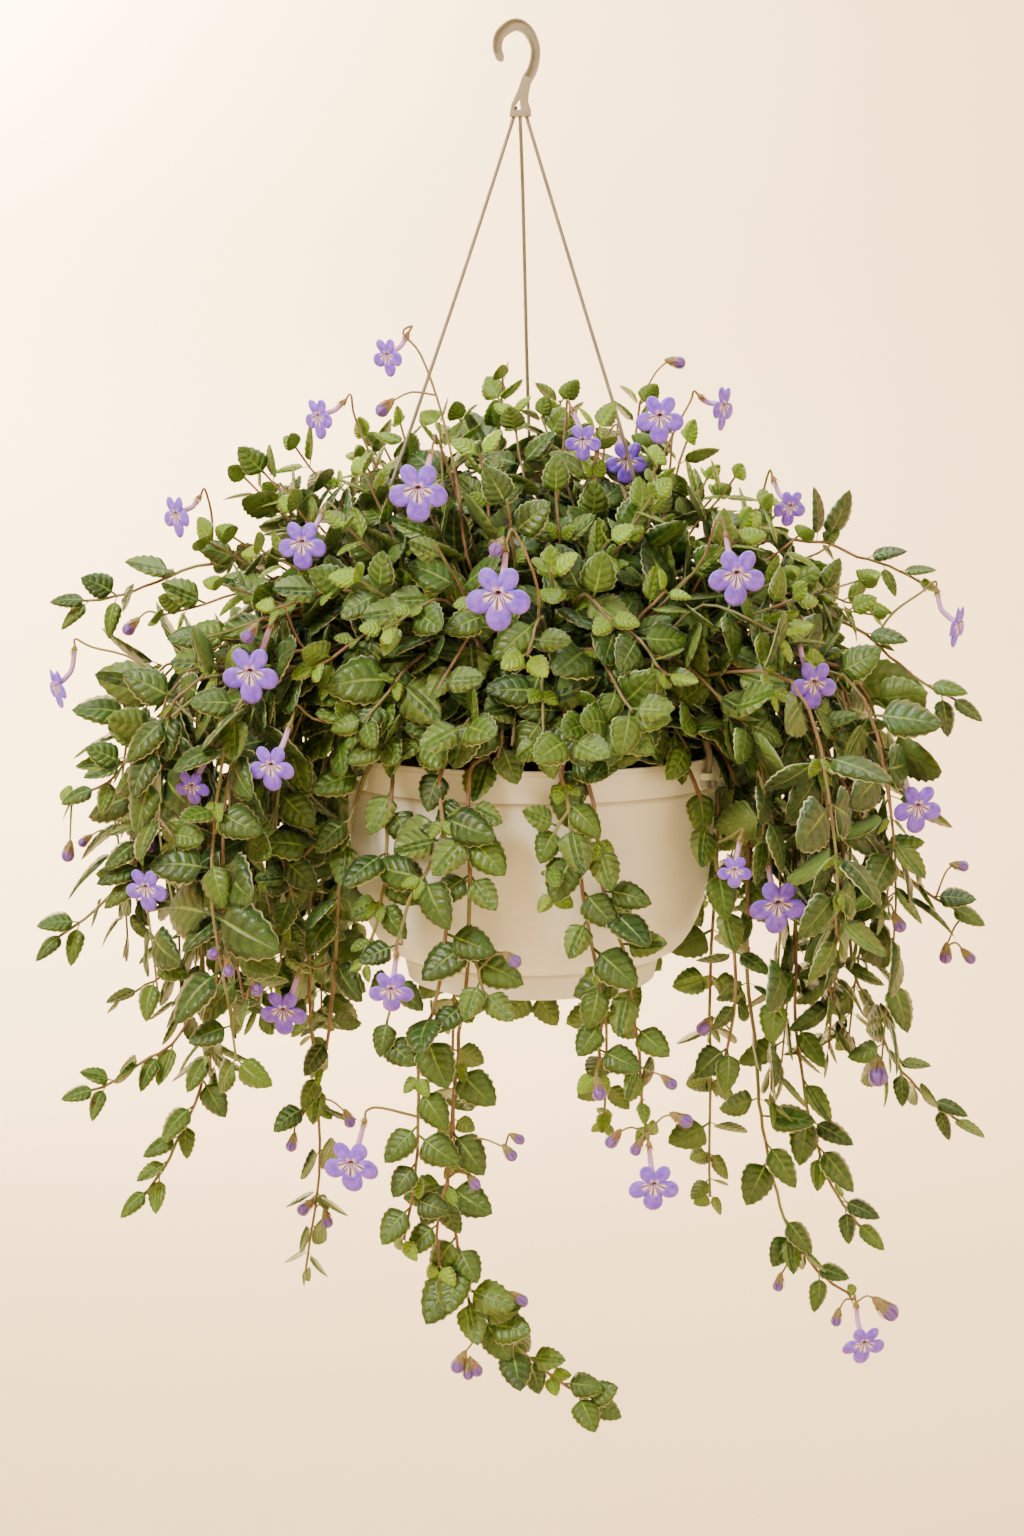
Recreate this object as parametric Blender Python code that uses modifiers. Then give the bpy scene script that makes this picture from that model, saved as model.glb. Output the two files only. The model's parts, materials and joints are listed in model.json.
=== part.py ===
"""Cape primrose (Streptocarpus saxorum) trailing from a 250 mm hanging basket on a three-strand hanger.

Metres, +Z up. The origin is the inside top of the hook's crook, where the basket hangs. -Y is the front.
"""

import math
import random
from dataclasses import dataclass

import bmesh
import bpy
import numpy as np
from mathutils import Matrix, Vector
from mathutils.bvhtree import BVHTree

MM = 0.001

# Basket: a turned bowl of 250 mm with a flat rim band and a foot ring
BASKET_AXIS = Vector((0.011, 0.0, 0.0))
RIM_TOP = -0.459
RIM_RADIUS = 0.125
RIM_BAND_HEIGHT = 0.020
BASKET_HEIGHT = 0.1515
WALL = 0.0020
SOIL_BELOW_RIM = 0.015
EAR_AZIMUTHS = {"left": 210.0, "back": 90.0, "right": -30.0}
EAR_REACH = 0.0065
EAR_WIDTH = 0.0085
EAR_THICKNESS = 0.0045
EAR_BELOW_RIM = 0.0105
BASKET_SIDES = 26
FOOT_RADIUS = 0.0810
FLOOR = -0.1405
DRAIN_HOLES = 4
DRAIN_RADIUS = 0.0040
DRAIN_CIRCLE = 0.055

# Hanger: a moulded strap hook and three strands
STRAND_DIAMETER = 0.0024
STRAND_CIRCLE = RIM_RADIUS + 0.0036
SOCKET_DIAMETER = 0.0030
SOCKET_DEPTH = 0.0028
COLLAR_FOOT = -0.0533
HOOK_DEPTH = 0.0066
HOOK_FLANGE = 0.0013
HOOK_WEB = 0.0026
FIT = 0.0003

# Plant
STEM_RADIUS = 0.0017
STALK_RADIUS = 0.0009
BUD_RADIUS = 0.0030
BUD_HALF_LENGTH = 0.0051
HARDLY_BENT = 0.0016
HOLE_RADIUS = 0.0023
HOLE_DEPTH = 0.012
ROOT_CIRCLE = 0.100
LEAF_LENGTH = 0.036
LEAF_CLEAR = 0.0007

# The photograph's view, for placing what grows freely: pixel and depth behind the hook's plane
EYE = Vector((-0.0019, -1.5, -0.288))
EYE_TILT = math.radians(7.0)
TANGENT_PER_PIXEL = 0.000437
PICTURE_CENTRE = (512.0, 768.0)

UP = Vector((0.0, 0.0, 1.0))


def place(px, py, depth):
    """The point seen at pixel (px, py), depth millimetres behind the hook's plane."""
    u = (px - PICTURE_CENTRE[0]) * TANGENT_PER_PIXEL
    v = (PICTURE_CENTRE[1] - py) * TANGENT_PER_PIXEL
    forward = math.cos(EYE_TILT) + v * math.sin(EYE_TILT)
    rise = v * math.cos(EYE_TILT) - math.sin(EYE_TILT)
    reach = (depth * MM - EYE.y) / forward
    return EYE + Vector((u, forward, rise)) * reach


def polar(azimuth, radius, height):
    """A point round the basket's axis, azimuth in degrees from +X, height from the origin."""
    turn = math.radians(azimuth)
    return BASKET_AXIS + Vector((radius * math.cos(turn), radius * math.sin(turn), height))


def outward(point):
    """The level direction from the basket's axis to a point."""
    away = Vector((point.x - BASKET_AXIS.x, point.y, 0.0))
    return away.normalized() if away.length > MM else Vector((0.0, -1.0, 0.0))


def smooth(points, steps):
    """A Catmull-Rom curve through the points, with steps pieces between each two."""
    ends = [points[0] * 2 - points[1]] + list(points) + [points[-1] * 2 - points[-2]]
    curve = []
    for a, b, c, d in zip(ends, ends[1:], ends[2:], ends[3:]):
        for step in range(steps):
            t = step / steps
            even = b * 2 + (c - a) * t + (a * 2 - b * 5 + c * 4 - d) * t**2
            curve.append((even + (b * 3 - a - c * 3 + d) * t**3) / 2)
    return curve + [points[-1].copy()]


# Blender helpers


def clear_scene():
    for obj in list(bpy.data.objects):
        bpy.data.objects.remove(obj, do_unlink=True)


def new_collection(name):
    made = bpy.data.collections.new(name)
    bpy.context.scene.collection.children.link(made)
    return made


def material(name, colour, roughness, metallic=0.0):
    """A Principled material of one colour."""
    made = bpy.data.materials.new(name)
    made.use_nodes = True
    shader = made.node_tree.nodes["Principled BSDF"]
    shader.inputs["Base Color"].default_value = (*colour, 1.0)
    shader.inputs["Roughness"].default_value = roughness
    shader.inputs["Metallic"].default_value = metallic
    made.diffuse_color = (*colour, 1.0)
    return made


def add_object(name, data, collection, finish=None):
    obj = bpy.data.objects.new(name, data)
    collection.objects.link(obj)
    if finish:
        obj.data.materials.clear()
        obj.data.materials.append(finish)
    return obj


def add_mesh(name, points, faces, collection, finish=None):
    mesh = bpy.data.meshes.new(name)
    mesh.from_pydata([tuple(point) for point in points], [], faces)
    return add_object(name, mesh, collection, finish)


def baked(obj):
    """Replaces an object by the plain mesh of it as evaluated, with its doubles merged."""
    graph = bpy.context.evaluated_depsgraph_get()
    graph.update()
    mesh = bpy.data.meshes.new_from_object(obj.evaluated_get(graph), depsgraph=graph)
    shape = bmesh.new()
    shape.from_mesh(mesh)
    bmesh.ops.remove_doubles(shape, verts=shape.verts, dist=1e-7)
    bmesh.ops.recalc_face_normals(shape, faces=shape.faces)
    shape.to_mesh(mesh)
    shape.free()
    name = obj.name
    collection = obj.users_collection[0]
    place_of = obj.matrix_world.copy()
    finish = obj.data.materials[0] if obj.data.materials else None
    bpy.data.objects.remove(obj, do_unlink=True)
    made = add_object(name, mesh, collection, finish)
    made.matrix_world = place_of
    return made


def turned(name, profile, steps, collection, finish):
    """A profile of (radius, height) turned round the basket's axis."""
    points = [(radius, 0.0, height) for radius, height in profile]
    edges = [(i, i + 1) for i in range(len(points) - 1) if profile[i][0] or profile[i + 1][0]]
    mesh = bpy.data.meshes.new(name)
    mesh.from_pydata(points, edges, [])
    obj = add_object(name, mesh, collection, finish)
    obj.location = BASKET_AXIS
    screw = obj.modifiers.new("turn", "SCREW")
    screw.steps = steps
    screw.render_steps = steps
    screw.use_merge_vertices = True
    screw.merge_threshold = 0.00001
    return obj


def tube_curve(name, points, radius, collection, sides=3, taper=1.0, finish=None, flare=1.0):
    """A tube along the points. With three sides its section is a triangle, for what is thin and many."""
    curve = bpy.data.curves.new(name, "CURVE")
    curve.dimensions = "3D"
    curve.use_fill_caps = True
    spline = curve.splines.new("POLY")
    spline.points.add(len(points) - 1)
    for index, (spot, point) in enumerate(zip(spline.points, points)):
        spot.co = (*point, 1.0)
        spot.radius = 1.0 + (taper - 1.0) * index / (len(points) - 1) if index else flare
    if sides == 3:
        curve.bevel_mode = "OBJECT"
        curve.bevel_object = triangle_section(radius)
    else:
        curve.bevel_depth = radius
        curve.bevel_resolution = (sides - 4) // 2
    return add_object(name, curve, collection, finish)


def triangle_section(radius):
    """A guide: the three-sided section of a thin stem."""
    name = f"section_{radius * 1e6:.0f}"
    if name in bpy.data.objects:
        return bpy.data.objects[name]
    curve = bpy.data.curves.new(name, "CURVE")
    curve.dimensions = "2D"
    spline = curve.splines.new("POLY")
    spline.points.add(2)
    spline.use_cyclic_u = True
    for index, spot in enumerate(spline.points):
        turn = math.radians(90 + 120 * index)
        spot.co = (radius * math.cos(turn), radius * math.sin(turn), 0.0, 1.0)
    guide = add_object(name, curve, CUTTERS)
    hide_helper(guide)
    return guide


def hide_helper(obj):
    obj.hide_render = True
    obj.display_type = "WIRE"


def boolean(obj, other, operation, solver="EXACT"):
    """Cuts or joins one object or a collection, applied at once; the other is then removed."""
    step = obj.modifiers.new("join" if operation == "UNION" else "cut", "BOOLEAN")
    step.operation = operation
    step.solver = solver
    if isinstance(other, bpy.types.Collection):
        step.operand_type = "COLLECTION"
        step.collection = other
        used = list(other.objects)
    else:
        step.object = other
        used = [other]
    made = baked(obj)
    for helper in used:
        bpy.data.objects.remove(helper, do_unlink=True)
    if isinstance(other, bpy.types.Collection):
        bpy.data.collections.remove(other)
    return made


def shade(obj, degrees=40.0):
    obj.data.shade_smooth()
    obj.data.set_sharp_from_angle(angle=math.radians(degrees))


def cylinder(name, radius, bottom, top, sides=8):
    """An upright cutter between two points of one vertical."""
    mesh = bpy.data.meshes.new(name)
    shape = bmesh.new()
    height = top.z - bottom.z
    bmesh.ops.create_cone(
        shape, cap_ends=True, segments=sides, radius1=radius, radius2=radius, depth=height
    )
    shape.to_mesh(mesh)
    shape.free()
    obj = add_object(name, mesh, CUTTERS)
    obj.location = (bottom + top) / 2
    return obj


# Holder


def build_basket(finish):
    """The bowl: rim band, tapering body, recessed floor within a foot ring, three ears, drain holes."""
    outer = [
        (RIM_RADIUS, 0.0),
        (RIM_RADIUS - 0.0015, -RIM_BAND_HEIGHT),
        (RIM_RADIUS - 0.0038, -RIM_BAND_HEIGHT - 0.0004),
        (0.1195, -0.066),
        (0.1140, -0.100),
        (0.1065, -0.118),
        (0.0965, -0.131),
        (0.0860, -0.1345),
        (FOOT_RADIUS, -BASKET_HEIGHT),
        (FOOT_RADIUS - 0.0025, -BASKET_HEIGHT),
        (FOOT_RADIUS - 0.0040, FLOOR - 0.0015),
        (0.0, FLOOR),
    ]
    inner = [
        (0.0, FLOOR + WALL),
        (0.0940, -0.1285),
        (0.1105, -0.1020),
        (0.1175, -0.0650),
        (RIM_RADIUS - WALL - 0.0040, -RIM_BAND_HEIGHT - 0.002),
        (RIM_RADIUS - WALL - 0.0016, -RIM_BAND_HEIGHT + 0.001),
        (RIM_RADIUS - WALL, 0.0),
    ]
    profile = [(radius, RIM_TOP + height) for radius, height in outer + inner + outer[:1]]
    basket = turned("basket", profile, BASKET_SIDES, OBJECT, finish)
    basket = baked(basket)
    ears = new_collection("ears")
    for side, azimuth in EAR_AZIMUTHS.items():
        middle = polar(azimuth, RIM_RADIUS - 0.0015 + EAR_REACH / 2, RIM_TOP - EAR_BELOW_RIM)
        size = (EAR_REACH + 0.0015, EAR_WIDTH, EAR_THICKNESS)
        ear = box(f"ear_{side}", size, middle, azimuth, ears)
        bevel = ear.modifiers.new("round", "BEVEL")
        bevel.width = 0.0010
        bevel.segments = 1
    basket = boolean(basket, ears, "UNION")
    for azimuth in EAR_AZIMUTHS.values():
        low = polar(azimuth, STRAND_CIRCLE, RIM_TOP - EAR_BELOW_RIM - EAR_THICKNESS)
        high = polar(azimuth, STRAND_CIRCLE, RIM_TOP - EAR_BELOW_RIM + EAR_THICKNESS)
        hole = cylinder("ear_hole", STRAND_DIAMETER / 2 + 0.0004, low, high)
        basket = boolean(basket, hole, "DIFFERENCE")
    for index in range(DRAIN_HOLES):
        azimuth = 45 + 360 * index / DRAIN_HOLES
        low = polar(azimuth, DRAIN_CIRCLE, RIM_TOP - 0.146)
        high = polar(azimuth, DRAIN_CIRCLE, RIM_TOP - 0.136)
        basket = boolean(basket, cylinder("drain", DRAIN_RADIUS, low, high), "DIFFERENCE")
    shade(basket, 25.0)
    return basket


def box(name, size, middle, azimuth, collection):
    """A block of the given size, turned about the vertical."""
    mesh = bpy.data.meshes.new(name)
    shape = bmesh.new()
    bmesh.ops.create_cube(shape, size=1.0)
    bmesh.ops.scale(shape, vec=size, verts=shape.verts)
    shape.to_mesh(mesh)
    shape.free()
    obj = add_object(name, mesh, collection)
    obj.matrix_world = Matrix.Translation(middle) @ Matrix.Rotation(math.radians(azimuth), 4, "Z")
    return obj


def build_soil(roots, finish):
    """The soil, filled to just under the rim, with a plain hole for each stem that stands in it."""
    wall = [
        (0.0, -SOIL_BELOW_RIM),
        (RIM_RADIUS - WALL - 0.0024, -SOIL_BELOW_RIM),
        (RIM_RADIUS - WALL - 0.0046, -RIM_BAND_HEIGHT - 0.003),
        (0.1169, -0.0650),
        (0.1098, -0.1018),
        (0.0935, -0.1278),
        (0.0, FLOOR + WALL + 0.0005),
    ]
    soil = turned("soil", [(r, RIM_TOP + z) for r, z in wall], BASKET_SIDES, OBJECT, finish)
    soil = baked(soil)
    for root in roots:
        low = Vector((root.x, root.y, RIM_TOP - SOIL_BELOW_RIM - HOLE_DEPTH))
        high = Vector((root.x, root.y, RIM_TOP - SOIL_BELOW_RIM + 0.010))
        soil = boolean(soil, cylinder("root_hole", HOLE_RADIUS, low, high, 5), "DIFFERENCE")
    shade(soil)
    return soil


# The crook's middle line and width, tip first: (x, z, width) in millimetres
CROOK = (
    (-9.4, -17.0, 5.2),
    (-11.3, -9.9, 6.2),
    (-8.9, -1.8, 6.6),
    (0.0, 3.7, 7.2),
    (8.2, -0.2, 6.6),
    (12.9, -10.9, 6.2),
    (11.6, -22.5, 6.4),
    (7.3, -31.0, 6.6),
)
# The foot below the crook: its outer edge, the collar and its inner edge, in millimetres
FOOT = ((8.9, -38.5), (8.5, -44.3), (10.3, -49.5), (10.3, -53.3), (-3.7, -53.3), (-2.4, -46.0), (1.6, -37.5))
EYE_WINDOW = ((3.0, -42.0), (3.6, -49.3), (-0.6, -49.3), (0.2, -46.4))


def crook_edges(inset):
    """The two long edges of the crook's strap, each drawn in by inset millimetres."""
    middle = smooth([Vector((x, z, width)) for x, z, width in CROOK], 2)
    outer, inner = [], []
    for index, point in enumerate(middle):
        before = middle[max(index - 1, 0)]
        after = middle[min(index + 1, len(middle) - 1)]
        along = (after - before).to_2d().normalized()
        across = Vector((-along.y, along.x)) * (point.z / 2 - inset)
        outer.append(point.to_2d() + across)
        inner.append(point.to_2d() - across)
    return outer, inner


def outline_object(name, loops, thickness, collection, finish=None):
    """Closed outlines in the hook's plane, filled and given a thickness along Y."""
    curve = bpy.data.curves.new(name, "CURVE")
    curve.dimensions = "2D"
    curve.fill_mode = "BOTH"
    curve.extrude = thickness / 2
    for loop in loops:
        spline = curve.splines.new("POLY")
        spline.points.add(len(loop) - 1)
        spline.use_cyclic_u = True
        for spot, (x, z) in zip(spline.points, loop):
            spot.co = (x * MM, z * MM, 0.0, 1.0)
    obj = add_object(name, curve, collection, finish)
    obj.rotation_euler = (math.radians(90), 0.0, 0.0)
    bpy.context.view_layer.update()
    return obj


def build_hook(finish):
    """The moulded strap hook: a crook with a web sunk between two flanges, a foot with an eye, a collar."""
    outer, inner = crook_edges(0.0)
    tip = Vector((CROOK[0][0] + 0.4, CROOK[0][1] - 2.2))
    outline = [tip] + outer + [Vector(p) for p in FOOT] + inner[::-1]
    hook = baked(outline_object("hanger_hook", [outline, EYE_WINDOW], HOOK_DEPTH, OBJECT, finish))
    outer, inner = crook_edges(HOOK_FLANGE * 1000)
    recess = outer[1:-1] + inner[-2:0:-1]
    for side in (-1, 1):
        cutter = baked(outline_object("web_cut", [recess], HOOK_DEPTH, CUTTERS))
        cutter.location.y = side * (HOOK_DEPTH / 2 + HOOK_WEB / 2)
        hook = boolean(hook, cutter, "DIFFERENCE")
    for x in SOCKETS.values():
        low = Vector((x, 0.0, COLLAR_FOOT - 0.002))
        high = Vector((x, 0.0, COLLAR_FOOT + SOCKET_DEPTH))
        hook = boolean(hook, cylinder("socket", SOCKET_DIAMETER / 2, low, high), "DIFFERENCE")
    shade(hook, 30.0)
    return hook


SOCKETS = {"left": -0.0014, "back": 0.0033, "right": 0.0080}
# Where each strand runs between the collar and its ear: pixels, and depth in millimetres
STRAND_ROUTES = {
    "left": ((466, 265, -15), (417, 410, -29), (368, 555, -44), (350, 640, -52), (348, 700, -57)),
    "back": ((523, 200, 18), (528, 400, 64), (534, 560, 96), (538, 690, 122)),
    "right": ((582, 300, -19), (626, 447, -34), (652, 555, -44), (675, 636, -52), (692, 700, -58)),
}


def strand_route(side):
    """From the socket in the collar, down to the ear, through its hole and into a small curl below it."""
    socket = Vector((SOCKETS[side], 0.0, COLLAR_FOOT))
    azimuth = EAR_AZIMUTHS[side]
    ear = polar(azimuth, STRAND_CIRCLE, RIM_TOP - EAR_BELOW_RIM)
    away = outward(ear)
    free = [socket + UP * (SOCKET_DEPTH - FIT), socket - UP * 0.002]
    free += [place(*spot) for spot in STRAND_ROUTES[side]]
    free += [ear + UP * 0.016, ear + UP * 0.004, ear - UP * 0.005]
    route = free
    curl = route[-1] + away * 0.0026
    for turn in range(60, 241, 60):
        angle = math.radians(180 + turn)
        route.append(curl + (away * math.cos(angle) + UP * math.sin(angle)) * 0.0026)
    return route


def build_strands(finish, space):
    for side in EAR_AZIMUTHS:
        route = strand_route(side)
        strand = tube_curve(f"hanger_strand_{side}", route, STRAND_DIAMETER / 2, OBJECT, 6, 1.0, finish)
        strand = baked(strand)
        shade(strand)
        space.take_object(strand.name, strand)


# Shapes of the plant


class Space:
    """What already stands where, so that leaves and stems of different pieces stay clear of each other."""

    def __init__(self):
        self.taken = []

    def take(self, owner, points, faces):
        low = [min(point[axis] for point in points) for axis in range(3)]
        high = [max(point[axis] for point in points) for axis in range(3)]
        self.taken.append((owner, BVHTree.FromPolygons(points, faces), low, high))

    def take_object(self, owner, obj):
        points = [obj.matrix_world @ vertex.co for vertex in obj.data.vertices]
        self.take(owner, points, [tuple(face.vertices) for face in obj.data.polygons])

    def free(self, points, faces, spare=()):
        """Whether a shape crosses nothing but what the spared owners have taken."""
        low = [min(point[axis] for point in points) for axis in range(3)]
        high = [max(point[axis] for point in points) for axis in range(3)]
        tree = None
        for owner, other, other_low, other_high in self.taken:
            if owner in spare:
                continue
            if any(low[k] > other_high[k] or high[k] < other_low[k] for k in range(3)):
                continue
            tree = tree or BVHTree.FromPolygons(points, faces)
            if tree.overlap(other):
                return False
        return True


# Half a leaf's edge from the stalk to the tip: share of the length, share of the half width
LEAF_EDGE = ((0.0, 0.09), (0.17, 0.84), (0.46, 1.0), (0.78, 0.70))
LEAF_WIDTH = 0.72
LEAF_MIDDLE = 0.46
PETIOLE = 0.0075
BLADE_HALF = 0.0006
PETIOLE_HALF = 0.0008
TIP_BACK = 0.0014
STEM_TAPER = 0.75


def leaf_blade(length, grow=0.0):
    """A domed blade along +X, its stalk's root at the origin: edge points, top and bottom middle."""
    blade = length - PETIOLE
    half = length * LEAF_WIDTH / 2
    dome = half * 0.30
    middle = PETIOLE + LEAF_MIDDLE * blade
    right = [(PETIOLE + share * blade, -wide * half) for share, wide in LEAF_EDGE]
    left = [(x, -y) for x, y in reversed(right)]
    edge = []
    for x, y in right + [(length, 0.0)] + left:
        far = max(x - middle, 0.0) / (length - middle)
        wider = 1 + grow / half
        edge.append((middle + (x - middle) * wider, y * wider, -dome * far * 0.8))
    thick = BLADE_HALF + grow
    return edge, (middle, 0.0, dome + thick), (middle, 0.0, dome - thick)


def leaf_sleeve(length):
    """A slightly larger closed blade with a pointed stalk, for finding what a leaf would touch."""
    edge, top, bottom = leaf_blade(length, LEAF_CLEAR)
    points = edge + [top, bottom, (STEM_RADIUS * 1.8, 0.0, 0.0)]
    count = len(edge)
    faces = [(count + 2, 0, count), (count - 1, count + 2, count)]
    faces += [(0, count + 2, count + 1), (count + 2, count - 1, count + 1)]
    for index in range(count - 1):
        faces.append((index, index + 1, count))
        faces.append((index + 1, index, count + 1))
    return points, faces


def leaf_shape(length):
    """A leaf as a closed body: the blade, and a three-sided stalk that starts in the stem's axis."""
    edge, top, bottom = leaf_blade(length)
    count = len(edge)
    root = [(0.0, PETIOLE_HALF, -PETIOLE_HALF / 2), (0.0, 0.0, PETIOLE_HALF)]
    root += [(0.0, -PETIOLE_HALF, -PETIOLE_HALF / 2)]
    left, top_middle, right, bottom_middle = count - 1, count, 0, count + 1
    west, crest, east = range(count + 2, count + 5)
    faces = [(west, east, crest), (west, crest, top_middle), (west, top_middle, left)]
    faces += [(crest, east, top_middle), (east, right, top_middle)]
    faces += [(west, left, east), (east, left, right), (left, bottom_middle, right)]
    for index in range(count - 1):
        faces.append((index, index + 1, count))
        faces.append((index + 1, index, count + 1))
    return edge + [top, bottom] + root, faces


def frame_along(direction, facing, origin):
    """A matrix whose X runs along direction and whose Z is as near to facing as it can be."""
    x = direction.normalized()
    y = facing.cross(x).normalized()
    z = x.cross(y)
    turn = Matrix((x, y, z)).transposed().to_4x4()
    return Matrix.Translation(origin) @ turn


# Five lobes of the corolla, seen from the front: angle in degrees, reach and half width in shares of its radius
LOBES = ((-90, 1.0, 0.40), (-18, 0.96, 0.38), (55, 0.80, 0.29), (125, 0.80, 0.29), (198, 0.96, 0.38))
NOTCH = 0.26
TUBE_RADIUS = 0.0019


def bloom_shape(radius, tube, grow=0.0):
    """One corolla: five lobes round a throat, facing +X from the origin; tube lists its middle line back."""
    rim = []
    for index, (angle, reach, wide) in enumerate(LOBES):
        ahead = LOBES[(index + 1) % len(LOBES)][0]
        along = Vector((math.cos(math.radians(angle)), math.sin(math.radians(angle))))
        side = Vector((-along.y, along.x))
        for share, spread in ((0.62, -1.0), (0.96, -0.62), (0.96, 0.62), (0.62, 1.0)):
            rim.append(along * share * reach + side * spread * wide)
        half = math.radians((angle + (ahead - angle) % 360 / 2))
        rim.append(Vector((math.cos(half), math.sin(half))) * NOTCH)
    outer = [(0.0, point.x * (radius + grow), point.y * (radius + grow)) for point in rim]
    points = list(outer)
    lobes = len(LOBES)
    crest = 0.55 * radius
    for angle, reach, _ in LOBES:
        turn = math.radians(angle)
        height = 0.0008 + grow
        points.append((height, crest * reach * math.cos(turn), crest * reach * math.sin(turn)))
    for angle, _, _ in LOBES:
        turn = math.radians(angle)
        ring = TUBE_RADIUS * 1.3 + grow
        points.append((-0.0024, ring * math.cos(turn), ring * math.sin(turn)))
    front_crest, back_ring = (len(outer) + lobes * k for k in range(2))
    throat = len(points)
    points.append((-0.0012, 0.0, 0.0))
    faces = []
    for lobe in range(lobes):
        start = 5 * lobe
        notch = (start - 1) % len(outer)
        chain = [notch, start, start + 1, start + 2, start + 3, start + 4]
        after = (lobe + 1) % lobes
        for a, b in zip(chain, chain[1:]):
            faces.append((a, b, front_crest + lobe))
            faces.append((b, a, back_ring + lobe))
        faces.append((throat, notch, front_crest + lobe))
        faces.append((start + 4, throat, front_crest + lobe))
        faces.append((start + 4, back_ring + lobe, back_ring + after))
    ring = back_ring
    for index, spot in enumerate(tube):
        spot = Vector(spot)
        ahead = Vector(tube[index + 1]) - spot if index + 1 < len(tube) else spot - Vector(tube[index - 1])
        back = ahead.normalized()
        side = Vector((0.0, 0.0, 1.0)).cross(back)
        side = side.normalized() if side.length > 0.05 else Vector((0.0, 1.0, 0.0))
        rise = back.cross(side)
        made = len(points)
        wide = TUBE_RADIUS * (1.0 - 0.25 * (index + 1) / len(tube)) + grow
        for angle, _, _ in LOBES:
            turn = math.radians(angle)
            points.append(tuple(spot - side * wide * math.cos(turn) + rise * wide * math.sin(turn)))
        for lobe in range(lobes):
            after = (lobe + 1) % lobes
            faces.append((ring + after, ring + lobe, made + lobe))
            faces.append((made + lobe, made + after, ring + after))
        ring = made
    faces += [(ring, ring + 2, ring + 1), (ring, ring + 3, ring + 2), (ring, ring + 4, ring + 3)]
    return points, faces


def moved(points, matrix):
    return [matrix @ Vector(point) for point in points]


def solid_object(name, points, faces, collection, finish=None):
    """A closed shape as an object, its faces turned outwards."""
    obj = add_mesh(name, points, faces, collection, finish)
    shape = bmesh.new()
    shape.from_mesh(obj.data)
    bmesh.ops.recalc_face_normals(shape, faces=shape.faces)
    if shape.calc_volume(signed=True) < 0:
        bmesh.ops.reverse_faces(shape, faces=shape.faces)
    shape.to_mesh(obj.data)
    shape.free()
    return obj


def bud_object(name, matrix, collection):
    """A bud: a round body of 20 faces, stretched along +X."""
    mesh = bpy.data.meshes.new(name)
    shape = bmesh.new()
    bmesh.ops.create_icosphere(shape, subdivisions=1, radius=1.0)
    shape.transform(matrix)
    shape.to_mesh(mesh)
    shape.free()
    return add_object(name, mesh, collection)


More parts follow.
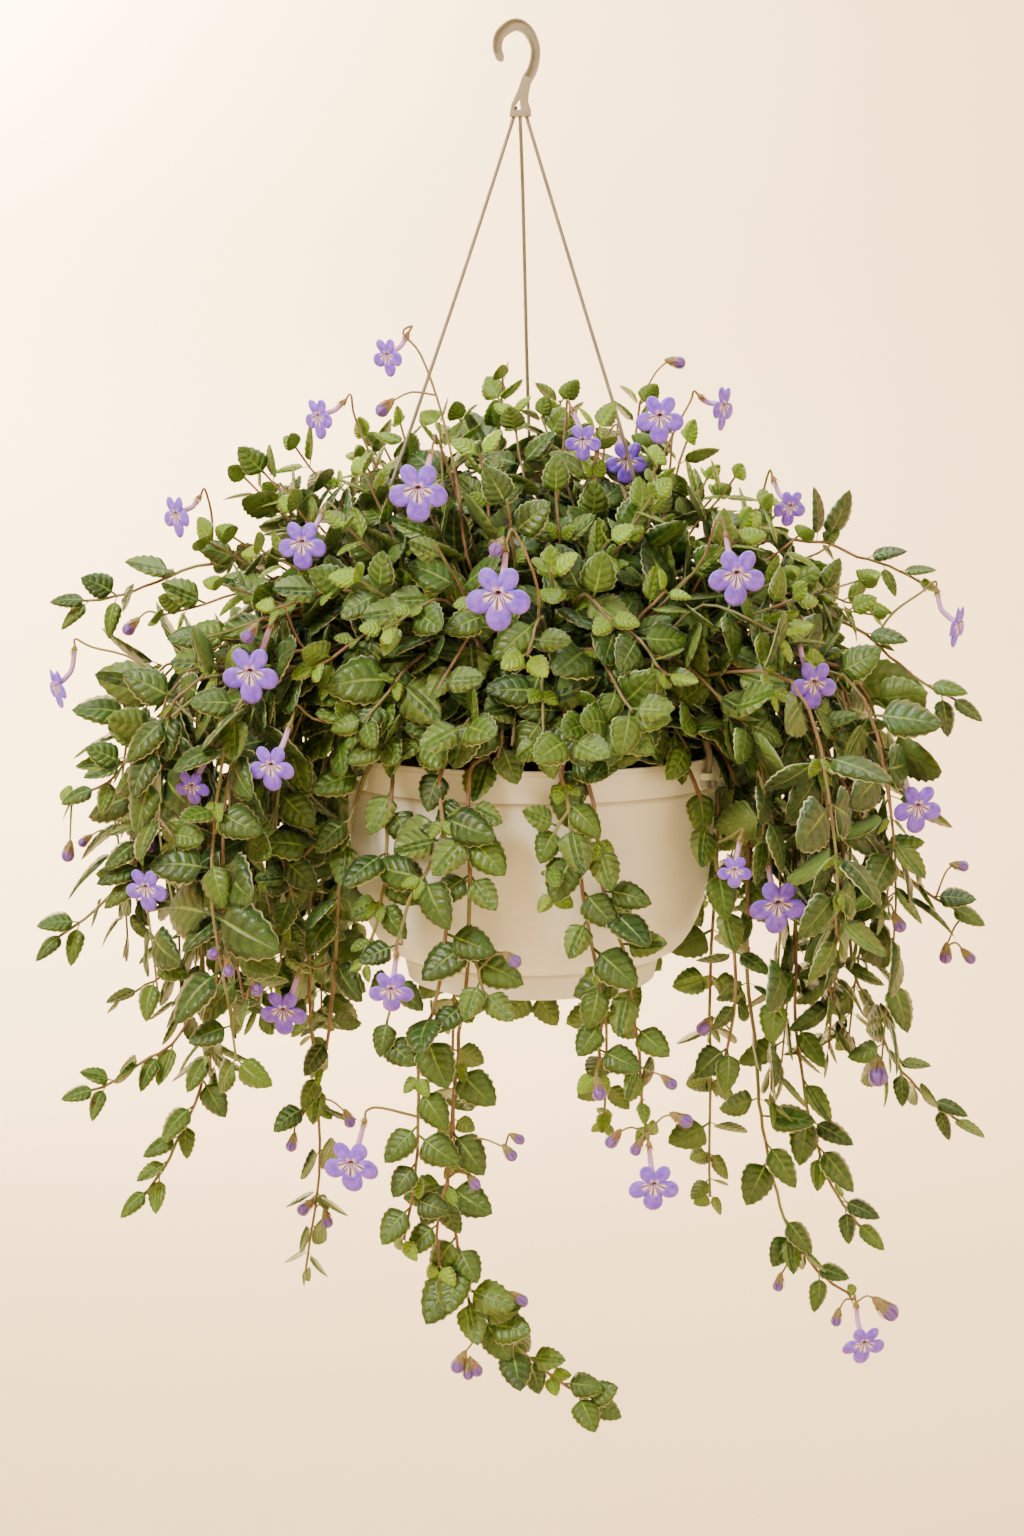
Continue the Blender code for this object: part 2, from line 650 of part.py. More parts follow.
class Sprig:
    """One node of the plant: its stems with their leaves, and the stalks and buds that grow from them."""

    def __init__(self, name, finish, space):
        self.name = name
        self.finish = finish
        self.space = space
        self.parts = new_collection(f"{name}_parts")
        self.stems = []
        self.paths = []
        self.base = None

    def add_stem(self, path, radius):
        """A stem along a path."""
        points, faces = tube_shape(path, radius)
        self.space.take(f"{self.name}_stems", points, faces)
        self.stems.append((path, radius))
        self.paths.append(path)

    def nearest(self, point):
        """The point on this piece's stems that lies nearest."""
        best = None
        for path in self.paths:
            for a, b in zip(path, path[1:]):
                along = (b - a).length_squared
                share = min(max((point - a).dot(b - a) / along, 0.05), 0.95) if along else 0.5
                spot = a.lerp(b, share)
                if best is None or (spot - point).length < (best - point).length:
                    best = spot
        return best

    def root_for(self, point):
        """Where a stalk that comes from a point joins this piece."""
        return self.nearest(point)

    def add_leaf(self, origin, direction, facing, length):
        """A leaf, turned a little or shortened where it would touch something; left out where nothing helps."""
        side = direction.cross(facing).normalized()
        for share in (1.0, 0.86):
            for yaw, pitch in LEAF_TURNS:
                turn = Matrix.Rotation(math.radians(yaw), 3, facing)
                turn = turn @ Matrix.Rotation(math.radians(pitch), 3, side)
                matrix = frame_along(turn @ direction, turn @ facing, origin)
                points, faces = leaf_sleeve(length * share)
                points = moved(points, matrix)
                if min(core_distance(point) for point in points) < 0.001:
                    continue
                if self.space.free(points, faces):
                    self.space.take(self.name, points, faces)
                    points, faces = leaf_shape(length * share)
                    solid_object(f"{self.name}_leaf", moved(points, matrix), faces, self.parts)
                    return

    def add_pairs(self, stem, first, gap, size, count=None):
        """Leaves in opposite pairs along a stem, each pair crosswise to the last, and a small pair at the tip."""
        path, _ = self.stems[stem]
        spots = along_path(path, first, gap)
        spots = spots[-count:] if count else spots
        for index, (point, along, share) in enumerate(spots):
            away = outward(point)
            side = along.cross(away)
            side = side.normalized() if side.length > 0.2 else along.cross(UP).normalized()
            cross = side.cross(along).normalized()
            length = size * (1.0 - 0.42 * share**2)
            hang = max(-along.z, 0.0)
            for sign in (1, -1):
                if index % 2:
                    spread = cross * sign * 0.9 + side * 0.35 * sign
                else:
                    spread = side * sign * 0.95 + away * 0.2
                direction = spread + along * (0.55 - 0.15 * hang) - UP * 0.12 * hang
                facing = away * (0.35 + 0.55 * hang) + UP * 0.75
                self.add_leaf(point, direction.normalized(), facing.normalized(), length)
        tip = path[-1]
        along = (path[-1] - path[-2]).normalized()
        side = along.cross(UP)
        side = side.normalized() if side.length > 0.2 else Vector((1.0, 0.0, 0.0))
        for sign in (1, -1):
            direction = along * 0.7 + side * sign * 0.7
            facing = outward(tip) * 0.6 + UP * 0.7
            self.add_leaf(tip - along * TIP_BACK, direction.normalized(), facing.normalized(), size * 0.6)

    def add_bud(self, spot):
        """A bud on a thin stalk of its own from the nearest stem."""
        root = self.nearest(spot)
        along = (spot - root).normalized()
        path = [root, spot]
        stalk = baked(tube_curve(f"{self.name}_stalk", path, STALK_RADIUS, self.parts, 3, 0.8))
        matrix = frame_along(along, UP if abs(along.z) < 0.9 else Vector((0, -1, 0)), spot)
        matrix = matrix @ Matrix.Diagonal((BUD_HALF_LENGTH, BUD_RADIUS, BUD_RADIUS, 1.0))
        bud = bud_object(f"{self.name}_bud", matrix, self.parts)
        self.space.take_object(self.name, bud)
        self.space.take_object(f"{self.name}_stems", stalk)

    def join(self):
        """Fuses the stems, leaves, stalks and buds as one body."""
        for path, radius in self.stems:
            if self.base:
                baked(tube_curve(f"{self.name}_stem", path, radius, self.parts, 3, STEM_TAPER))
            else:
                self.base = baked(tube_curve(self.name, path, radius, OBJECT, 3, STEM_TAPER, self.finish))
        obj = boolean(self.base, self.parts, "UNION", SOLVER)
        without_slivers(obj)
        obj.name = self.name
        obj.data.name = self.name
        return obj


SLIVERS = (0.00004, 0.00001, 0.000002)
SOLVER = "MANIFOLD"


def bodies(shape):
    """The faces of a mesh, in groups that hang together."""
    left = set(shape.faces)
    groups = []
    while left:
        group = [left.pop()]
        for face in group:
            for edge in face.edges:
                for other in edge.link_faces:
                    if other in left:
                        left.remove(other)
                        group.append(other)
        groups.append(group)
    return groups


def one_body(shape):
    """Whether a mesh is a single closed body, each of its edges between two faces and no more."""
    closed = all(len(edge.link_faces) == 2 for edge in shape.edges)
    return closed and all(vertex.link_faces for vertex in shape.verts) and len(bodies(shape)) == 1


def without_slivers(obj):
    """Drops the scraps of a union and closes up its hair-thin faces, as far as the body stays whole."""
    for width in SLIVERS:
        shape = bmesh.new()
        shape.from_mesh(obj.data)
        groups = sorted(bodies(shape), key=len)
        scraps = [face for group in groups[:-1] for face in group]
        bmesh.ops.delete(shape, geom=scraps, context="FACES")
        bmesh.ops.remove_doubles(shape, verts=shape.verts, dist=width)
        bmesh.ops.triangulate(shape, faces=shape.faces)
        bmesh.ops.dissolve_degenerate(shape, edges=shape.edges, dist=width / 4)
        bmesh.ops.triangulate(shape, faces=shape.faces)
        whole = one_body(shape)
        if whole:
            shape.to_mesh(obj.data)
        shape.free()
        if whole:
            return


LEAF_TURNS = ((0, 0), (18, 0), (-18, 0), (0, 16), (0, -16), (36, 0), (-36, 0), (20, 20), (-20, 20), (60, 0), (-60, 0))


def along_path(path, first, gap):
    """Spots along a path from a first distance on, gap apart: (point, direction, share of the way)."""
    lengths = [(b - a).length for a, b in zip(path, path[1:])]
    whole = sum(lengths)
    found = []
    wanted = first
    while wanted < whole - gap * 0.45:
        walked = 0.0
        for a, b, length in zip(path, path[1:], lengths):
            if walked + length >= wanted:
                point = a.lerp(b, (wanted - walked) / length)
                found.append((point, (b - a).normalized(), (wanted - first) / (whole - first)))
                break
            walked += length
        wanted += gap
    return found


# The bush's inner core of crowded leaves: radius at each height above the rim's top, in millimetres
CORE = ((78, -14.7), (84, 14), (104, 34), (134, 52), (146, 78), (143, 106), (124, 134), (92, 158), (50, 176), (0, 184))
CORE_SIDES = 16
CORE_UNEVEN = 0.0045
ROOT_IN_CORE = 0.016
CLEFT_AZIMUTHS = (204.0, 89.0, -30.0)
CLEFT_HALF = 10.0
CLEFT_BEHIND = 0.006
CLEFT_REACH = 0.130
CLEFT_NARROW = 0.005
CLEFT_WIDE = 0.016
TUFT_LENGTHS = (0.010, 0.016)
TUFT_DROOP = 0.007
TUFT_CLEAR = 0.002
LOWEST_TUFT = 0.030
STRANDS_LEAVE = 0.230


def core_radius(height):
    """The core's radius at a height."""
    heights = [z * MM + RIM_TOP for _, z in CORE]
    return float(np.interp(height, heights, [r * MM for r, _ in CORE], left=-1.0, right=-1.0))


def core_distance(point):
    """How far a point lies outside the core, level with it; above or below the core it is outside."""
    radius = core_radius(point.z)
    if radius < 0:
        return 1.0
    return math.hypot(point.x - BASKET_AXIS.x, point.y) - radius


def core_entry(point):
    """Where a stem that makes for a point leaves the core, and the way it leaves."""
    away = outward(point)
    height = min(max(point.z - 0.02, RIM_TOP + 0.02), RIM_TOP + 0.165)
    start = BASKET_AXIS + away * (core_radius(height) - 0.001) + UP * height
    return start, (point - start).normalized()


@dataclass(frozen=True)
class Trail:
    """A trailing stem. root is the azimuth of its hole in the soil, or None where it leaves the bush's core."""

    name: str
    root: float | None
    route: tuple
    shoots: tuple = ()
    first: float = 0.035
    gap: float = 0.112
    leaf: float = LEAF_LENGTH


# Each route lists (px, py, depth) from the root outwards
TRAILS = (
    Trail(
        "trail_front_long", -104,
        ((469, 773, -131), (469, 838, -139), (470, 900, -138), (467, 965, -132), (459, 1035, -124),
         (455, 1093, -120), (451, 1142, -116), (447, 1195, -112), (456, 1240, -108), (465, 1291, -104),
         (485, 1322, -100), (515, 1347, -96), (548, 1372, -92), (598, 1410, -88)),
        shoots=(((470, 935, -138), (478, 970, -141), (484, 1000, -142)),
                ((448, 1180, -113), (437, 1225, -114), (440, 1268, -112))),
        gap=0.080,
    ),
    Trail(
        "trail_front_left", -114,
        ((440, 780, -127), (446, 859, -137), (446, 930, -137), (436, 1000, -134), (421, 1045, -130),
         (418, 1100, -126), (417, 1150, -123), (412, 1200, -120), (404, 1240, -118)),
        shoots=(((444, 835, -137), (430, 866, -140), (410, 900, -138), (397, 945, -134), (393, 995, -128),
                 (381, 1048, -126)),),
    ),
    Trail(
        "trail_rim_left", -136,
        ((393, 782, -106), (388, 830, -117), (385, 880, -119), (376, 925, -119), (364, 965, -117)),
    ),
    Trail(
        "trail_left_front_long", -139,
        ((364, 776, -83), (345, 845, -92), (337, 900, -92), (335, 960, -88), (331, 1010, -84),
         (322, 1066, -80), (311, 1099, -78), (296, 1124, -76)),
        shoots=(((354, 812, -90), (326, 836, -90), (300, 862, -86), (288, 900, -80), (284, 940, -76),
                 (274, 985, -72)),),
    ),
    Trail(
        "trail_front_mid", -81,
        ((562, 776, -131), (572, 830, -138), (580, 877, -139), (589, 929, -138), (596, 965, -136),
         (602, 1011, -133), (600, 1047, -131), (596, 1078, -130)),
        shoots=(((568, 806, -135), (555, 832, -139), (551, 862, -141), (554, 896, -141)),),
    ),
    Trail(
        "trail_front_right", -70,
        ((588, 773, -127), (596, 822, -135), (602, 880, -135), (616, 926, -131), (625, 962, -128),
         (633, 1011, -124), (640, 1053, -121), (641, 1093, -118), (646, 1126, -116)),
    ),
    Trail(
        "trail_rim_right", -44,
        ((690, 778, -88), (702, 817, -93), (711, 856, -93), (722, 897, -91), (729, 936, -88),
         (736, 975, -85), (733, 1018, -82), (723, 1064, -80)),
    ),
    Trail(
        "trail_right_long", -16,
        ((733, 776, -40), (746, 815, -45), (748, 870, -47), (747, 936, -47), (748, 985, -46),
         (754, 1050, -44), (758, 1100, -42), (763, 1140, -40), (770, 1178, -38), (780, 1215, -36),
         (792, 1245, -34), (808, 1264, -32), (826, 1282, -30), (848, 1293, -28)),
    ),
    Trail(
        "trail_right_hanging", -4,
        ((745, 745, -14), (770, 748, -18), (788, 785, -22), (794, 860, -24), (796, 950, -24),
         (796, 1027, -23), (801, 1066, -22), (810, 1119, -21), (818, 1148, -20), (828, 1176, -19),
         (842, 1204, -18), (868, 1235, -16)),
    ),
    Trail(
        "trail_right_outer", None,
        ((745, 640, 6), (790, 668, 10), (826, 740, 14), (842, 830, 16), (848, 910, 16),
         (854, 975, 15), (874, 1004, 14), (888, 1050, 13), (910, 1080, 12), (936, 1106, 11),
         (966, 1124, 10)),
        first=0.050,
    ),
    Trail(
        "trail_right_low", None,
        ((735, 680, -40), (795, 715, -46), (836, 770, -50), (866, 826, -50), (891, 861, -49),
         (923, 890, -47), (966, 915, -45)),
        first=0.045,
    ),
    Trail(
        "trail_right_middle", None,
        ((725, 595, -14), (786, 587, -22), (825, 612, -25), (865, 633, -24), (890, 656, -22),
         (923, 682, -20), (966, 706, -18)),
        first=0.045,
    ),
    Trail(
        "trail_right_high", None,
        ((690, 560, 26), (760, 542, 32), (825, 543, 34), (858, 556, 36), (889, 566, 38), (920, 582, 40)),
        first=0.050,
    ),
    Trail(
        "trail_left_high", None,
        ((345, 575, 8), (287, 561, 0), (242, 560, -5), (196, 566, -9), (157, 581, -11),
         (114, 597, -12), (72, 600, -12)),
        first=0.055,
    ),
    Trail(
        "trail_left_upper", None,
        ((400, 640, -62), (358, 640, -78), (300, 650, -82), (240, 672, -80), (182, 708, -74),
         (132, 753, -68), (108, 782, -65), (72, 798, -62)),
        first=0.055,
    ),
    Trail(
        "trail_left_middle", None,
        ((380, 690, -4), (325, 690, -14), (268, 712, -24), (215, 750, -32), (168, 810, -36),
         (136, 860, -37), (101, 905, -36), (47, 944, -34)),
        first=0.050,
    ),
    Trail(
        "trail_left_long", 187,
        ((322, 740, -22), (290, 736, -32), (258, 770, -40), (236, 840, -44), (223, 915, -45),
         (217, 975, -45), (211, 1033, -44), (201, 1088, -43), (183, 1130, -42), (163, 1169, -41),
         (142, 1198, -40)),
        first=0.045,
    ),
    Trail(
        "trail_left_back", 172,
        ((320, 745, 16), (290, 720, 16), (246, 745, 10), (214, 810, 4), (200, 890, -1), (202, 955, -5),
         (192, 1013, -8), (172, 1044, -10), (150, 1057, -12), (112, 1082, -14), (80, 1093, -15)),
        shoots=(((202, 940, -4), (178, 965, 4), (146, 985, 6), (120, 1000, 6)),),
        first=0.045,
    ),
)

# Trails of the far side: azimuth of the root, how far each fork hangs out and down, and its turn, in mm and degrees
BACK_TRAILS = (
    ("trail_back_right", 26, ((215, 205, -6), (165, 340, 10))),
    ("trail_back_mid_right", 62, ((200, 130, -8), (158, 300, 6))),
    ("trail_back_mid_left", 118, ((158, 330, -6), (205, 160, 8))),
    ("trail_back_left", 150, ((205, 240, -8), (165, 380, 6))),
)


def rooted_start(azimuth):
    """A stem's way from its hole in the soil over the basket's rim."""
    soil = RIM_TOP - SOIL_BELOW_RIM
    foot = polar(azimuth, ROOT_CIRCLE, soil - HOLE_DEPTH + 0.001)
    return [
        foot,
        polar(azimuth, ROOT_CIRCLE, soil + 0.004),
        polar(azimuth, ROOT_CIRCLE + 0.010, RIM_TOP + 0.004),
        polar(azimuth, RIM_RADIUS - 0.003, RIM_TOP + 0.0075),
    ]


def bent_clear(space, path, radius, spare, fixed=1):
    """The path, bent outwards or up beyond its fixed first points until the stem touches nothing."""
    for push in (0, 3, -3, 6, -6, 9, 12, -9, 16, 20):
        for lift in (0, 4, -4, 8):
            bent = list(path[:fixed])
            for index, point in enumerate(path[fixed:], 1):
                share = math.sin(math.pi * index / (len(path) - fixed))
                bent.append(point + outward(point) * push * MM * share + UP * lift * MM * share)
            points, faces = tube_shape(bent, radius + LEAF_CLEAR)
            if space.free(points, faces, spare):
                return bent
    return path


def plain_path(path, fixed):
    """The path without those points beyond its fixed first ones where it hardly bends."""
    kept = list(path)
    index = fixed
    while index < len(kept) - 1:
        before, spot, after = kept[index - 1 : index + 2]
        along = (after - before).normalized()
        aside = (spot - before) - along * (spot - before).dot(along)
        if aside.length < HARDLY_BENT:
            kept.pop(index)
        else:
            index += 1
    return kept


def tube_shape(path, radius):
    """A plain four-sided sleeve round a path, for finding what it would touch."""
    points, faces = [], []
    for index, point in enumerate(path):
        before = path[max(index - 1, 0)]
        after = path[min(index + 1, len(path) - 1)]
        along = (after - before).normalized()
        side = along.cross(UP)
        side = side.normalized() if side.length > 0.1 else Vector((1.0, 0.0, 0.0))
        other = side.cross(along)
        for a, b in ((1, 0), (0, 1), (-1, 0), (0, -1)):
            points.append(point + (side * a + other * b) * radius)
        if index:
            base = 4 * (index - 1)
            for k in range(4):
                faces.append((base + k, base + (k + 1) % 4, base + 4 + (k + 1) % 4, base + 4 + k))
    return points, faces


def build_trail_stems(trail, finish, space):
    """The stem of one trail and its side shoots, clear of what stands already."""
    sprig = Sprig(trail.name, finish, space)
    route = [place(*spot) for spot in trail.route]
    if trail.root is None:
        while core_distance(route[0]) < 0.014:
            route = route[1:]
        start, way = core_entry(route[0])
        path = [start - way * 0.009, start + way * 0.006] + route
        entry = (start, way)
        fixed = 2
    else:
        path = rooted_start(trail.root) + route
        entry = None
        fixed = 4
    path = bent_clear(space, plain_path(path, fixed), STEM_RADIUS, ("soil",), fixed)
    sprig.add_stem(path, STEM_RADIUS)
    for shoot in trail.shoots:
        spots = [place(*spot) for spot in shoot]
        sprig.add_stem([sprig.nearest(spots[0])] + spots[1:], STEM_RADIUS * 0.8)
    return sprig, entry


def build_back_stems(name, azimuth, forks, finish, space):
    """A forked stem of the far side: up over the rim, out, and down."""
    sprig = Sprig(name, finish, space)
    path = None
    for reach, drop, swing in forks:
        reach, drop = reach * MM, drop * MM
        free = [
            polar(azimuth + swing * 0.3, RIM_RADIUS + 0.35 * (reach - RIM_RADIUS), RIM_TOP + 0.030),
            polar(azimuth + swing * 0.7, RIM_RADIUS + 0.80 * (reach - RIM_RADIUS), RIM_TOP + 0.020),
            polar(azimuth + swing, reach, RIM_TOP - 0.030),
            polar(azimuth + swing * 1.3, reach + 0.002, RIM_TOP - 0.45 * drop),
            polar(azimuth + swing * 1.1, reach - 0.004, RIM_TOP - 0.75 * drop),
            polar(azimuth + swing * 1.4, reach + 0.006, RIM_TOP - drop),
        ]
        if path is None:
            path = plain_path(rooted_start(azimuth) + free, 4)
            path = bent_clear(space, path, STEM_RADIUS, (), 4)
            sprig.add_stem(path, STEM_RADIUS)
        else:
            sprig.add_stem([path[3]] + free, STEM_RADIUS)
    return sprig


@dataclass(frozen=True)
class Bloom:
    """An open flower: the piece it grows from, its face, width, calyx, facing, and its stalk back to the stem."""

    host: str
    face: tuple
    width: float
    calyx: tuple
    facing: tuple
    stalk: tuple = ()
    buds: tuple = ()


BLOOMS = (
    Bloom("crown", (387, 357, -70), 40, (406, 338, -62), (-40, -15),
          ((403, 333, -62), (421, 355, -66), (441, 411, -74), (457, 483, -80), (467, 555, -82)), ((384, 408, -74),)),
    Bloom("crown", (318, 417, -45), 42, (342, 403, -40), (-45, -10), ((356, 421, -38), (385, 483, -34))),
    Bloom("crown", (418, 492, -135), 62, (431, 455, -110), (-8, -8), ((440, 445, -92),)),
    Bloom("crown", (302, 545, -100), 52, (322, 514, -82), (-12, -8), ((340, 515, -80), (362, 558, -76))),
    Bloom("trail_left_high", (176, 515, -34), 44, (198, 499, -26), (-45, -10), ((212, 519, -18),)),
    Bloom("crown", (498, 598, -176), 68, (506, 553, -156), (-8, -6), ((515, 532, -150), (538, 590, -140)),
          ((497, 548, -165),)),
    Bloom("crown", (250, 675, -128), 60, (270, 628, -112), (-10, -8), ((284, 607, -108), (313, 656, -104)),
          ((249, 634, -124),)),
    Bloom("trail_left_upper", (57, 688, -66), 42, (75, 652, -60), (-55, -10), ((92, 647, -60), (137, 661, -66))),
    Bloom("crown", (271, 768, -142), 50, (289, 728, -124), (-12, -12), ((297, 705, -118), (325, 722, -112))),
    Bloom("trail_left_upper", (192, 788, -104), 38, (208, 752, -92), (-15, -20), ((212, 738, -88),)),
    Bloom("trail_left_middle", (146, 890, -72), 48, (166, 858, -56), (-20, -15), ((178, 846, -50),)),
    Bloom("trail_left_front_long", (283, 1013, -112), 50, (298, 976, -98), (-12, -12), ((316, 968, -94),)),
    Bloom("trail_front_left", (391, 992, -158), 48, (396, 958, -148), (-4, -18), ((402, 944, -142),)),
    Bloom("trail_front_left", (351, 1167, -138), 58, (364, 1124, -128), (-12, -12), ((380, 1108, -126),)),
    Bloom("trail_front_right", (654, 1188, -132), 52, (649, 1148, -122), (4, -12), ((649, 1138, -119),)),
    Bloom("trail_right_long", (864, 1346, -46), 45, (856, 1308, -36), (12, -18), ((853, 1300, -33),)),
    Bloom("trail_right_long", (778, 907, -84), 60, (768, 866, -72), (8, -12), ((764, 850, -62),)),
    Bloom("trail_rim_right", (735, 872, -128), 36, (740, 842, -118), (-6, -12), ((732, 836, -106),)),
    Bloom("trail_right_low", (918, 809, -74), 52, (903, 772, -62), (14, -10), ((890, 757, -58), (862, 776, -54))),
    Bloom("crown", (814, 685, -98), 50, (799, 643, -82), (14, -8), ((785, 632, -78), (760, 654, -74))),
    Bloom("crown", (737, 577, -128), 60, (726, 538, -108), (8, -8), ((716, 521, -104), (695, 571, -98))),
    Bloom("crown", (660, 417, -76), 50, (668, 428, -46), (4, -4), ((672, 440, -42), (662, 499, -36))),
    Bloom("crown", (724, 406, -24), 46, (702, 397, -24), (60, -5), ((690, 402, -26), (672, 436, -34))),
    Bloom("trail_right_high", (790, 508, -4), 38, (774, 482, 4), (25, -15), ((765, 485, 10), (760, 512, 20))),
    Bloom("trail_right_middle", (958, 626, -14), 44, (937, 594, -10), (60, -10), ((922, 592, -10), (894, 612, -14))),
    Bloom("crown", (583, 442, -66), 38, (573, 412, -54), (-10, -15), ((566, 420, -50), (560, 480, -46))),
    Bloom("crown", (622, 462, 2), 45, (614, 436, 18), (6, -12), ((606, 440, 22), (598, 490, 24))),
    Bloom("crown", (420, 500, 172), 46, (410, 486, 150), (170, -8), ((412, 500, 140),)),
    Bloom("crown", (640, 570, 190), 46, (648, 552, 168), (-172, -8), ((646, 566, 156),)),
    Bloom("trail_back_left", (318, 690, 160), 44, (328, 668, 140), (160, -10), ((336, 680, 130),)),
    Bloom("trail_back_right", (716, 720, 160), 44, (704, 700, 142), (-160, -10), ((696, 712, 130),)),
)


def facing_vector(yaw, pitch):
    """A direction from yaw to the viewer's right and pitch up, in degrees, where zero faces the front."""
    yaw, pitch = math.radians(yaw), math.radians(pitch)
    return Vector((math.sin(yaw) * math.cos(pitch), -math.cos(yaw) * math.cos(pitch), math.sin(pitch)))


def bloom_parts(face, calyx, facing, radius, grow=0.0):
    """A corolla's points in place, with a tube that bends back to just short of the calyx."""
    matrix = frame_along(facing, UP, face)
    end = matrix.inverted() @ calyx
    back = Vector((-0.006, 0.0, 0.0))
    control = Vector((min(end.x, -0.008), end.y * 0.35, end.z * 0.35))
    bend = back * 0.3 + control * 0.3 + end * 0.4
    points, faces = bloom_shape(radius, (bend, end), grow)
    return moved(points, matrix), faces, matrix.to_3x3() @ (end - bend)


def add_bloom(name, sprig, bloom, finish, space):
    """One open flower in a node of its own, and its stalk and calyx on the stem that carries it."""
    face, calyx = place(*bloom.face), place(*bloom.calyx)
    facing = facing_vector(*bloom.facing)
    scale = TANGENT_PER_PIXEL * (face - EYE).length
    radius = bloom.width / 2 * scale
    for push in (0, 3, -3, 6, 9, 12, 16):
        shift = outward(face) * push * MM
        points, faces, _ = bloom_parts(face + shift, calyx + shift, facing, radius, LEAF_CLEAR)
        if space.free(points, faces):
            break
    points, faces, back = bloom_parts(face + shift, calyx + shift, facing, radius)
    flower = solid_object(name, points, faces, OBJECT, finish)
    shade(flower)
    space.take(name, points, faces)
    add_calyx(sprig, calyx + shift, back.normalized(), [place(*spot) for spot in bloom.stalk])
    for spot in bloom.buds:
        sprig.add_bud(place(*spot))


CALYX_LENGTH = 0.0064
CALYX_RADIUS = 0.0021


def add_calyx(sprig, tube_end, back, spots):
    """The stalk from a corolla's tube to the stem, which widens into a cup behind the tube."""
    start = tube_end + back * FIT
    last = spots[-1] if spots else start
    path = [start, start + back * CALYX_LENGTH] + spots + [sprig.root_for(last)]
    spare = (f"{sprig.name}_stems", sprig.name)
    path = bent_clear(sprig.space, path, STALK_RADIUS, spare, 2)
    stalk = tube_curve(
        f"{sprig.name}_stalk", path, STALK_RADIUS, sprig.parts, 3, 1.2, flare=CALYX_RADIUS / STALK_RADIUS
    )
    sprig.space.take_object(f"{sprig.name}_stems", baked(stalk))
    sprig.paths.append(path[1:])


def beside_clefts(azimuth):
    """The azimuth, moved aside where it would fall in a strand's cleft."""
    for cleft in CLEFT_AZIMUTHS:
        apart = (azimuth - cleft + 180) % 360 - 180
        if abs(apart) < CLEFT_HALF:
            return cleft + math.copysign(CLEFT_HALF, apart)
    return azimuth


def strand_slot(side):
    """A cutter: the cleft in the bush's core where a strand of the hanger comes down."""
    points, faces = [], []
    for spot in strand_route(side):
        if not RIM_TOP - EAR_BELOW_RIM < spot.z < RIM_TOP + STRANDS_LEAVE:
            continue
        away = outward(spot)
        across = away.cross(UP)
        start = len(points)
        inside, beyond = spot - away * CLEFT_BEHIND, spot + away * CLEFT_REACH
        points += [inside + across * CLEFT_NARROW, beyond + across * CLEFT_WIDE]
        points += [beyond - across * CLEFT_WIDE, inside - across * CLEFT_NARROW]
        if start:
            for k in range(4):
                after = (k + 1) % 4
                faces.append((start - 4 + k, start - 4 + after, start + after, start + k))
    faces += [(0, 1, 2, 3), tuple(range(len(points) - 4, len(points)))]
    return solid_object("strand_slot", points, faces, CUTTERS)


class Crown(Sprig):
    """The bush over the basket: a small core of crowded stems, and the leafy shoots that stand out of it."""

    def add_core(self, sockets):
        """The core, turned and then made uneven, with a socket for each long branch that leaves it."""
        profile = [(r * MM, RIM_TOP + z * MM) for r, z in reversed(CORE)]
        profile = profile + [(0.0, profile[-1][1])]
        core = baked(turned(self.name, profile, CORE_SIDES, OBJECT, self.finish))
        for vertex in core.data.vertices:
            level = math.hypot(vertex.co.x, vertex.co.y)
            if level > 0.02 and vertex.co.z > RIM_TOP:
                vertex.co.xy *= 1.0 - RANDOM.uniform(0.0, CORE_UNEVEN) / level
                vertex.co.z -= RANDOM.uniform(0.0, CORE_UNEVEN) * (vertex.co.z > RIM_TOP + 0.09)
        self.raise_tufts(core)
        for side in EAR_AZIMUTHS:
            core = boolean(core, strand_slot(side), "DIFFERENCE")
        for start, way in sockets:
            middle = start + way * 0.001
            hole = cylinder("branch_socket", HOLE_RADIUS, middle - UP * 0.0105, middle + UP * 0.0105, 5)
            turn = UP.rotation_difference(way).to_matrix().to_4x4()
            hole.matrix_world = Matrix.Translation(middle) @ turn
            core = boolean(core, hole, "DIFFERENCE")
        self.base = core
        self.space.take_object(f"{self.name}_stems", core)

    def raise_tufts(self, core):
        """Draws each face of the core out to a drooping leafy point, where nothing else is in its way."""
        shape = bmesh.new()
        shape.from_mesh(core.data)
        for face in list(shape.faces):
            middle = face.calc_center_median()
            if middle.z + core.location.z < RIM_TOP + LOWEST_TUFT or len(face.verts) < 4:
                continue
            peak = middle + face.normal * RANDOM.uniform(*TUFT_LENGTHS) - UP * TUFT_DROOP
            corners = [core.matrix_world @ vertex.co for vertex in face.verts]
            beyond = core.matrix_world @ (peak + face.normal * TUFT_CLEAR)
            sides = [(k, (k + 1) % 4, 4) for k in range(4)]
            if not self.space.free(corners + [beyond], sides):
                continue
            made = bmesh.ops.poke(shape, faces=[face])
            made["verts"][0].co = peak
        shape.to_mesh(core.data)
        shape.free()

    def root_for(self, point):
        turn = beside_clefts(math.degrees(math.atan2(point.y, point.x - BASKET_AXIS.x)))
        height = min(max(point.z - 0.03, RIM_TOP + 0.02), RIM_TOP + 0.165)
        return polar(turn, core_radius(height) - ROOT_IN_CORE, height)

    def add_shoot(self, azimuth, elevation, share):
        """A leafy shoot from the core out to the bush's dome; it swings aside where its way is taken."""
        for swing in (0, 5, -5, 10, -10, 15, -15):
            for tilt in (0, 6, -6):
                tip = dome_point(azimuth + swing, elevation + tilt, share)
                start = self.root_for(tip)
                middle = start.lerp(tip, 0.5) + UP * 0.008
                path = [start, middle, tip]
                points, faces = tube_shape(path, STEM_RADIUS + LEAF_CLEAR)
                if self.space.free(points, faces, (f"{self.name}_stems",)):
                    self.add_stem(path, STEM_RADIUS)
                    return


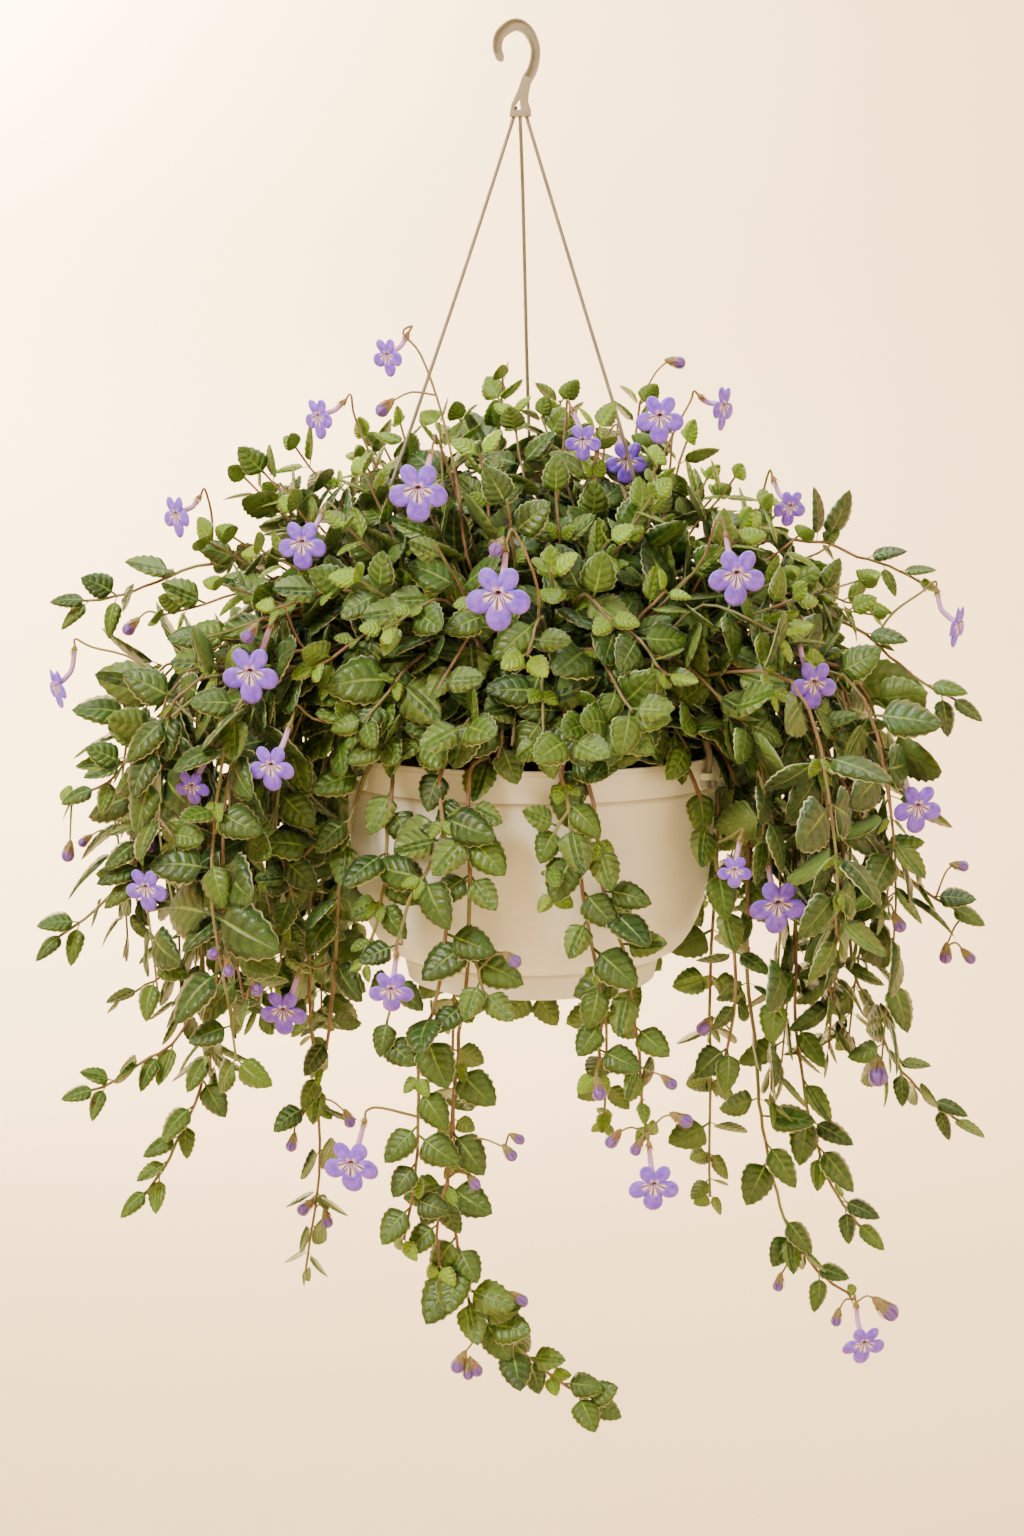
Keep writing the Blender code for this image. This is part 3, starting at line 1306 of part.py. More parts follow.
# The dome that the bush's shoots reach: centre below the rim's top and half sizes, in millimetres
DOME_CENTRE = Vector((0.000, 0.004, RIM_TOP + 0.040))
DOME_HALF = Vector((0.228, 0.185, 0.186))


def dome_point(azimuth, elevation, share=1.0):
    """The point of the bush's dome in one direction."""
    turn, rise = math.radians(azimuth), math.radians(elevation)
    level = math.cos(rise) * share
    offset = Vector((level * math.cos(turn), level * math.sin(turn), math.sin(rise) * share))
    return DOME_CENTRE + Vector(a * b for a, b in zip(offset, DOME_HALF))


# The shoots of the crown, in rings: elevation in degrees, number of shoots, first azimuth, share of the dome
SHOOT_RINGS = ((2, 7, 10, 0.97), (26, 6, 32, 1.0), (50, 4, 12, 1.0), (78, 2, 200, 1.05))


def build_crown_stems(sockets, finish, space):
    crown = Crown("crown", finish, space)
    crown.add_core(sockets)
    for elevation, count, first, share in SHOOT_RINGS:
        for index in range(count):
            azimuth = first + 360 * index / count
            crown.add_shoot(azimuth, elevation, share * RANDOM.uniform(0.93, 1.03))
    return crown


RANDOM = random.Random(7)
clear_scene()
OBJECT = new_collection("cape_primrose_hanging_basket")
CUTTERS = new_collection("cutters")


def main():
    """Builds the holder, then the plant: stems first, then blooms, then the leaves that stand between them."""
    cream = material("basket_cream", (0.78, 0.70, 0.58), 0.45)
    greige = material("hanger_greige", (0.48, 0.43, 0.36), 0.4)
    earth = material("soil_dark", (0.015, 0.010, 0.007), 0.95)
    leaf_green = material("leaf_green", (0.06, 0.13, 0.03), 0.6)
    petal_violet = material("petal_violet", (0.34, 0.20, 0.70), 0.5)
    space = Space()
    basket = build_basket(cream)
    space.take_object("basket", basket)
    hook = build_hook(greige)
    space.take_object("hanger_hook", hook)
    build_strands(greige, space)
    sprigs = {}
    sockets = []
    for trail in TRAILS:
        sprig, entry = build_trail_stems(trail, leaf_green, space)
        sprigs[trail.name] = sprig
        if entry:
            sockets.append(entry)
    for name, azimuth, forks in BACK_TRAILS:
        sprigs[name] = build_back_stems(name, azimuth, forks, leaf_green, space)
    roots = [sprig.paths[0][0] for sprig in sprigs.values() if sprig.paths[0][0].z < RIM_TOP - 0.02]
    soil = build_soil(roots, earth)
    space.take_object("soil", soil)
    crown = build_crown_stems(sockets, leaf_green, space)
    sprigs["crown"] = crown
    for number, bloom in enumerate(BLOOMS, 1):
        add_bloom(f"bloom_{number:02d}", sprigs[bloom.host], bloom, petal_violet, space)
    for trail in TRAILS:
        sprig = sprigs[trail.name]
        sprig.add_pairs(0, trail.first, trail.gap, trail.leaf)
        for stem in range(1, 1 + len(trail.shoots)):
            sprig.add_pairs(stem, 0.030, 0.080, LEAF_LENGTH * 0.9)
    for name, _, _ in BACK_TRAILS:
        sprig = sprigs[name]
        for stem in range(2):
            sprig.add_pairs(stem, 0.060, 0.135, LEAF_LENGTH)
    for stem in range(len(crown.stems)):
        crown.add_pairs(stem, 0.030, 0.024, LEAF_LENGTH * 1.08, count=1)
    for sprig in sprigs.values():
        sprig.join()


main()
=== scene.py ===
"""The dressed cape primrose (Streptocarpus saxorum) in its hanging basket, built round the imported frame.

Metres, +Z up. The origin is the inside top of the hook's crook and -Y is the front.
"""

import json
import logging
import math
import random
from collections.abc import Iterable, Sequence
from dataclasses import dataclass, field
from enum import Enum

import bmesh
import bpy
import numpy as np
from bmesh.types import BMesh
from bpy.types import Collection, Material, Mesh, Node, NodeSocket, NodeTree, Object
from mathutils import Matrix, Vector
from mathutils.bvhtree import BVHTree

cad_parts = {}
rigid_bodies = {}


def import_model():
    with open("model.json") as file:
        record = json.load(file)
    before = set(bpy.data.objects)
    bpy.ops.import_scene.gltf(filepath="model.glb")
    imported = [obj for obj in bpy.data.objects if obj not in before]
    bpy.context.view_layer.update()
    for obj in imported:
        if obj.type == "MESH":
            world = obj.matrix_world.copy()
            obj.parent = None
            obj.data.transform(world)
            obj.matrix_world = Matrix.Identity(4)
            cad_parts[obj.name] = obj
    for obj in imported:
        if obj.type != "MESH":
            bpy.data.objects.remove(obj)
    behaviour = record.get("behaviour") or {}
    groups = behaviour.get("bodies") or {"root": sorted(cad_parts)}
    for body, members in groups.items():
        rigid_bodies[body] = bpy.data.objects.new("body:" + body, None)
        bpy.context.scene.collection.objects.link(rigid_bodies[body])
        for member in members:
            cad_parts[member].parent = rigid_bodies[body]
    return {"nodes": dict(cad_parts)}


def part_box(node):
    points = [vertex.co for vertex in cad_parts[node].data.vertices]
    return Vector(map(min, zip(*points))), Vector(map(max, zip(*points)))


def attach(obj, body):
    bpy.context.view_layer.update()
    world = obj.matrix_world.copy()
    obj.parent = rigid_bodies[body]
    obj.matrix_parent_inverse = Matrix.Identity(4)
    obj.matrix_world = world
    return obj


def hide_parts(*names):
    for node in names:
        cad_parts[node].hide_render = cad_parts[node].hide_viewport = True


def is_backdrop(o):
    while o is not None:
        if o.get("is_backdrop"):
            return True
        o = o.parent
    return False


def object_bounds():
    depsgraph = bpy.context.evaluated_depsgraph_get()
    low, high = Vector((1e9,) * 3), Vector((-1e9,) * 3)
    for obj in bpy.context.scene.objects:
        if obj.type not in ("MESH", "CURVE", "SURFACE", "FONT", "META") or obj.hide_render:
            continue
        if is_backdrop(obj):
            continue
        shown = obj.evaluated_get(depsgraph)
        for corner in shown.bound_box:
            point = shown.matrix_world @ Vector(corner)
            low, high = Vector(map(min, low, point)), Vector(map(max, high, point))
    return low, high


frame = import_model()
CAD_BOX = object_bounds()
LOG = logging.getLogger("cape_primrose")
MM = 0.001
MERGE = 0.00001
UP = Vector((0.0, 0.0, 1.0))
BODY = "root"

# The photograph's view: the eye, its tilt and what one pixel of the 1024 x 1536 image spans
EYE = Vector((-0.0019, -1.5, -0.288))
EYE_TILT = math.radians(7.0)
TANGENT_PER_PIXEL = 0.000437
PICTURE_CENTRE = (512.0, 768.0)
LENS = 53.6
SENSOR = 36.0

# The holder's sizes, as in the part
BASKET_AXIS = Vector((0.011, 0.0, 0.0))
RIM_TOP = -0.459
RIM_RADIUS = 0.125
RIM_BAND = 0.020
BASKET_HEIGHT = 0.1515
WALL = 0.0020
SOIL_TOP = RIM_TOP - 0.015
EAR_AZIMUTHS = {"left": 210.0, "back": 90.0, "right": -30.0}
EAR_BELOW_RIM = 0.0105
STRAND_RADIUS = 0.0012
STRAND_CIRCLE = RIM_RADIUS + 0.0036
COLLAR_FOOT = -0.0533
HOOK_HALF = 0.0033
ROOT_CIRCLE = 0.100
STEM_RADIUS = 0.0016
STALK_RADIUS = 0.0008
# The stalk's share of a leaf's length
PETIOLE = 0.2
# Room left between the leaves and the frame's box, and for a leaf beyond a shoot's end
BOX_MARGIN = 0.0022
LEAF_ROOM = 0.022


class Slot(Enum):
    """The record's material slots."""

    BASKET = "basket_plastic"
    HANGER = "hanger_plastic"
    SOIL = "potting_soil"
    FOLIAGE = "foliage"
    PETALS = "petals"


# Places and directions


def place(px: float, py: float, depth: float) -> Vector:
    """The point seen at a pixel of the photograph.

    Args:
        px: pixels from the left.
        py: pixels from the top.
        depth: millimetres behind the hook's plane.

    Returns:
        The point in the object's frame, in metres.
    """
    u = (px - PICTURE_CENTRE[0]) * TANGENT_PER_PIXEL
    v = (PICTURE_CENTRE[1] - py) * TANGENT_PER_PIXEL
    forward = math.cos(EYE_TILT) + v * math.sin(EYE_TILT)
    rise = v * math.cos(EYE_TILT) - math.sin(EYE_TILT)
    return EYE + Vector((u, forward, rise)) * ((depth * MM - EYE.y) / forward)


def pixel_of(point: Vector) -> Vector:
    """The pixel of the photograph at which a point is seen, as a 2-D vector."""
    ahead = point - EYE
    depth = ahead.y * math.cos(EYE_TILT) - ahead.z * math.sin(EYE_TILT)
    rise = ahead.y * math.sin(EYE_TILT) + ahead.z * math.cos(EYE_TILT)
    scale = depth * TANGENT_PER_PIXEL
    return Vector((PICTURE_CENTRE[0] + ahead.x / scale, PICTURE_CENTRE[1] - rise / scale))


def polar(azimuth: float, radius: float, height: float) -> Vector:
    """A point round the basket's axis, azimuth in degrees from +X."""
    turn = math.radians(azimuth)
    return BASKET_AXIS + Vector((radius * math.cos(turn), radius * math.sin(turn), height))


def outward(point: Vector) -> Vector:
    """The level direction from the basket's axis to a point."""
    away = Vector((point.x - BASKET_AXIS.x, point.y, 0.0))
    return away.normalized() if away.length > MM else Vector((0.0, -1.0, 0.0))


def frame_along(direction: Vector, facing: Vector, origin: Vector) -> Matrix:
    """A matrix at origin whose X runs along direction and whose Z is as near to facing as it can be."""
    x = direction.normalized()
    y = facing.cross(x)
    y = y.normalized() if y.length > 1e-4 else x.orthogonal().normalized()
    return Matrix.Translation(origin) @ Matrix((x, y, x.cross(y))).transposed().to_4x4()


def smooth(points: Sequence[Vector], steps: int) -> list[Vector]:
    """A Catmull-Rom curve through the points.

    Args:
        points: two or more points.
        steps: pieces between each two.

    Returns:
        The points of the curve, the given ones among them.
    """
    ends = [points[0] * 2 - points[1]] + list(points) + [points[-1] * 2 - points[-2]]
    curve = []
    for a, b, c, d in zip(ends, ends[1:], ends[2:], ends[3:]):
        for step in range(steps):
            t = step / steps
            even = b * 2 + (c - a) * t + (a * 2 - b * 5 + c * 4 - d) * t**2
            curve.append((even + (b * 3 - a - c * 3 + d) * t**3) / 2)
    return curve + [points[-1].copy()]


def linear(colour: str) -> tuple[float, float, float, float]:
    """An sRGB hex colour as linear RGBA."""
    parts = [int(colour[k : k + 2], 16) / 255 for k in (1, 3, 5)]
    red, green, blue = (c / 12.92 if c <= 0.04045 else ((c + 0.055) / 1.055) ** 2.4 for c in parts)
    return (red, green, blue, 1.0)


# Nodes and meshes


def add_node(tree: NodeTree, kind: str, inputs: dict | None = None, **settings: object) -> Node:
    """Adds a node with its settings and its inputs.

    Args:
        tree: the node tree.
        kind: the node's type name.
        inputs: by socket name or number, a value or the socket to link from.
        settings: the node's own properties.

    Returns:
        The node.
    """
    node = tree.nodes.new(kind)
    for key, value in settings.items():
        setattr(node, key, value)
    for key, value in (inputs or {}).items():
        socket = node.inputs[key]
        if isinstance(value, NodeSocket):
            tree.links.new(value, socket)
        else:
            socket.default_value = value
    return node


def link_object(name: str, mesh: Mesh, finish: Material | None = None) -> Object:
    """Puts a mesh into the scene as an object at the origin.

    Args:
        name: the object's name.
        mesh: what it shows.
        finish: its only material, or None to keep the mesh's own.

    Returns:
        The object.
    """
    obj = bpy.data.objects.new(name, mesh)
    bpy.context.scene.collection.objects.link(obj)
    if finish:
        mesh.materials.clear()
        mesh.materials.append(finish)
    return obj


def turn_outwards(mesh: Mesh, merge: float = 0.0) -> None:
    """Merges doubles nearer than merge and points every face outwards."""
    shape = bmesh.new()
    shape.from_mesh(mesh)
    if merge:
        bmesh.ops.remove_doubles(shape, verts=shape.verts, dist=merge)
    bmesh.ops.recalc_face_normals(shape, faces=shape.faces)
    if shape.calc_volume(signed=True) < 0:
        bmesh.ops.reverse_faces(shape, faces=shape.faces)
    shape.to_mesh(mesh)
    shape.free()


def mesh_of(name: str, shape: BMesh) -> Mesh:
    """The mesh of a shape, which is then freed."""
    mesh = bpy.data.meshes.new(name)
    shape.to_mesh(mesh)
    shape.free()
    return mesh


def circle(sides: int) -> list[tuple[float, float]]:
    """Cosine and sine at even steps round a circle."""
    return [(math.cos(2 * math.pi * k / sides), math.sin(2 * math.pi * k / sides)) for k in range(sides)]


def bridge(shape: BMesh, loops: Sequence) -> list:
    """Adds and returns the faces between each loop of corners and the next; a loop may be one corner."""
    made = []
    for loop, after in zip(loops, loops[1:]):
        sides = max(len(loop), len(after))
        for k in range(sides):
            n = (k + 1) % sides
            corners = (loop[k % len(loop)], loop[n % len(loop)], after[n % len(after)], after[k % len(after)])
            kept = list(dict.fromkeys(corners))
            if len(kept) > 2:
                made.append(shape.faces.new(kept))
    return made


def lathe(name: str, profile: Sequence[tuple[float, float]], sides: int) -> Mesh:
    """A profile of (radius, height) turned round the basket's axis into a closed mesh."""
    shape = bmesh.new()
    rings = []
    for radius, height in profile:
        count = sides if radius > 1e-6 else 1
        rings.append([shape.verts.new(polar(360 * k / sides, radius, height)) for k in range(count)])
    bridge(shape, rings)
    mesh = mesh_of(name, shape)
    turn_outwards(mesh)
    return mesh


class Skin:
    """A closed surface being put together: its points, its faces and its surface map."""

    def __init__(self) -> None:
        """Starts with nothing."""
        self.points: list[tuple] = []
        self.faces: list[tuple] = []
        self.uvs: list[tuple] = []

    def ring(self, spots: Sequence) -> list[int]:
        """Adds points and returns their numbers."""
        self.points.extend(tuple(spot) for spot in spots)
        return list(range(len(self.points) - len(spots), len(self.points)))

    def add(self, corners: Sequence[int], uvs: Sequence[tuple]) -> None:
        """Adds a face with the place of each corner on the surface map."""
        self.faces.append(tuple(corners))
        self.uvs.extend(uvs)

    def band(self, loop: list[int], after: list[int], low: float, high: float) -> None:
        """Adds the faces between two closed rings, mapped once round and from low to high."""
        count = len(loop)
        for c in range(count):
            n, left, right = (c + 1) % count, c / count, (c + 1) / count
            corners = (loop[c], loop[n], after[n], after[c])
            self.add(corners, ((left, low), (right, low), (right, high), (left, high)))

    def mesh(self, name: str) -> Mesh:
        """The surface as a smooth-shaded mesh with its faces outwards."""
        mesh = bpy.data.meshes.new(name)
        mesh.from_pydata(self.points, [], self.faces)
        layer = mesh.uv_layers.new(name="surface")
        layer.data.foreach_set("uv", np.array(self.uvs, np.float32).ravel())
        turn_outwards(mesh)
        mesh.shade_smooth()
        return mesh


def plain(obj: Object, name: str) -> Mesh:
    """The plain mesh of an object with its modifiers, which are then gone with it."""
    graph = bpy.context.evaluated_depsgraph_get()
    graph.update()
    mesh = bpy.data.meshes.new_from_object(obj.evaluated_get(graph), depsgraph=graph)
    mesh.name = name
    bpy.data.objects.remove(obj, do_unlink=True)
    return mesh


def dress(obj: Object, slot: Slot, *nodes: str) -> Object:
    """Keeps a piece in the box, lets it ride on the body, and names its slot and the nodes it stands for."""
    spots = np.empty(len(obj.data.vertices) * 3, np.float32)
    obj.data.vertices.foreach_get("co", spots)
    low, high = (np.tile(np.array(corner, np.float32), len(obj.data.vertices)) for corner in CAD_BOX)
    obj.data.vertices.foreach_set("co", np.clip(spots, low, high))
    obj.data.update()
    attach(obj, BODY)
    if nodes:
        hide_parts(*nodes)
    faces = sum(len(face.vertices) - 2 for face in obj.data.polygons)
    LOG.info("%s: %d triangles, slot %s, for %s", obj.name, faces, slot.value, ", ".join(nodes) or "itself")
    return obj


# Geometry Nodes


def new_tree(name: str, **sockets: str) -> tuple[NodeTree, Node]:
    """A geometry tree with inputs of the named kinds after its geometry; returns it and its input node."""
    tree = bpy.data.node_groups.new(name, "GeometryNodeTree")
    tree.interface.new_socket("Geometry", in_out="INPUT", socket_type="NodeSocketGeometry")
    for label, kind in sockets.items():
        tree.interface.new_socket(label, in_out="INPUT", socket_type=f"NodeSocket{kind}")
    tree.interface.new_socket("Geometry", in_out="OUTPUT", socket_type="NodeSocketGeometry")
    return tree, add_node(tree, "NodeGroupInput")


def close_tree(tree: NodeTree, geometry: NodeSocket, finish: NodeSocket) -> NodeTree:
    """Ends a tree in Realize Instances and Set Material, and returns it."""
    real = add_node(tree, "GeometryNodeRealizeInstances", {"Geometry": geometry})
    dressed = add_node(tree, "GeometryNodeSetMaterial", {"Geometry": real.outputs[0], "Material": finish})
    add_node(tree, "NodeGroupOutput", {0: dressed.outputs[0]})
    return tree


def attribute(tree: NodeTree, name: str, kind: str) -> NodeSocket:
    """What the points say by an attribute."""
    node = add_node(tree, "GeometryNodeInputNamedAttribute", {"Name": name}, data_type=kind)
    return node.outputs["Attribute"]


def apply_tree(obj: Object, tree: NodeTree, **values: object) -> Mesh:
    """Runs a tree on an object with the named input values and returns the plain mesh."""
    step = obj.modifiers.new(tree.name, "NODES")
    step.node_group = tree
    for item in tree.interface.items_tree:
        if item.in_out == "INPUT" and item.name in values:
            step[item.identifier] = values[item.name]
    return plain(obj, obj.name)


def set_instances(tree: NodeTree, forms: NodeSocket, **inputs: NodeSocket) -> NodeSocket:
    """Sets a form of a collection on each point; inputs are those of Instance on Points."""
    picked = {"Collection": forms, "Separate Children": True, "Reset Children": True}
    instance = add_node(tree, "GeometryNodeCollectionInfo", picked).outputs[0]
    named = {key.replace("_", " "): value for key, value in inputs.items()}
    named |= {"Instance": instance, "Pick Instance": True}
    return add_node(tree, "GeometryNodeInstanceOnPoints", named).outputs[0]


def scatter_tree() -> NodeTree:
    """Sets one form of a collection on each point, by its attributes form, turn and size."""
    tree, given = new_tree("set_forms", Forms="Collection", Finish="Material")
    turn = add_node(tree, "FunctionNodeEulerToRotation", {0: attribute(tree, "turn", "FLOAT_VECTOR")})
    placed = set_instances(
        tree, given.outputs["Forms"], Points=given.outputs["Geometry"], Rotation=turn.outputs[0],
        Instance_Index=attribute(tree, "form", "INT"), Scale=attribute(tree, "size", "FLOAT_VECTOR"),
    )
    return close_tree(tree, placed, given.outputs["Finish"])


def stem_tree() -> NodeTree:
    """Draws a round stem along each line of edges, as thick as its attribute thick says."""
    tree, given = new_tree("grow_stems", Sides="Int", Finish="Material")
    line = add_node(tree, "GeometryNodeMeshToCurve", {"Mesh": given.outputs["Geometry"]})
    round_section = {"Resolution": given.outputs["Sides"], "Radius": 1.0}
    section = add_node(tree, "GeometryNodeCurvePrimitiveCircle", round_section)
    inputs = {"Curve": line.outputs[0], "Profile Curve": section.outputs[0], "Fill Caps": True}
    inputs["Scale"] = attribute(tree, "thick", "FLOAT")
    tube = add_node(tree, "GeometryNodeCurveToMesh", inputs)
    soft = add_node(tree, "GeometryNodeSetShadeSmooth", {"Geometry": tube.outputs[0]})
    return close_tree(tree, soft.outputs[0], given.outputs["Finish"])


def crumb_tree() -> NodeTree:
    """Strews crumbs over the upper side of a surface, by a density, a seed and a largest size."""
    sockets = {"Density": "Float", "Seed": "Int", "Largest": "Float", "Crumbs": "Collection"}
    tree, given = new_tree("strew_crumbs", **sockets, Finish="Material")
    inputs = {"Mesh": given.outputs["Geometry"]}
    inputs |= {key: given.outputs[key] for key in ("Density", "Seed")}
    spots = add_node(tree, "GeometryNodeDistributePointsOnFaces", inputs)
    turn = add_node(tree, "FunctionNodeRandomValue", {"Seed": 3}, data_type="FLOAT_VECTOR")
    turn.inputs["Max"].default_value = (6.28, 6.28, 6.28)
    share = add_node(tree, "FunctionNodeRandomValue", {2: 0.35, 3: 1.0, "Seed": 5}, data_type="FLOAT")
    size = {0: share.outputs[1], 1: given.outputs["Largest"]}
    scale = add_node(tree, "ShaderNodeMath", size, operation="MULTIPLY")
    form = add_node(tree, "FunctionNodeRandomValue", {4: 0, 5: 2, "Seed": 9}, data_type="INT")
    placed = set_instances(
        tree, given.outputs["Crumbs"], Points=spots.outputs[0], Rotation=turn.outputs[0],
        Instance_Index=form.outputs[2], Scale=scale.outputs[0],
    )
    return close_tree(tree, placed, given.outputs["Finish"])


# Finishes


class Step(Enum):
    """What finishes are made of: a node's type, its inputs in order, its output and its settings."""

    ADD = ("ShaderNodeMath", (0, 1), 0, {"operation": "ADD"})
    SUBTRACT = ("ShaderNodeMath", (0, 1), 0, {"operation": "SUBTRACT"})
    MULTIPLY = ("ShaderNodeMath", (0, 1), 0, {"operation": "MULTIPLY"})
    POWER = ("ShaderNodeMath", (0, 1), 0, {"operation": "POWER"})
    LESS_THAN = ("ShaderNodeMath", (0, 1), 0, {"operation": "LESS_THAN"})
    GREATER_THAN = ("ShaderNodeMath", (0, 1), 0, {"operation": "GREATER_THAN"})
    FRACT = ("ShaderNodeMath", (0,), 0, {"operation": "FRACT"})
    ABSOLUTE = ("ShaderNodeMath", (0,), 0, {"operation": "ABSOLUTE"})
    RAMP = ("ShaderNodeMapRange", (0, 1, 2, 3, 4), 0, {"interpolation_type": "SMOOTHSTEP"})
    MIX = ("ShaderNodeMix", (0, 6, 7), 2, {"data_type": "RGBA"})
    NOISE = ("ShaderNodeTexNoise", ("Vector", "Scale", "Detail"), "Fac", {})
    BUMP = ("ShaderNodeBump", ("Height", "Distance", "Strength"), 0, {})
    SURFACE = ("ShaderNodeUVMap", (), 0, {"uv_map": "surface"})
    TINT = ("ShaderNodeAttribute", (), "Fac", {"attribute_name": "tint"})
    X = ("ShaderNodeSeparateXYZ", (0,), 0, {})
    Y = ("ShaderNodeSeparateXYZ", (0,), 1, {})
    Z = ("ShaderNodeSeparateXYZ", (0,), 2, {})


class Finish:
    """A material being made: its tree, its shader and the piece's own coordinates."""

    def __init__(self, name: str, base: str, roughness: float, **settings: object) -> None:
        """Starts a Principled material of one colour; settings are its sockets' constants by name."""
        self.material = bpy.data.materials.new(name)
        self.material.use_nodes = True
        self.tree = self.material.node_tree
        self.shader = self.tree.nodes["Principled BSDF"]
        for key, value in {"Base_Color": linear(base), "Roughness": roughness, **settings}.items():
            self.shader.inputs[key.replace("_", " ")].default_value = value
        self.spot = add_node(self.tree, "ShaderNodeTexCoord").outputs["Object"]

    def add(self, step: Step, *values: object) -> NodeSocket:
        """Adds a step and returns its result; the values are numbers, sockets or hex colours."""
        kind, sockets, output, settings = step.value
        given = (linear(value) if isinstance(value, str) else value for value in values)
        return add_node(self.tree, kind, dict(zip(sockets, given)), **settings).outputs[output]

    def end(self, **results: NodeSocket) -> Material:
        """Links results to the shader's sockets by name and returns the material."""
        for key, socket in results.items():
            self.tree.links.new(socket, self.shader.inputs[key.replace("_", " ")])
        return self.material


@dataclass(frozen=True)
class MouldedPolypropylene:
    """Injection-moulded polypropylene: satin, a little uneven where the melt flowed, faintly dusty.

    Each shaded crease is a height in metres, how far below it the painted shade reaches, and how strong that
    is.
    """

    name: str
    base: str
    shade: str
    dust: str
    roughness: float = 0.42
    mottle: float = 0.045
    grain: float = 0.0009
    shaded_creases: tuple = ()
    # colour of the painted shade below each crease
    crease_shade: str = "#8a7c62"

    def make(self) -> Material:
        """Returns the material."""
        finish = Finish(self.name, self.base, self.roughness, Subsurface_Weight=0.05, Subsurface_Scale=0.003)
        add, spot = finish.add, finish.spot
        flow = add(Step.RAMP, add(Step.NOISE, spot, 1 / self.mottle, 3.0), 0.35, 0.7)
        tone = add(Step.MIX, flow, self.base, self.shade)
        specks = add(Step.RAMP, add(Step.NOISE, spot, 12 / self.mottle, 6.0), 0.60, 0.74, 0.0, 0.28)
        tone = add(Step.MIX, specks, tone, self.dust)
        # Painted shade: a darker band below each crease, where its shadow falls
        for height, reach, share in self.shaded_creases:
            below = add(Step.SUBTRACT, height, add(Step.Z, spot))
            under = add(Step.RAMP, below, 0.0, 0.0006)
            under = add(Step.MULTIPLY, under, add(Step.RAMP, below, reach, 0.0006))
            tone = add(Step.MIX, add(Step.MULTIPLY, under, share), tone, self.crease_shade)
        wear = add(Step.NOISE, spot, 3 / self.mottle, 3.0)
        wear = add(Step.RAMP, wear, 0.3, 0.7, self.roughness - 0.06, self.roughness + 0.10)
        grain = add(Step.BUMP, add(Step.NOISE, spot, 1 / self.grain, 2.0), 0.00004, 0.5)
        return finish.end(Base_Color=tone, Roughness=wear, Normal=grain)


@dataclass(frozen=True)
class PottingSoil:
    """Damp peat with bark and grit: dark, rough and lumpy, with paler fibres."""

    name: str = "damp_peat_compost"
    dark: str = "#120d09"
    brown: str = "#33241a"
    fibre: str = "#5d4a35"
    clod: float = 0.006
    grit: float = 0.003
    shred: float = 0.0018

    def make(self) -> Material:
        """Returns the material."""
        finish = Finish(self.name, self.dark, 0.95)
        add, spot = finish.add, finish.spot
        clods = add(Step.RAMP, add(Step.NOISE, spot, 1 / self.clod, 5.0), 0.35, 0.7)
        shreds = add(Step.RAMP, add(Step.NOISE, spot, 1 / self.shred, 6.0), 0.62, 0.70, 0.0, 0.7)
        tone = add(Step.MIX, shreds, add(Step.MIX, clods, self.dark, self.brown), self.fibre)
        lumps = add(Step.BUMP, add(Step.NOISE, spot, 1 / self.grit, 6.0), 0.0008)
        return finish.end(Base_Color=tone, Normal=lumps)


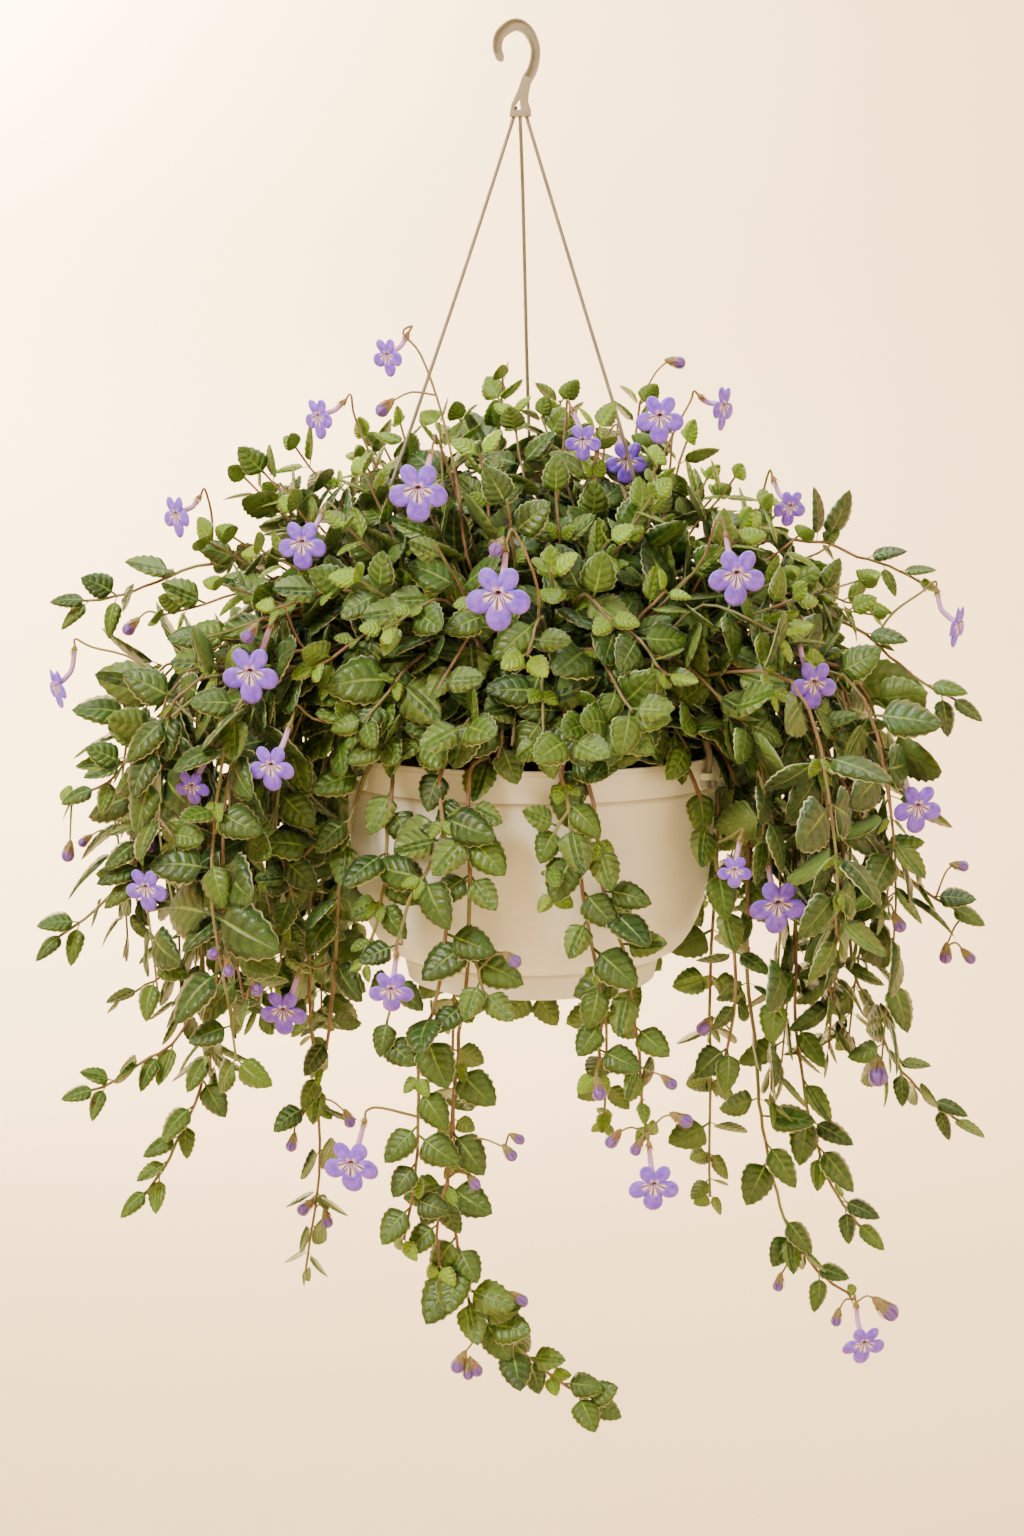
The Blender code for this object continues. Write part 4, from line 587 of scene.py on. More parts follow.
@dataclass(frozen=True)
class QuiltedLeaf:
    """A fleshy leaf with short hairs: dark quilts with a painted highlight on their raised middles, painted
    shade in the sunk veins, a pale downy edge, a matt bloom.
    """

    name: str = "downy_quilted_leaf"
    dark: str = "#142c0f"
    # The quilt colour is a painted highlight on the raised quilts; sunk and the young leaf's vein colour are
    # painted shade in the side veins
    lit_quilt: str = "#264a19"
    vein: str = "#82a44a"
    sunk: str = "#0e200b"
    young: str = "#86b322"
    margin: str = "#d2dba8"
    under: str = "#627e3c"
    patch: str = "#315518"
    young_vein_shade: str = "#628a22"
    down: str = "#92a680"
    side_veins: float = 5.0
    cell: float = 0.0035
    spread: float = 0.040
    hair: float = 0.0012
    fuzz: float = 0.0007

    def make(self) -> Material:
        """Returns the material."""
        finish = Finish(
            self.name, self.dark, 0.40, Sheen_Weight=0.05, Sheen_Roughness=0.4, Sheen_Tint=linear("#d5e0b8"),
            Subsurface_Weight=0.08, Subsurface_Scale=0.002, Subsurface_Radius=(0.5, 1.0, 0.2), IOR=1.45,
        )
        add, spot, surface = finish.add, finish.spot, finish.add(Step.SURFACE)
        # The surface map runs 0 to 1 along the upper side and 2 to 3 along the lower one
        walked = add(Step.X, surface)
        below = add(Step.GREATER_THAN, walked, 1.5)
        along = add(Step.SUBTRACT, walked, add(Step.MULTIPLY, below, 2.0))
        side = add(Step.ABSOLUTE, add(Step.SUBTRACT, add(Step.MULTIPLY, add(Step.Y, surface), 2.0), 1.0))
        lag = add(Step.MULTIPLY, add(Step.POWER, side, 1.3), 0.20)
        bend = add(Step.MULTIPLY, add(Step.SUBTRACT, along, lag), self.side_veins / (1 - PETIOLE))
        near = add(Step.ABSOLUTE, add(Step.SUBTRACT, add(Step.FRACT, bend), 0.5))
        vein_side, midrib = add(Step.RAMP, near, 0.44, 0.5), add(Step.RAMP, side, 0.09, 0.02)
        cells = add(Step.RAMP, add(Step.NOISE, spot, 1 / self.cell, 2.0), 0.25, 0.75, 0.55, 1.0)
        # Painted highlight: the raised middles of the quilts are lighter, as where light catches them
        raised = add(Step.MULTIPLY, add(Step.RAMP, near, 0.5, 0.10), cells)
        blade = add(Step.MIX, add(Step.RAMP, raised, 0.0, 0.9, 0.1, 0.85), self.dark, self.lit_quilt)
        patches = add(Step.RAMP, add(Step.NOISE, spot, 1 / self.spread, 2.0), 0.40, 0.62, 0.0, 0.60)
        blade = add(Step.MIX, patches, blade, self.patch)
        # Painted shade darkens the sunk side veins
        blade = add(Step.MIX, add(Step.MULTIPLY, vein_side, 0.42), blade, self.sunk)
        rib = add(Step.MULTIPLY, midrib, add(Step.RAMP, along, 0.95, 0.25, 0.12, 0.70))
        blade = add(Step.MIX, rib, blade, self.vein)
        # On young leaves too, painted shade darkens the sunk side veins
        fresh = add(Step.MIX, add(Step.MULTIPLY, vein_side, 0.45), self.young, self.young_vein_shade)
        blade = add(Step.MIX, add(Step.TINT), blade, fresh)
        hairs = add(Step.RAMP, add(Step.NOISE, spot, 1 / self.hair, 2.0), 0.45, 0.78, 0.0, 0.14)
        blade = add(Step.MIX, hairs, blade, self.down)
        blade = add(Step.MIX, add(Step.RAMP, side, 0.91, 0.965, 0.0, 0.72), blade, self.margin)
        blade = add(Step.MIX, add(Step.MULTIPLY, below, 0.8), blade, self.under)
        relief = add(Step.SUBTRACT, raised, add(Step.MULTIPLY, midrib, 1.2))
        fuzz = add(Step.MULTIPLY, add(Step.NOISE, spot, 1 / self.fuzz, 2.0), 0.15)
        return finish.end(Base_Color=blade, Normal=add(Step.BUMP, add(Step.ADD, relief, fuzz), 0.0013, 0.5))


@dataclass(frozen=True)
class WiryStem:
    """A thin downy stem: reddish brown where the sun has reached it, greener where it is young."""

    name: str = "wiry_brown_stem"
    brown: str = "#5f4331"
    tan: str = "#82674c"
    green: str = "#6c7640"

    def make(self) -> Material:
        """Returns the material."""
        finish = Finish(self.name, self.brown, 0.6, Sheen_Weight=0.15)
        add, spot = finish.add, finish.spot
        tone = add(Step.RAMP, add(Step.NOISE, spot, 1 / 0.012, 3.0), 0.3, 0.7)
        tone = add(Step.MIX, tone, self.brown, self.tan)
        young = add(Step.RAMP, add(Step.NOISE, spot, 1 / 0.05, 3.0), 0.40, 0.62, 0.0, 0.8)
        down = add(Step.BUMP, add(Step.NOISE, spot, 1 / 0.0012, 3.0), 0.0002)
        return finish.end(Base_Color=add(Step.MIX, young, tone, self.green), Normal=down)


@dataclass(frozen=True)
class Calyx:
    """Narrow downy sepals, olive with brown tips."""

    name: str = "downy_olive_calyx"
    olive: str = "#77783c"
    brown: str = "#7b5338"

    def make(self) -> Material:
        """Returns the material."""
        finish = Finish(self.name, self.olive, 0.6, Sheen_Weight=0.2)
        add, spot = finish.add, finish.spot
        tips = add(Step.RAMP, add(Step.NOISE, spot, 1 / 0.004, 3.0), 0.35, 0.7)
        down = add(Step.BUMP, add(Step.NOISE, spot, 1 / 0.0008, 3.0), 0.0002)
        return finish.end(Base_Color=add(Step.MIX, tips, self.olive, self.brown), Normal=down)


@dataclass(frozen=True)
class VioletPetal:
    """Thin velvety petals: violet, paler at their rims, white and purple-striped towards the throat."""

    name: str = "velvety_violet_petal"
    violet: str = "#683eee"
    light: str = "#8a64ff"
    deep: str = "#5430cc"
    white: str = "#eadcf8"
    stripe: str = "#481648"
    throat: str = "#86567c"
    tube: str = "#c39ce0"
    rim: str = "#a898fa"
    foot: str = "#a7906f"

    def make(self) -> Material:
        """Returns the material."""
        finish = Finish(
            self.name, self.violet, 0.55, Sheen_Weight=0.10,
            Subsurface_Weight=0.12, Subsurface_Scale=0.002, Subsurface_Radius=(0.8, 0.5, 1.0),
        )
        add, spot, surface = finish.add, finish.spot, finish.add(Step.SURFACE)
        # Once round is five lobes; far runs to 1 at the rim, to 2 back behind it and to 3 down the tube
        turn, far = add(Step.X, surface), add(Step.Y, surface)
        front = add(Step.LESS_THAN, far, 1.0001)
        across = add(Step.SUBTRACT, add(Step.FRACT, add(Step.MULTIPLY, turn, 5.0)), 0.5)
        across = add(Step.ABSOLUTE, across)
        crease = add(Step.RAMP, across, 0.0, 0.09, 1.0, 0.0)
        shade = add(Step.RAMP, add(Step.NOISE, spot, 1 / 0.004, 3.0), 0.3, 0.7)
        petal = add(Step.MIX, shade, self.violet, self.light)
        # Painted shade: the middle crease of each lobe is darkened towards the deep violet
        petal = add(Step.MIX, add(Step.MULTIPLY, crease, 0.35), petal, self.deep)
        rays = add(Step.SUBTRACT, add(Step.FRACT, add(Step.MULTIPLY, turn, 60.0)), 0.5)
        rays = add(Step.RAMP, add(Step.ABSOLUTE, rays), 0.30, 0.5, 0.0, 0.22)
        petal = add(Step.MIX, rays, petal, self.deep)
        petal = add(Step.MIX, add(Step.RAMP, far, 0.90, 1.0, 0.0, 0.35), petal, self.rim)
        lower = add(Step.ADD, add(Step.LESS_THAN, turn, 0.4), add(Step.GREATER_THAN, turn, 0.8))
        reach = add(Step.ADD, add(Step.MULTIPLY, lower, 0.23), 0.12)
        reach = add(Step.SUBTRACT, reach, add(Step.MULTIPLY, across, 0.10))
        white_edge = add(Step.SUBTRACT, reach, far)
        white = add(Step.MULTIPLY, add(Step.RAMP, white_edge, -0.16, 0.04), 0.90)
        petal = add(Step.MIX, white, petal, self.white)
        lines = add(Step.SUBTRACT, add(Step.FRACT, add(Step.MULTIPLY, turn, 20.0)), 0.5)
        thin = add(Step.RAMP, far, 0.0, 0.50, 0.34, 0.12)
        line = add(Step.RAMP, add(Step.SUBTRACT, thin, add(Step.ABSOLUTE, lines)), -0.09, 0.05)
        stripe = add(Step.MULTIPLY, line, add(Step.RAMP, white_edge, -0.14, -0.04))
        stripe = add(Step.MULTIPLY, stripe, add(Step.ADD, add(Step.MULTIPLY, lower, 0.85), 0.05))
        petal = add(Step.MIX, stripe, petal, self.stripe)
        petal = add(Step.MIX, add(Step.RAMP, far, 0.05, 0.0), petal, self.throat)
        back = add(Step.MIX, add(Step.RAMP, far, 1.75, 2.05), self.light, self.tube)
        back = add(Step.MIX, add(Step.RAMP, far, 2.75, 3.0, 0.0, 0.6), back, self.foot)
        relief = add(Step.SUBTRACT, add(Step.NOISE, spot, 1 / 0.0012, 3.0), crease)
        petal = add(Step.MIX, front, back, petal)
        return finish.end(Base_Color=petal, Normal=add(Step.BUMP, relief, 0.0004, 0.6))


@dataclass(frozen=True)
class VioletBud:
    """Closed buds: violet with folded petals, darker along the folds, green-brown at the foot."""

    name: str = "folded_violet_bud"
    violet: str = "#6a49ac"
    tip: str = "#44296f"
    foot: str = "#76663c"

    def make(self) -> Material:
        """Returns the material."""
        finish = Finish(self.name, self.violet, 0.5, Sheen_Weight=0.25)
        add, surface = finish.add, finish.add(Step.SURFACE)
        fold = add(Step.FRACT, add(Step.MULTIPLY, add(Step.X, surface), 5.0))
        fold = add(Step.ABSOLUTE, add(Step.SUBTRACT, fold, 0.5))
        tone = add(Step.MIX, add(Step.RAMP, fold, 0.5, 0.2), self.tip, self.violet)
        tone = add(Step.MIX, add(Step.RAMP, add(Step.Y, surface), 0.60, 0.30), tone, self.foot)
        return finish.end(Base_Color=tone, Normal=add(Step.BUMP, fold, 0.0005))


@dataclass(frozen=True)
class StudioPaper:
    """Seamless paper: matt, warm cream."""

    name: str = "seamless_cream_paper"
    base: str = "#e6d1aa"
    shade: str = "#e3cda4"

    def make(self) -> Material:
        """Returns the material."""
        finish = Finish(self.name, self.base, 0.9)
        clouds = finish.add(Step.RAMP, finish.add(Step.NOISE, finish.spot, 1 / 0.8, 1.0), 0.3, 0.7)
        return finish.end(Base_Color=finish.add(Step.MIX, clouds, self.base, self.shade))


# The holder

# Painted shade under the lip, under the rim's band and above the foot ring
SHADED_CREASES = (
    (RIM_TOP - 0.0022, 0.0020, 0.22), (RIM_TOP - RIM_BAND, 0.0050, 0.62), (RIM_TOP - 0.1340, 0.0045, 0.45),
)


@dataclass
class Basket:
    """The turned bowl with its rim band, lip and foot ring, its three lugs and the plates under them."""

    sides: int = 144
    lip: float = 0.0011
    foot: float = 0.0810
    floor: float = -0.1405
    ear_reach: float = 0.00575
    ear_root: float = 0.0015
    ear_width: float = 0.0085
    ear_thickness: float = 0.0045
    edge: float = 0.0006
    play: float = 0.0004
    pad_width: float = 0.0130
    pad_height: float = 0.0120
    pad_drop: float = 0.0135

    def profile(self) -> list[tuple[float, float]]:
        """Radius and height of the outline, from the rim down the outside and back up the inside."""
        outer = [
            (RIM_RADIUS - self.lip, 0.0), (RIM_RADIUS - self.lip * 0.3, -self.lip * 0.35),
            (RIM_RADIUS, -self.lip), (RIM_RADIUS - 0.0005, -0.0080), (RIM_RADIUS - 0.0013, -RIM_BAND + 0.0008),
            (RIM_RADIUS - 0.0016, -RIM_BAND), (RIM_RADIUS - 0.0034, -RIM_BAND - 0.0003),
            (RIM_RADIUS - 0.0038, -RIM_BAND - 0.0010), (0.1206, -0.0450), (0.1195, -0.0660), (0.1172, -0.0840),
            (0.1138, -0.1000), (0.1108, -0.1090), (0.1065, -0.1180), (0.1020, -0.1250), (0.0965, -0.1305),
            (0.0900, -0.1336), (0.0862, -0.1345), (0.0852, -0.1352), (0.0846, -0.1375),
            (self.foot + 0.0010, -BASKET_HEIGHT + 0.0010), (self.foot, -BASKET_HEIGHT),
            (self.foot - 0.0025, -BASKET_HEIGHT), (self.foot - 0.0040, self.floor - 0.0015), (0.0, self.floor),
        ]
        inside = RIM_RADIUS - WALL
        inner = [
            (0.0, self.floor + WALL), (0.0940, -0.1285), (0.1105, -0.1020), (0.1175, -0.0650),
            (inside - 0.0040, -RIM_BAND - 0.002), (inside - 0.0016, -RIM_BAND + 0.001),
            (inside - 0.0004, -0.0015), (inside + 0.0002, -0.0003),
        ]
        return [(radius, RIM_TOP + height) for radius, height in outer + inner + outer[:1]]

    def build(self, finish: Material) -> None:
        """Makes the bowl, its lugs and their plates as one piece."""
        mesh = lathe("basket_bowl", self.profile(), self.sides)
        turn_outwards(mesh, MERGE)
        shape = bmesh.new()
        shape.from_mesh(mesh)
        for azimuth in EAR_AZIMUTHS.values():
            self.add_ear(shape, azimuth)
            self.add_pad(shape, azimuth)
        shape.to_mesh(mesh)
        shape.free()
        mesh.shade_smooth()
        mesh.set_sharp_from_angle(angle=math.radians(32))
        dress(link_object("basket_bowl", mesh, finish), Slot.BASKET, "basket")

    def add_ear(self, shape: BMesh, azimuth: float) -> None:
        """A rounded lug on the rim band with the hole that a strand goes through."""
        centre = polar(azimuth, STRAND_CIRCLE, RIM_TOP - EAR_BELOW_RIM)
        away = outward(centre)
        across = away.cross(UP)
        depth, edge = self.ear_thickness / 2, self.edge
        root = STRAND_CIRCLE - RIM_RADIUS + self.ear_root
        tip = RIM_RADIUS + self.ear_reach - STRAND_CIRCLE
        turns, rings = circle(20), []
        for inset, height in ((0.0, edge - depth), (edge, -depth), (edge, depth), (0.0, depth - edge)):
            ring = []
            for turn in turns:
                reach = tip - inset if turn[0] > 0 else root
                x, y = (math.copysign(abs(share) ** 0.55, share) for share in turn)
                spot = centre + away * x * reach + across * y * (self.ear_width / 2 - inset) + UP * height
                ring.append(shape.verts.new(spot))
            rings.append(ring)
        hole = STRAND_RADIUS + self.play
        for height in (depth, -depth):
            spots = [centre + (away * x + across * y) * hole + UP * height for x, y in turns]
            rings.append([shape.verts.new(spot) for spot in spots])
        made = bridge(shape, [rings[number] for number in (1, 0, 3, 2, 4, 5, 1)])
        bmesh.ops.recalc_face_normals(shape, faces=made)

    def add_pad(self, shape: BMesh, azimuth: float) -> None:
        """The rounded plate under a lug, a little proud of the rim band, that the strand's end lies on."""
        rings = []
        for inset, proud in ((0.0, -0.0021), (0.0, -0.0003), (self.edge, 0.0002)):
            ring = []
            for x, y in circle(24):
                swing = math.degrees((self.pad_width / 2 - inset) * x / RIM_RADIUS)
                height = RIM_TOP - self.pad_drop + (self.pad_height / 2 - inset) * y
                ring.append(shape.verts.new(polar(azimuth + swing, RIM_RADIUS + proud, height)))
            rings.append(ring)
        made = [shape.faces.new(rings[0][::-1]), shape.faces.new(rings[-1])] + bridge(shape, rings)
        bmesh.ops.recalc_face_normals(shape, faces=made)


@dataclass
class Hook:
    """The moulded crook: a sunk web between rounded flanges, a foot with a small eye, a collar."""

    crook: tuple = (
        (-9.4, -17.0, 5.2), (-11.3, -9.9, 6.2), (-8.9, -1.8, 6.6), (0.0, 3.7, 7.2), (8.2, -0.2, 6.6),
        (12.9, -10.9, 6.2), (11.6, -22.5, 6.4), (7.3, -31.0, 6.6),
    )
    foot: tuple = (
        (8.9, -38.5), (8.5, -44.3), (10.3, -49.5), (10.3, -53.3), (-3.7, -53.3), (-2.4, -46.0), (1.6, -37.5),
    )
    eye: tuple = ((3.0, -42.0), (3.6, -49.3), (-0.6, -49.3), (0.2, -46.4))
    flange: float = 1.3
    web: float = 0.0026
    overlap: float = 0.35
    round: float = 0.0004

    def edges(self, inset: float) -> tuple[list[Vector], list[Vector]]:
        """The two long edges of the strap, each drawn in by inset millimetres."""
        middle = smooth([Vector(spot) for spot in self.crook], 8)
        outer, inner = [], []
        for index, point in enumerate(middle):
            before, after = middle[max(index - 1, 0)], middle[min(index + 1, len(middle) - 1)]
            along = (after - before).to_2d().normalized()
            across = Vector((-along.y, along.x)) * (point.z / 2 - inset)
            outer.append(point.to_2d() + across)
            inner.append(point.to_2d() - across)
        return outer, inner

    def plate(self, name: str, loops: Sequence, half: float, rounding: float) -> Mesh:
        """Outlines in the hook's plane filled to a thickness, with rounded edges."""
        curve = bpy.data.curves.new(name, "CURVE")
        curve.dimensions = "2D"
        curve.fill_mode = "BOTH"
        curve.extrude = half - rounding
        curve.bevel_depth = rounding
        curve.bevel_resolution = 2
        curve.offset = -rounding
        for loop in loops:
            spline = curve.splines.new("POLY")
            spline.points.add(len(loop) - 1)
            spline.use_cyclic_u = True
            for spot, (x, z) in zip(spline.points, loop):
                spot.co = (x * MM, z * MM, 0.0, 1.0)
        obj = bpy.data.objects.new(name, curve)
        bpy.context.scene.collection.objects.link(obj)
        mesh = plain(obj, name)
        mesh.transform(Matrix.Rotation(math.radians(90), 4, "X"))
        turn_outwards(mesh, MERGE)
        return mesh

    def build(self, finish: Material) -> None:
        """Makes the flanges, foot and web, and joins them as one piece."""
        outer, inner = self.edges(0.0)
        tip = Vector((self.crook[0][0] + 0.4, self.crook[0][1] - 2.0))
        cap = [tip + Vector((1.6, 0.4)), tip, tip + Vector((-1.6, 0.6))]
        outline = cap + outer + self.rounded([Vector(spot) for spot in self.foot]) + inner[::-1]
        deep_outer, deep_inner = self.edges(self.flange)
        recess = deep_outer[3:-2] + deep_inner[-3:2:-1]
        eye = self.rounded([Vector(spot) for spot in self.eye])
        wide_outer, wide_inner = self.edges(self.flange - self.overlap)
        mesh = self.plate("hook_flanges", [outline, recess, eye], HOOK_HALF, self.round)
        sunk = [wide_outer[2:-1] + wide_inner[-2:1:-1]]
        shape = bmesh.new()
        shape.from_mesh(mesh)
        shape.from_mesh(self.plate("hook_web", sunk, self.web / 2, self.round / 2))
        shape.to_mesh(mesh)
        shape.free()
        mesh.shade_smooth()
        mesh.set_sharp_from_angle(angle=math.radians(50))
        dress(link_object("hook_crook", mesh, finish), Slot.HANGER, "hanger_hook")

    @staticmethod
    def rounded(corners: list[Vector], share: float = 0.12) -> list[Vector]:
        """The outline with each inner corner cut to a short round."""
        made = []
        for index, corner in enumerate(corners):
            before, after = corners[index - 1], corners[(index + 1) % len(corners)]
            if index in (0, len(corners) - 1) and len(corners) > 4:
                made.append(corner)
                continue
            first, last = corner.lerp(before, share), corner.lerp(after, share)
            made += [first, (first + last) / 4 + corner / 2, last]
        return made


@dataclass
class Strand:
    """One moulded strand: from its socket in the collar to its ear, with a curl that holds it there."""

    side: str
    socket: float
    route: tuple
    # It widens to a strap over the rim, is slim through its lug, and thins out in the curl
    girths: tuple = ((0.0, 0.7), (0.009, 1.15), (0.015, 1.2), (0.019, 1.85), (0.034, 1.9), (0.062, 1.0))
    # The curl's radius, and how far round its points stand, in degrees
    curl: float = 0.0026
    turns: tuple = tuple(range(40, 241, 20))

    def path(self) -> list[Vector]:
        """The middle line, smoothed."""
        start = Vector((self.socket, 0.0, COLLAR_FOOT))
        ear = polar(EAR_AZIMUTHS[self.side], STRAND_CIRCLE, RIM_TOP - EAR_BELOW_RIM)
        away = outward(ear)
        points = [start + UP * 0.0025, start - UP * 0.002] + [place(*spot) for spot in self.route]
        points += [ear + UP * 0.016, ear + UP * 0.004, ear - UP * 0.005]
        centre = points[-1] + away * self.curl
        for turn in self.turns:
            angle = math.radians(180 + turn)
            points.append(centre + (away * math.cos(angle) + UP * math.sin(angle)) * self.curl)
        return points

    def build(self, finish: Material) -> None:
        """Makes the strand as a round rod."""
        path = self.path()
        straight = len(path) - len(self.turns)
        rod = smooth(path[:straight], 6)[:-1] + path[straight:]
        mesh = grow([Stem(rod, STRAND_RADIUS, 1.0, self.girths)], f"strand_{self.side}", 14, finish)
        dress(link_object(f"strand_{self.side}", mesh), Slot.HANGER, f"hanger_strand_{self.side}")


STRANDS = (
    Strand(
        "left", -0.0014,
        ((466, 265, -15), (417, 410, -29), (368, 555, -44), (350, 640, -52), (348, 700, -57)),
    ),
    Strand("back", 0.0033, ((523, 200, 18), (528, 400, 64), (534, 560, 96), (538, 690, 122))),
    Strand(
        "right", 0.0080,
        ((582, 300, -19), (626, 447, -34), (652, 555, -44), (675, 636, -52), (692, 700, -58)),
    ),
)


@dataclass
class Soil:
    """The compost, uneven on top, with crumbs of peat and bark."""

    sides: int = 72
    density: float = 26000.0
    largest: float = 0.0030

    def build(self, finish: Material) -> None:
        """Makes the body and the crumbs on it."""
        profile = [(0.0, SOIL_TOP)] + [(0.0119 * k, SOIL_TOP) for k in range(1, 11)]
        profile += [(0.1184, SOIL_TOP - 0.008), (0.1169, RIM_TOP - 0.0650), (0.1098, RIM_TOP - 0.1018)]
        profile += [(0.0935, RIM_TOP - 0.1278), (0.0, RIM_TOP - 0.1380)]
        mesh = lathe("compost_body", profile, self.sides)
        draw = random.Random(4)
        top = [vertex for vertex in mesh.vertices if vertex.co.z > SOIL_TOP - 0.001]
        for vertex in top:
            level = (vertex.co - BASKET_AXIS).to_2d().length
            vertex.co.z -= draw.uniform(0.0, 0.0022) * (level < 0.117)
        mesh.shade_smooth()
        body = dress(link_object("compost_body", mesh, finish), Slot.SOIL, "soil")
        shape = bmesh.new()
        bmesh.ops.create_circle(shape, cap_ends=True, segments=48, radius=0.113)
        shape.transform(Matrix.Translation(BASKET_AXIS + UP * (SOIL_TOP + 0.0002)))
        disc = mesh_of("compost_top", shape)
        crumbs = collection_of("compost_crumbs", [self.crumb(k) for k in range(3)])
        strewn = apply_tree(
            link_object("compost_crumbs", disc), crumb_tree(),
            Density=self.density, Seed=8, Largest=self.largest, Crumbs=crumbs, Finish=body.data.materials[0],
        )
        dress(link_object("compost_crumbs", strewn), Slot.SOIL)

    @staticmethod
    def crumb(number: int) -> Mesh:
        """One lump of peat, a few faces."""
        draw = random.Random(20 + number)
        shape = bmesh.new()
        bmesh.ops.create_icosphere(shape, subdivisions=1, radius=0.5)
        for vertex in shape.verts:
            vertex.co *= draw.uniform(0.65, 1.0)
            vertex.co.x *= 1.0 + 0.3 * number
        return mesh_of(f"crumb_{number}", shape)


# The plant's small forms


TREES: dict[str, NodeTree] = {}
FORM_COLLECTIONS: list[Collection] = []


def collection_of(name: str, meshes: Sequence[Mesh]) -> Collection:
    """A collection of forms for Geometry Nodes to pick from, out of the scene's own view."""
    made = bpy.data.collections.new(name)
    bpy.context.scene.collection.children.link(made)
    for index, mesh in enumerate(meshes):
        obj = bpy.data.objects.new(f"{name}_{index}", mesh)
        made.objects.link(obj)
        obj.hide_render = True
    FORM_COLLECTIONS.append(made)
    return made


@dataclass(frozen=True)
class LeafShape:
    """How a blade of unit length bends: arch down, crown of its halves, droop of its edges, sideways skew.

    Stations are the outline, a share of the length and the half width there; their waves are the edge's teeth.
    """

    arch: float
    crown: float
    droop: float
    skew: float
    wide: float = 1.0
    stations: tuple = (
        (0.0, 0.022), (0.17, 0.030), (0.21, 0.170), (0.28, 0.300), (0.36, 0.352), (0.40, 0.326),
        (0.49, 0.364), (0.54, 0.318), (0.63, 0.326), (0.68, 0.268), (0.77, 0.252), (0.82, 0.188),
        (0.90, 0.144), (0.94, 0.080),
    )
    shares: tuple = (-1.0, -0.52, 0.0, 0.52, 1.0)
    thick: float = 0.020
    full: float = 0.34

    def mesh(self, name: str) -> Mesh:
        """The blade with its stalk, along +X from the origin, as a closed mesh with its surface map."""
        skin = Skin()
        tops, unders = [], []
        for x, half in self.stations:
            half *= self.wide if x > PETIOLE else 1.0
            far = max(x - PETIOLE, 0.0) / (1 - PETIOLE)
            middle, swing, lift = -self.arch * far**2, self.skew * far**2, half / self.full
            rises = {0.0: 0.0, 1.0: -self.droop * lift}
            keel = (x, swing, middle - self.thick * (0.4 + 0.6 * min(lift * 2, 1.0)))
            spots = [
                (x, swing + share * half, middle + rises.get(abs(share), self.crown * lift))
                for share in self.shares
            ]
            row = skin.ring(spots + [keel])
            tops.append(row[:-1])
            unders.append([row[0], row[-1], row[-2]])
        (tip,) = skin.ring([(1.0, self.skew, -self.arch)])
        levels = [0.5 + share / 2 for share in self.shares]
        sides = (
            (tops, levels, 0.0, ((0, 1), (1, 2), (2, 3), (3, 4))),
            (unders, (0.0, 0.5, 1.0), 2.0, ((1, 0), (2, 1))),
        )
        walked = [x for x, _ in self.stations]
        for rows, across, base, strips in sides:
            for u, v, row, after in zip(walked, walked[1:], rows, rows[1:]):
                u, v = base + u, base + v
                for a, b in strips:
                    low, high = across[a], across[b]
                    corners = (row[a], after[a], after[b], row[b])
                    skin.add(corners, ((u, low), (v, low), (v, high), (u, high)))
        for rows, across, base, strips in sides:
            end = base + walked[-1]
            for a, b in strips:
                spots = ((end, across[a]), (base + 1.0, 0.5), (end, across[b]))
                skin.add((rows[-1][a], tip, rows[-1][b]), spots)
        skin.add(tops[0] + [unders[0][1]], ((0.0, 0.5),) * 6)
        return skin.mesh(name)


class LeafForm(Enum):
    """The bends that leaves take."""

    FLAT = LeafShape(arch=0.10, crown=0.045, droop=0.02, skew=0.02)
    ARCHED = LeafShape(arch=0.24, crown=0.055, droop=0.05, skew=-0.05, wide=0.94)
    CUPPED = LeafShape(arch=-0.10, crown=0.010, droop=-0.07, skew=0.03, wide=0.88)
    TURNED = LeafShape(arch=0.16, crown=0.050, droop=0.01, skew=0.10, wide=1.02)


def bud_mesh() -> Mesh:
    """A closed bud of unit length along +X: a slim foot, a full body with five folds, a blunt tip."""
    profile = ((0.0, 0.10), (0.22, 0.20), (0.45, 0.31), (0.66, 0.37), (0.84, 0.31), (0.95, 0.18))
    skin, sides, rings = Skin(), 10, []
    for x, radius in profile:
        wide = [radius * (1.0 - 0.14 * (k % 2) * (x > 0.3)) for k in range(sides)]
        rings.append(skin.ring([(x, r * y, r * z) for r, (y, z) in zip(wide, circle(sides))]))
    foot, tip = skin.ring([(-0.01, 0.0, 0.0), (1.0, 0.0, 0.0)])
    for (low, _), (high, _), ring, after in zip(profile, profile[1:], rings, rings[1:]):
        skin.band(ring, after, low, high)
    for k in range(sides):
        n, left, right = (k + 1) % sides, k / sides, (k + 1) / sides
        skin.add((rings[0][n], rings[0][k], foot), ((right, 0.0), (left, 0.0), (0.5, 0.0)))
        skin.add((rings[-1][k], rings[-1][n], tip), ((left, 0.95), (right, 0.95), (0.5, 1.0)))
    return skin.mesh("bud_form")


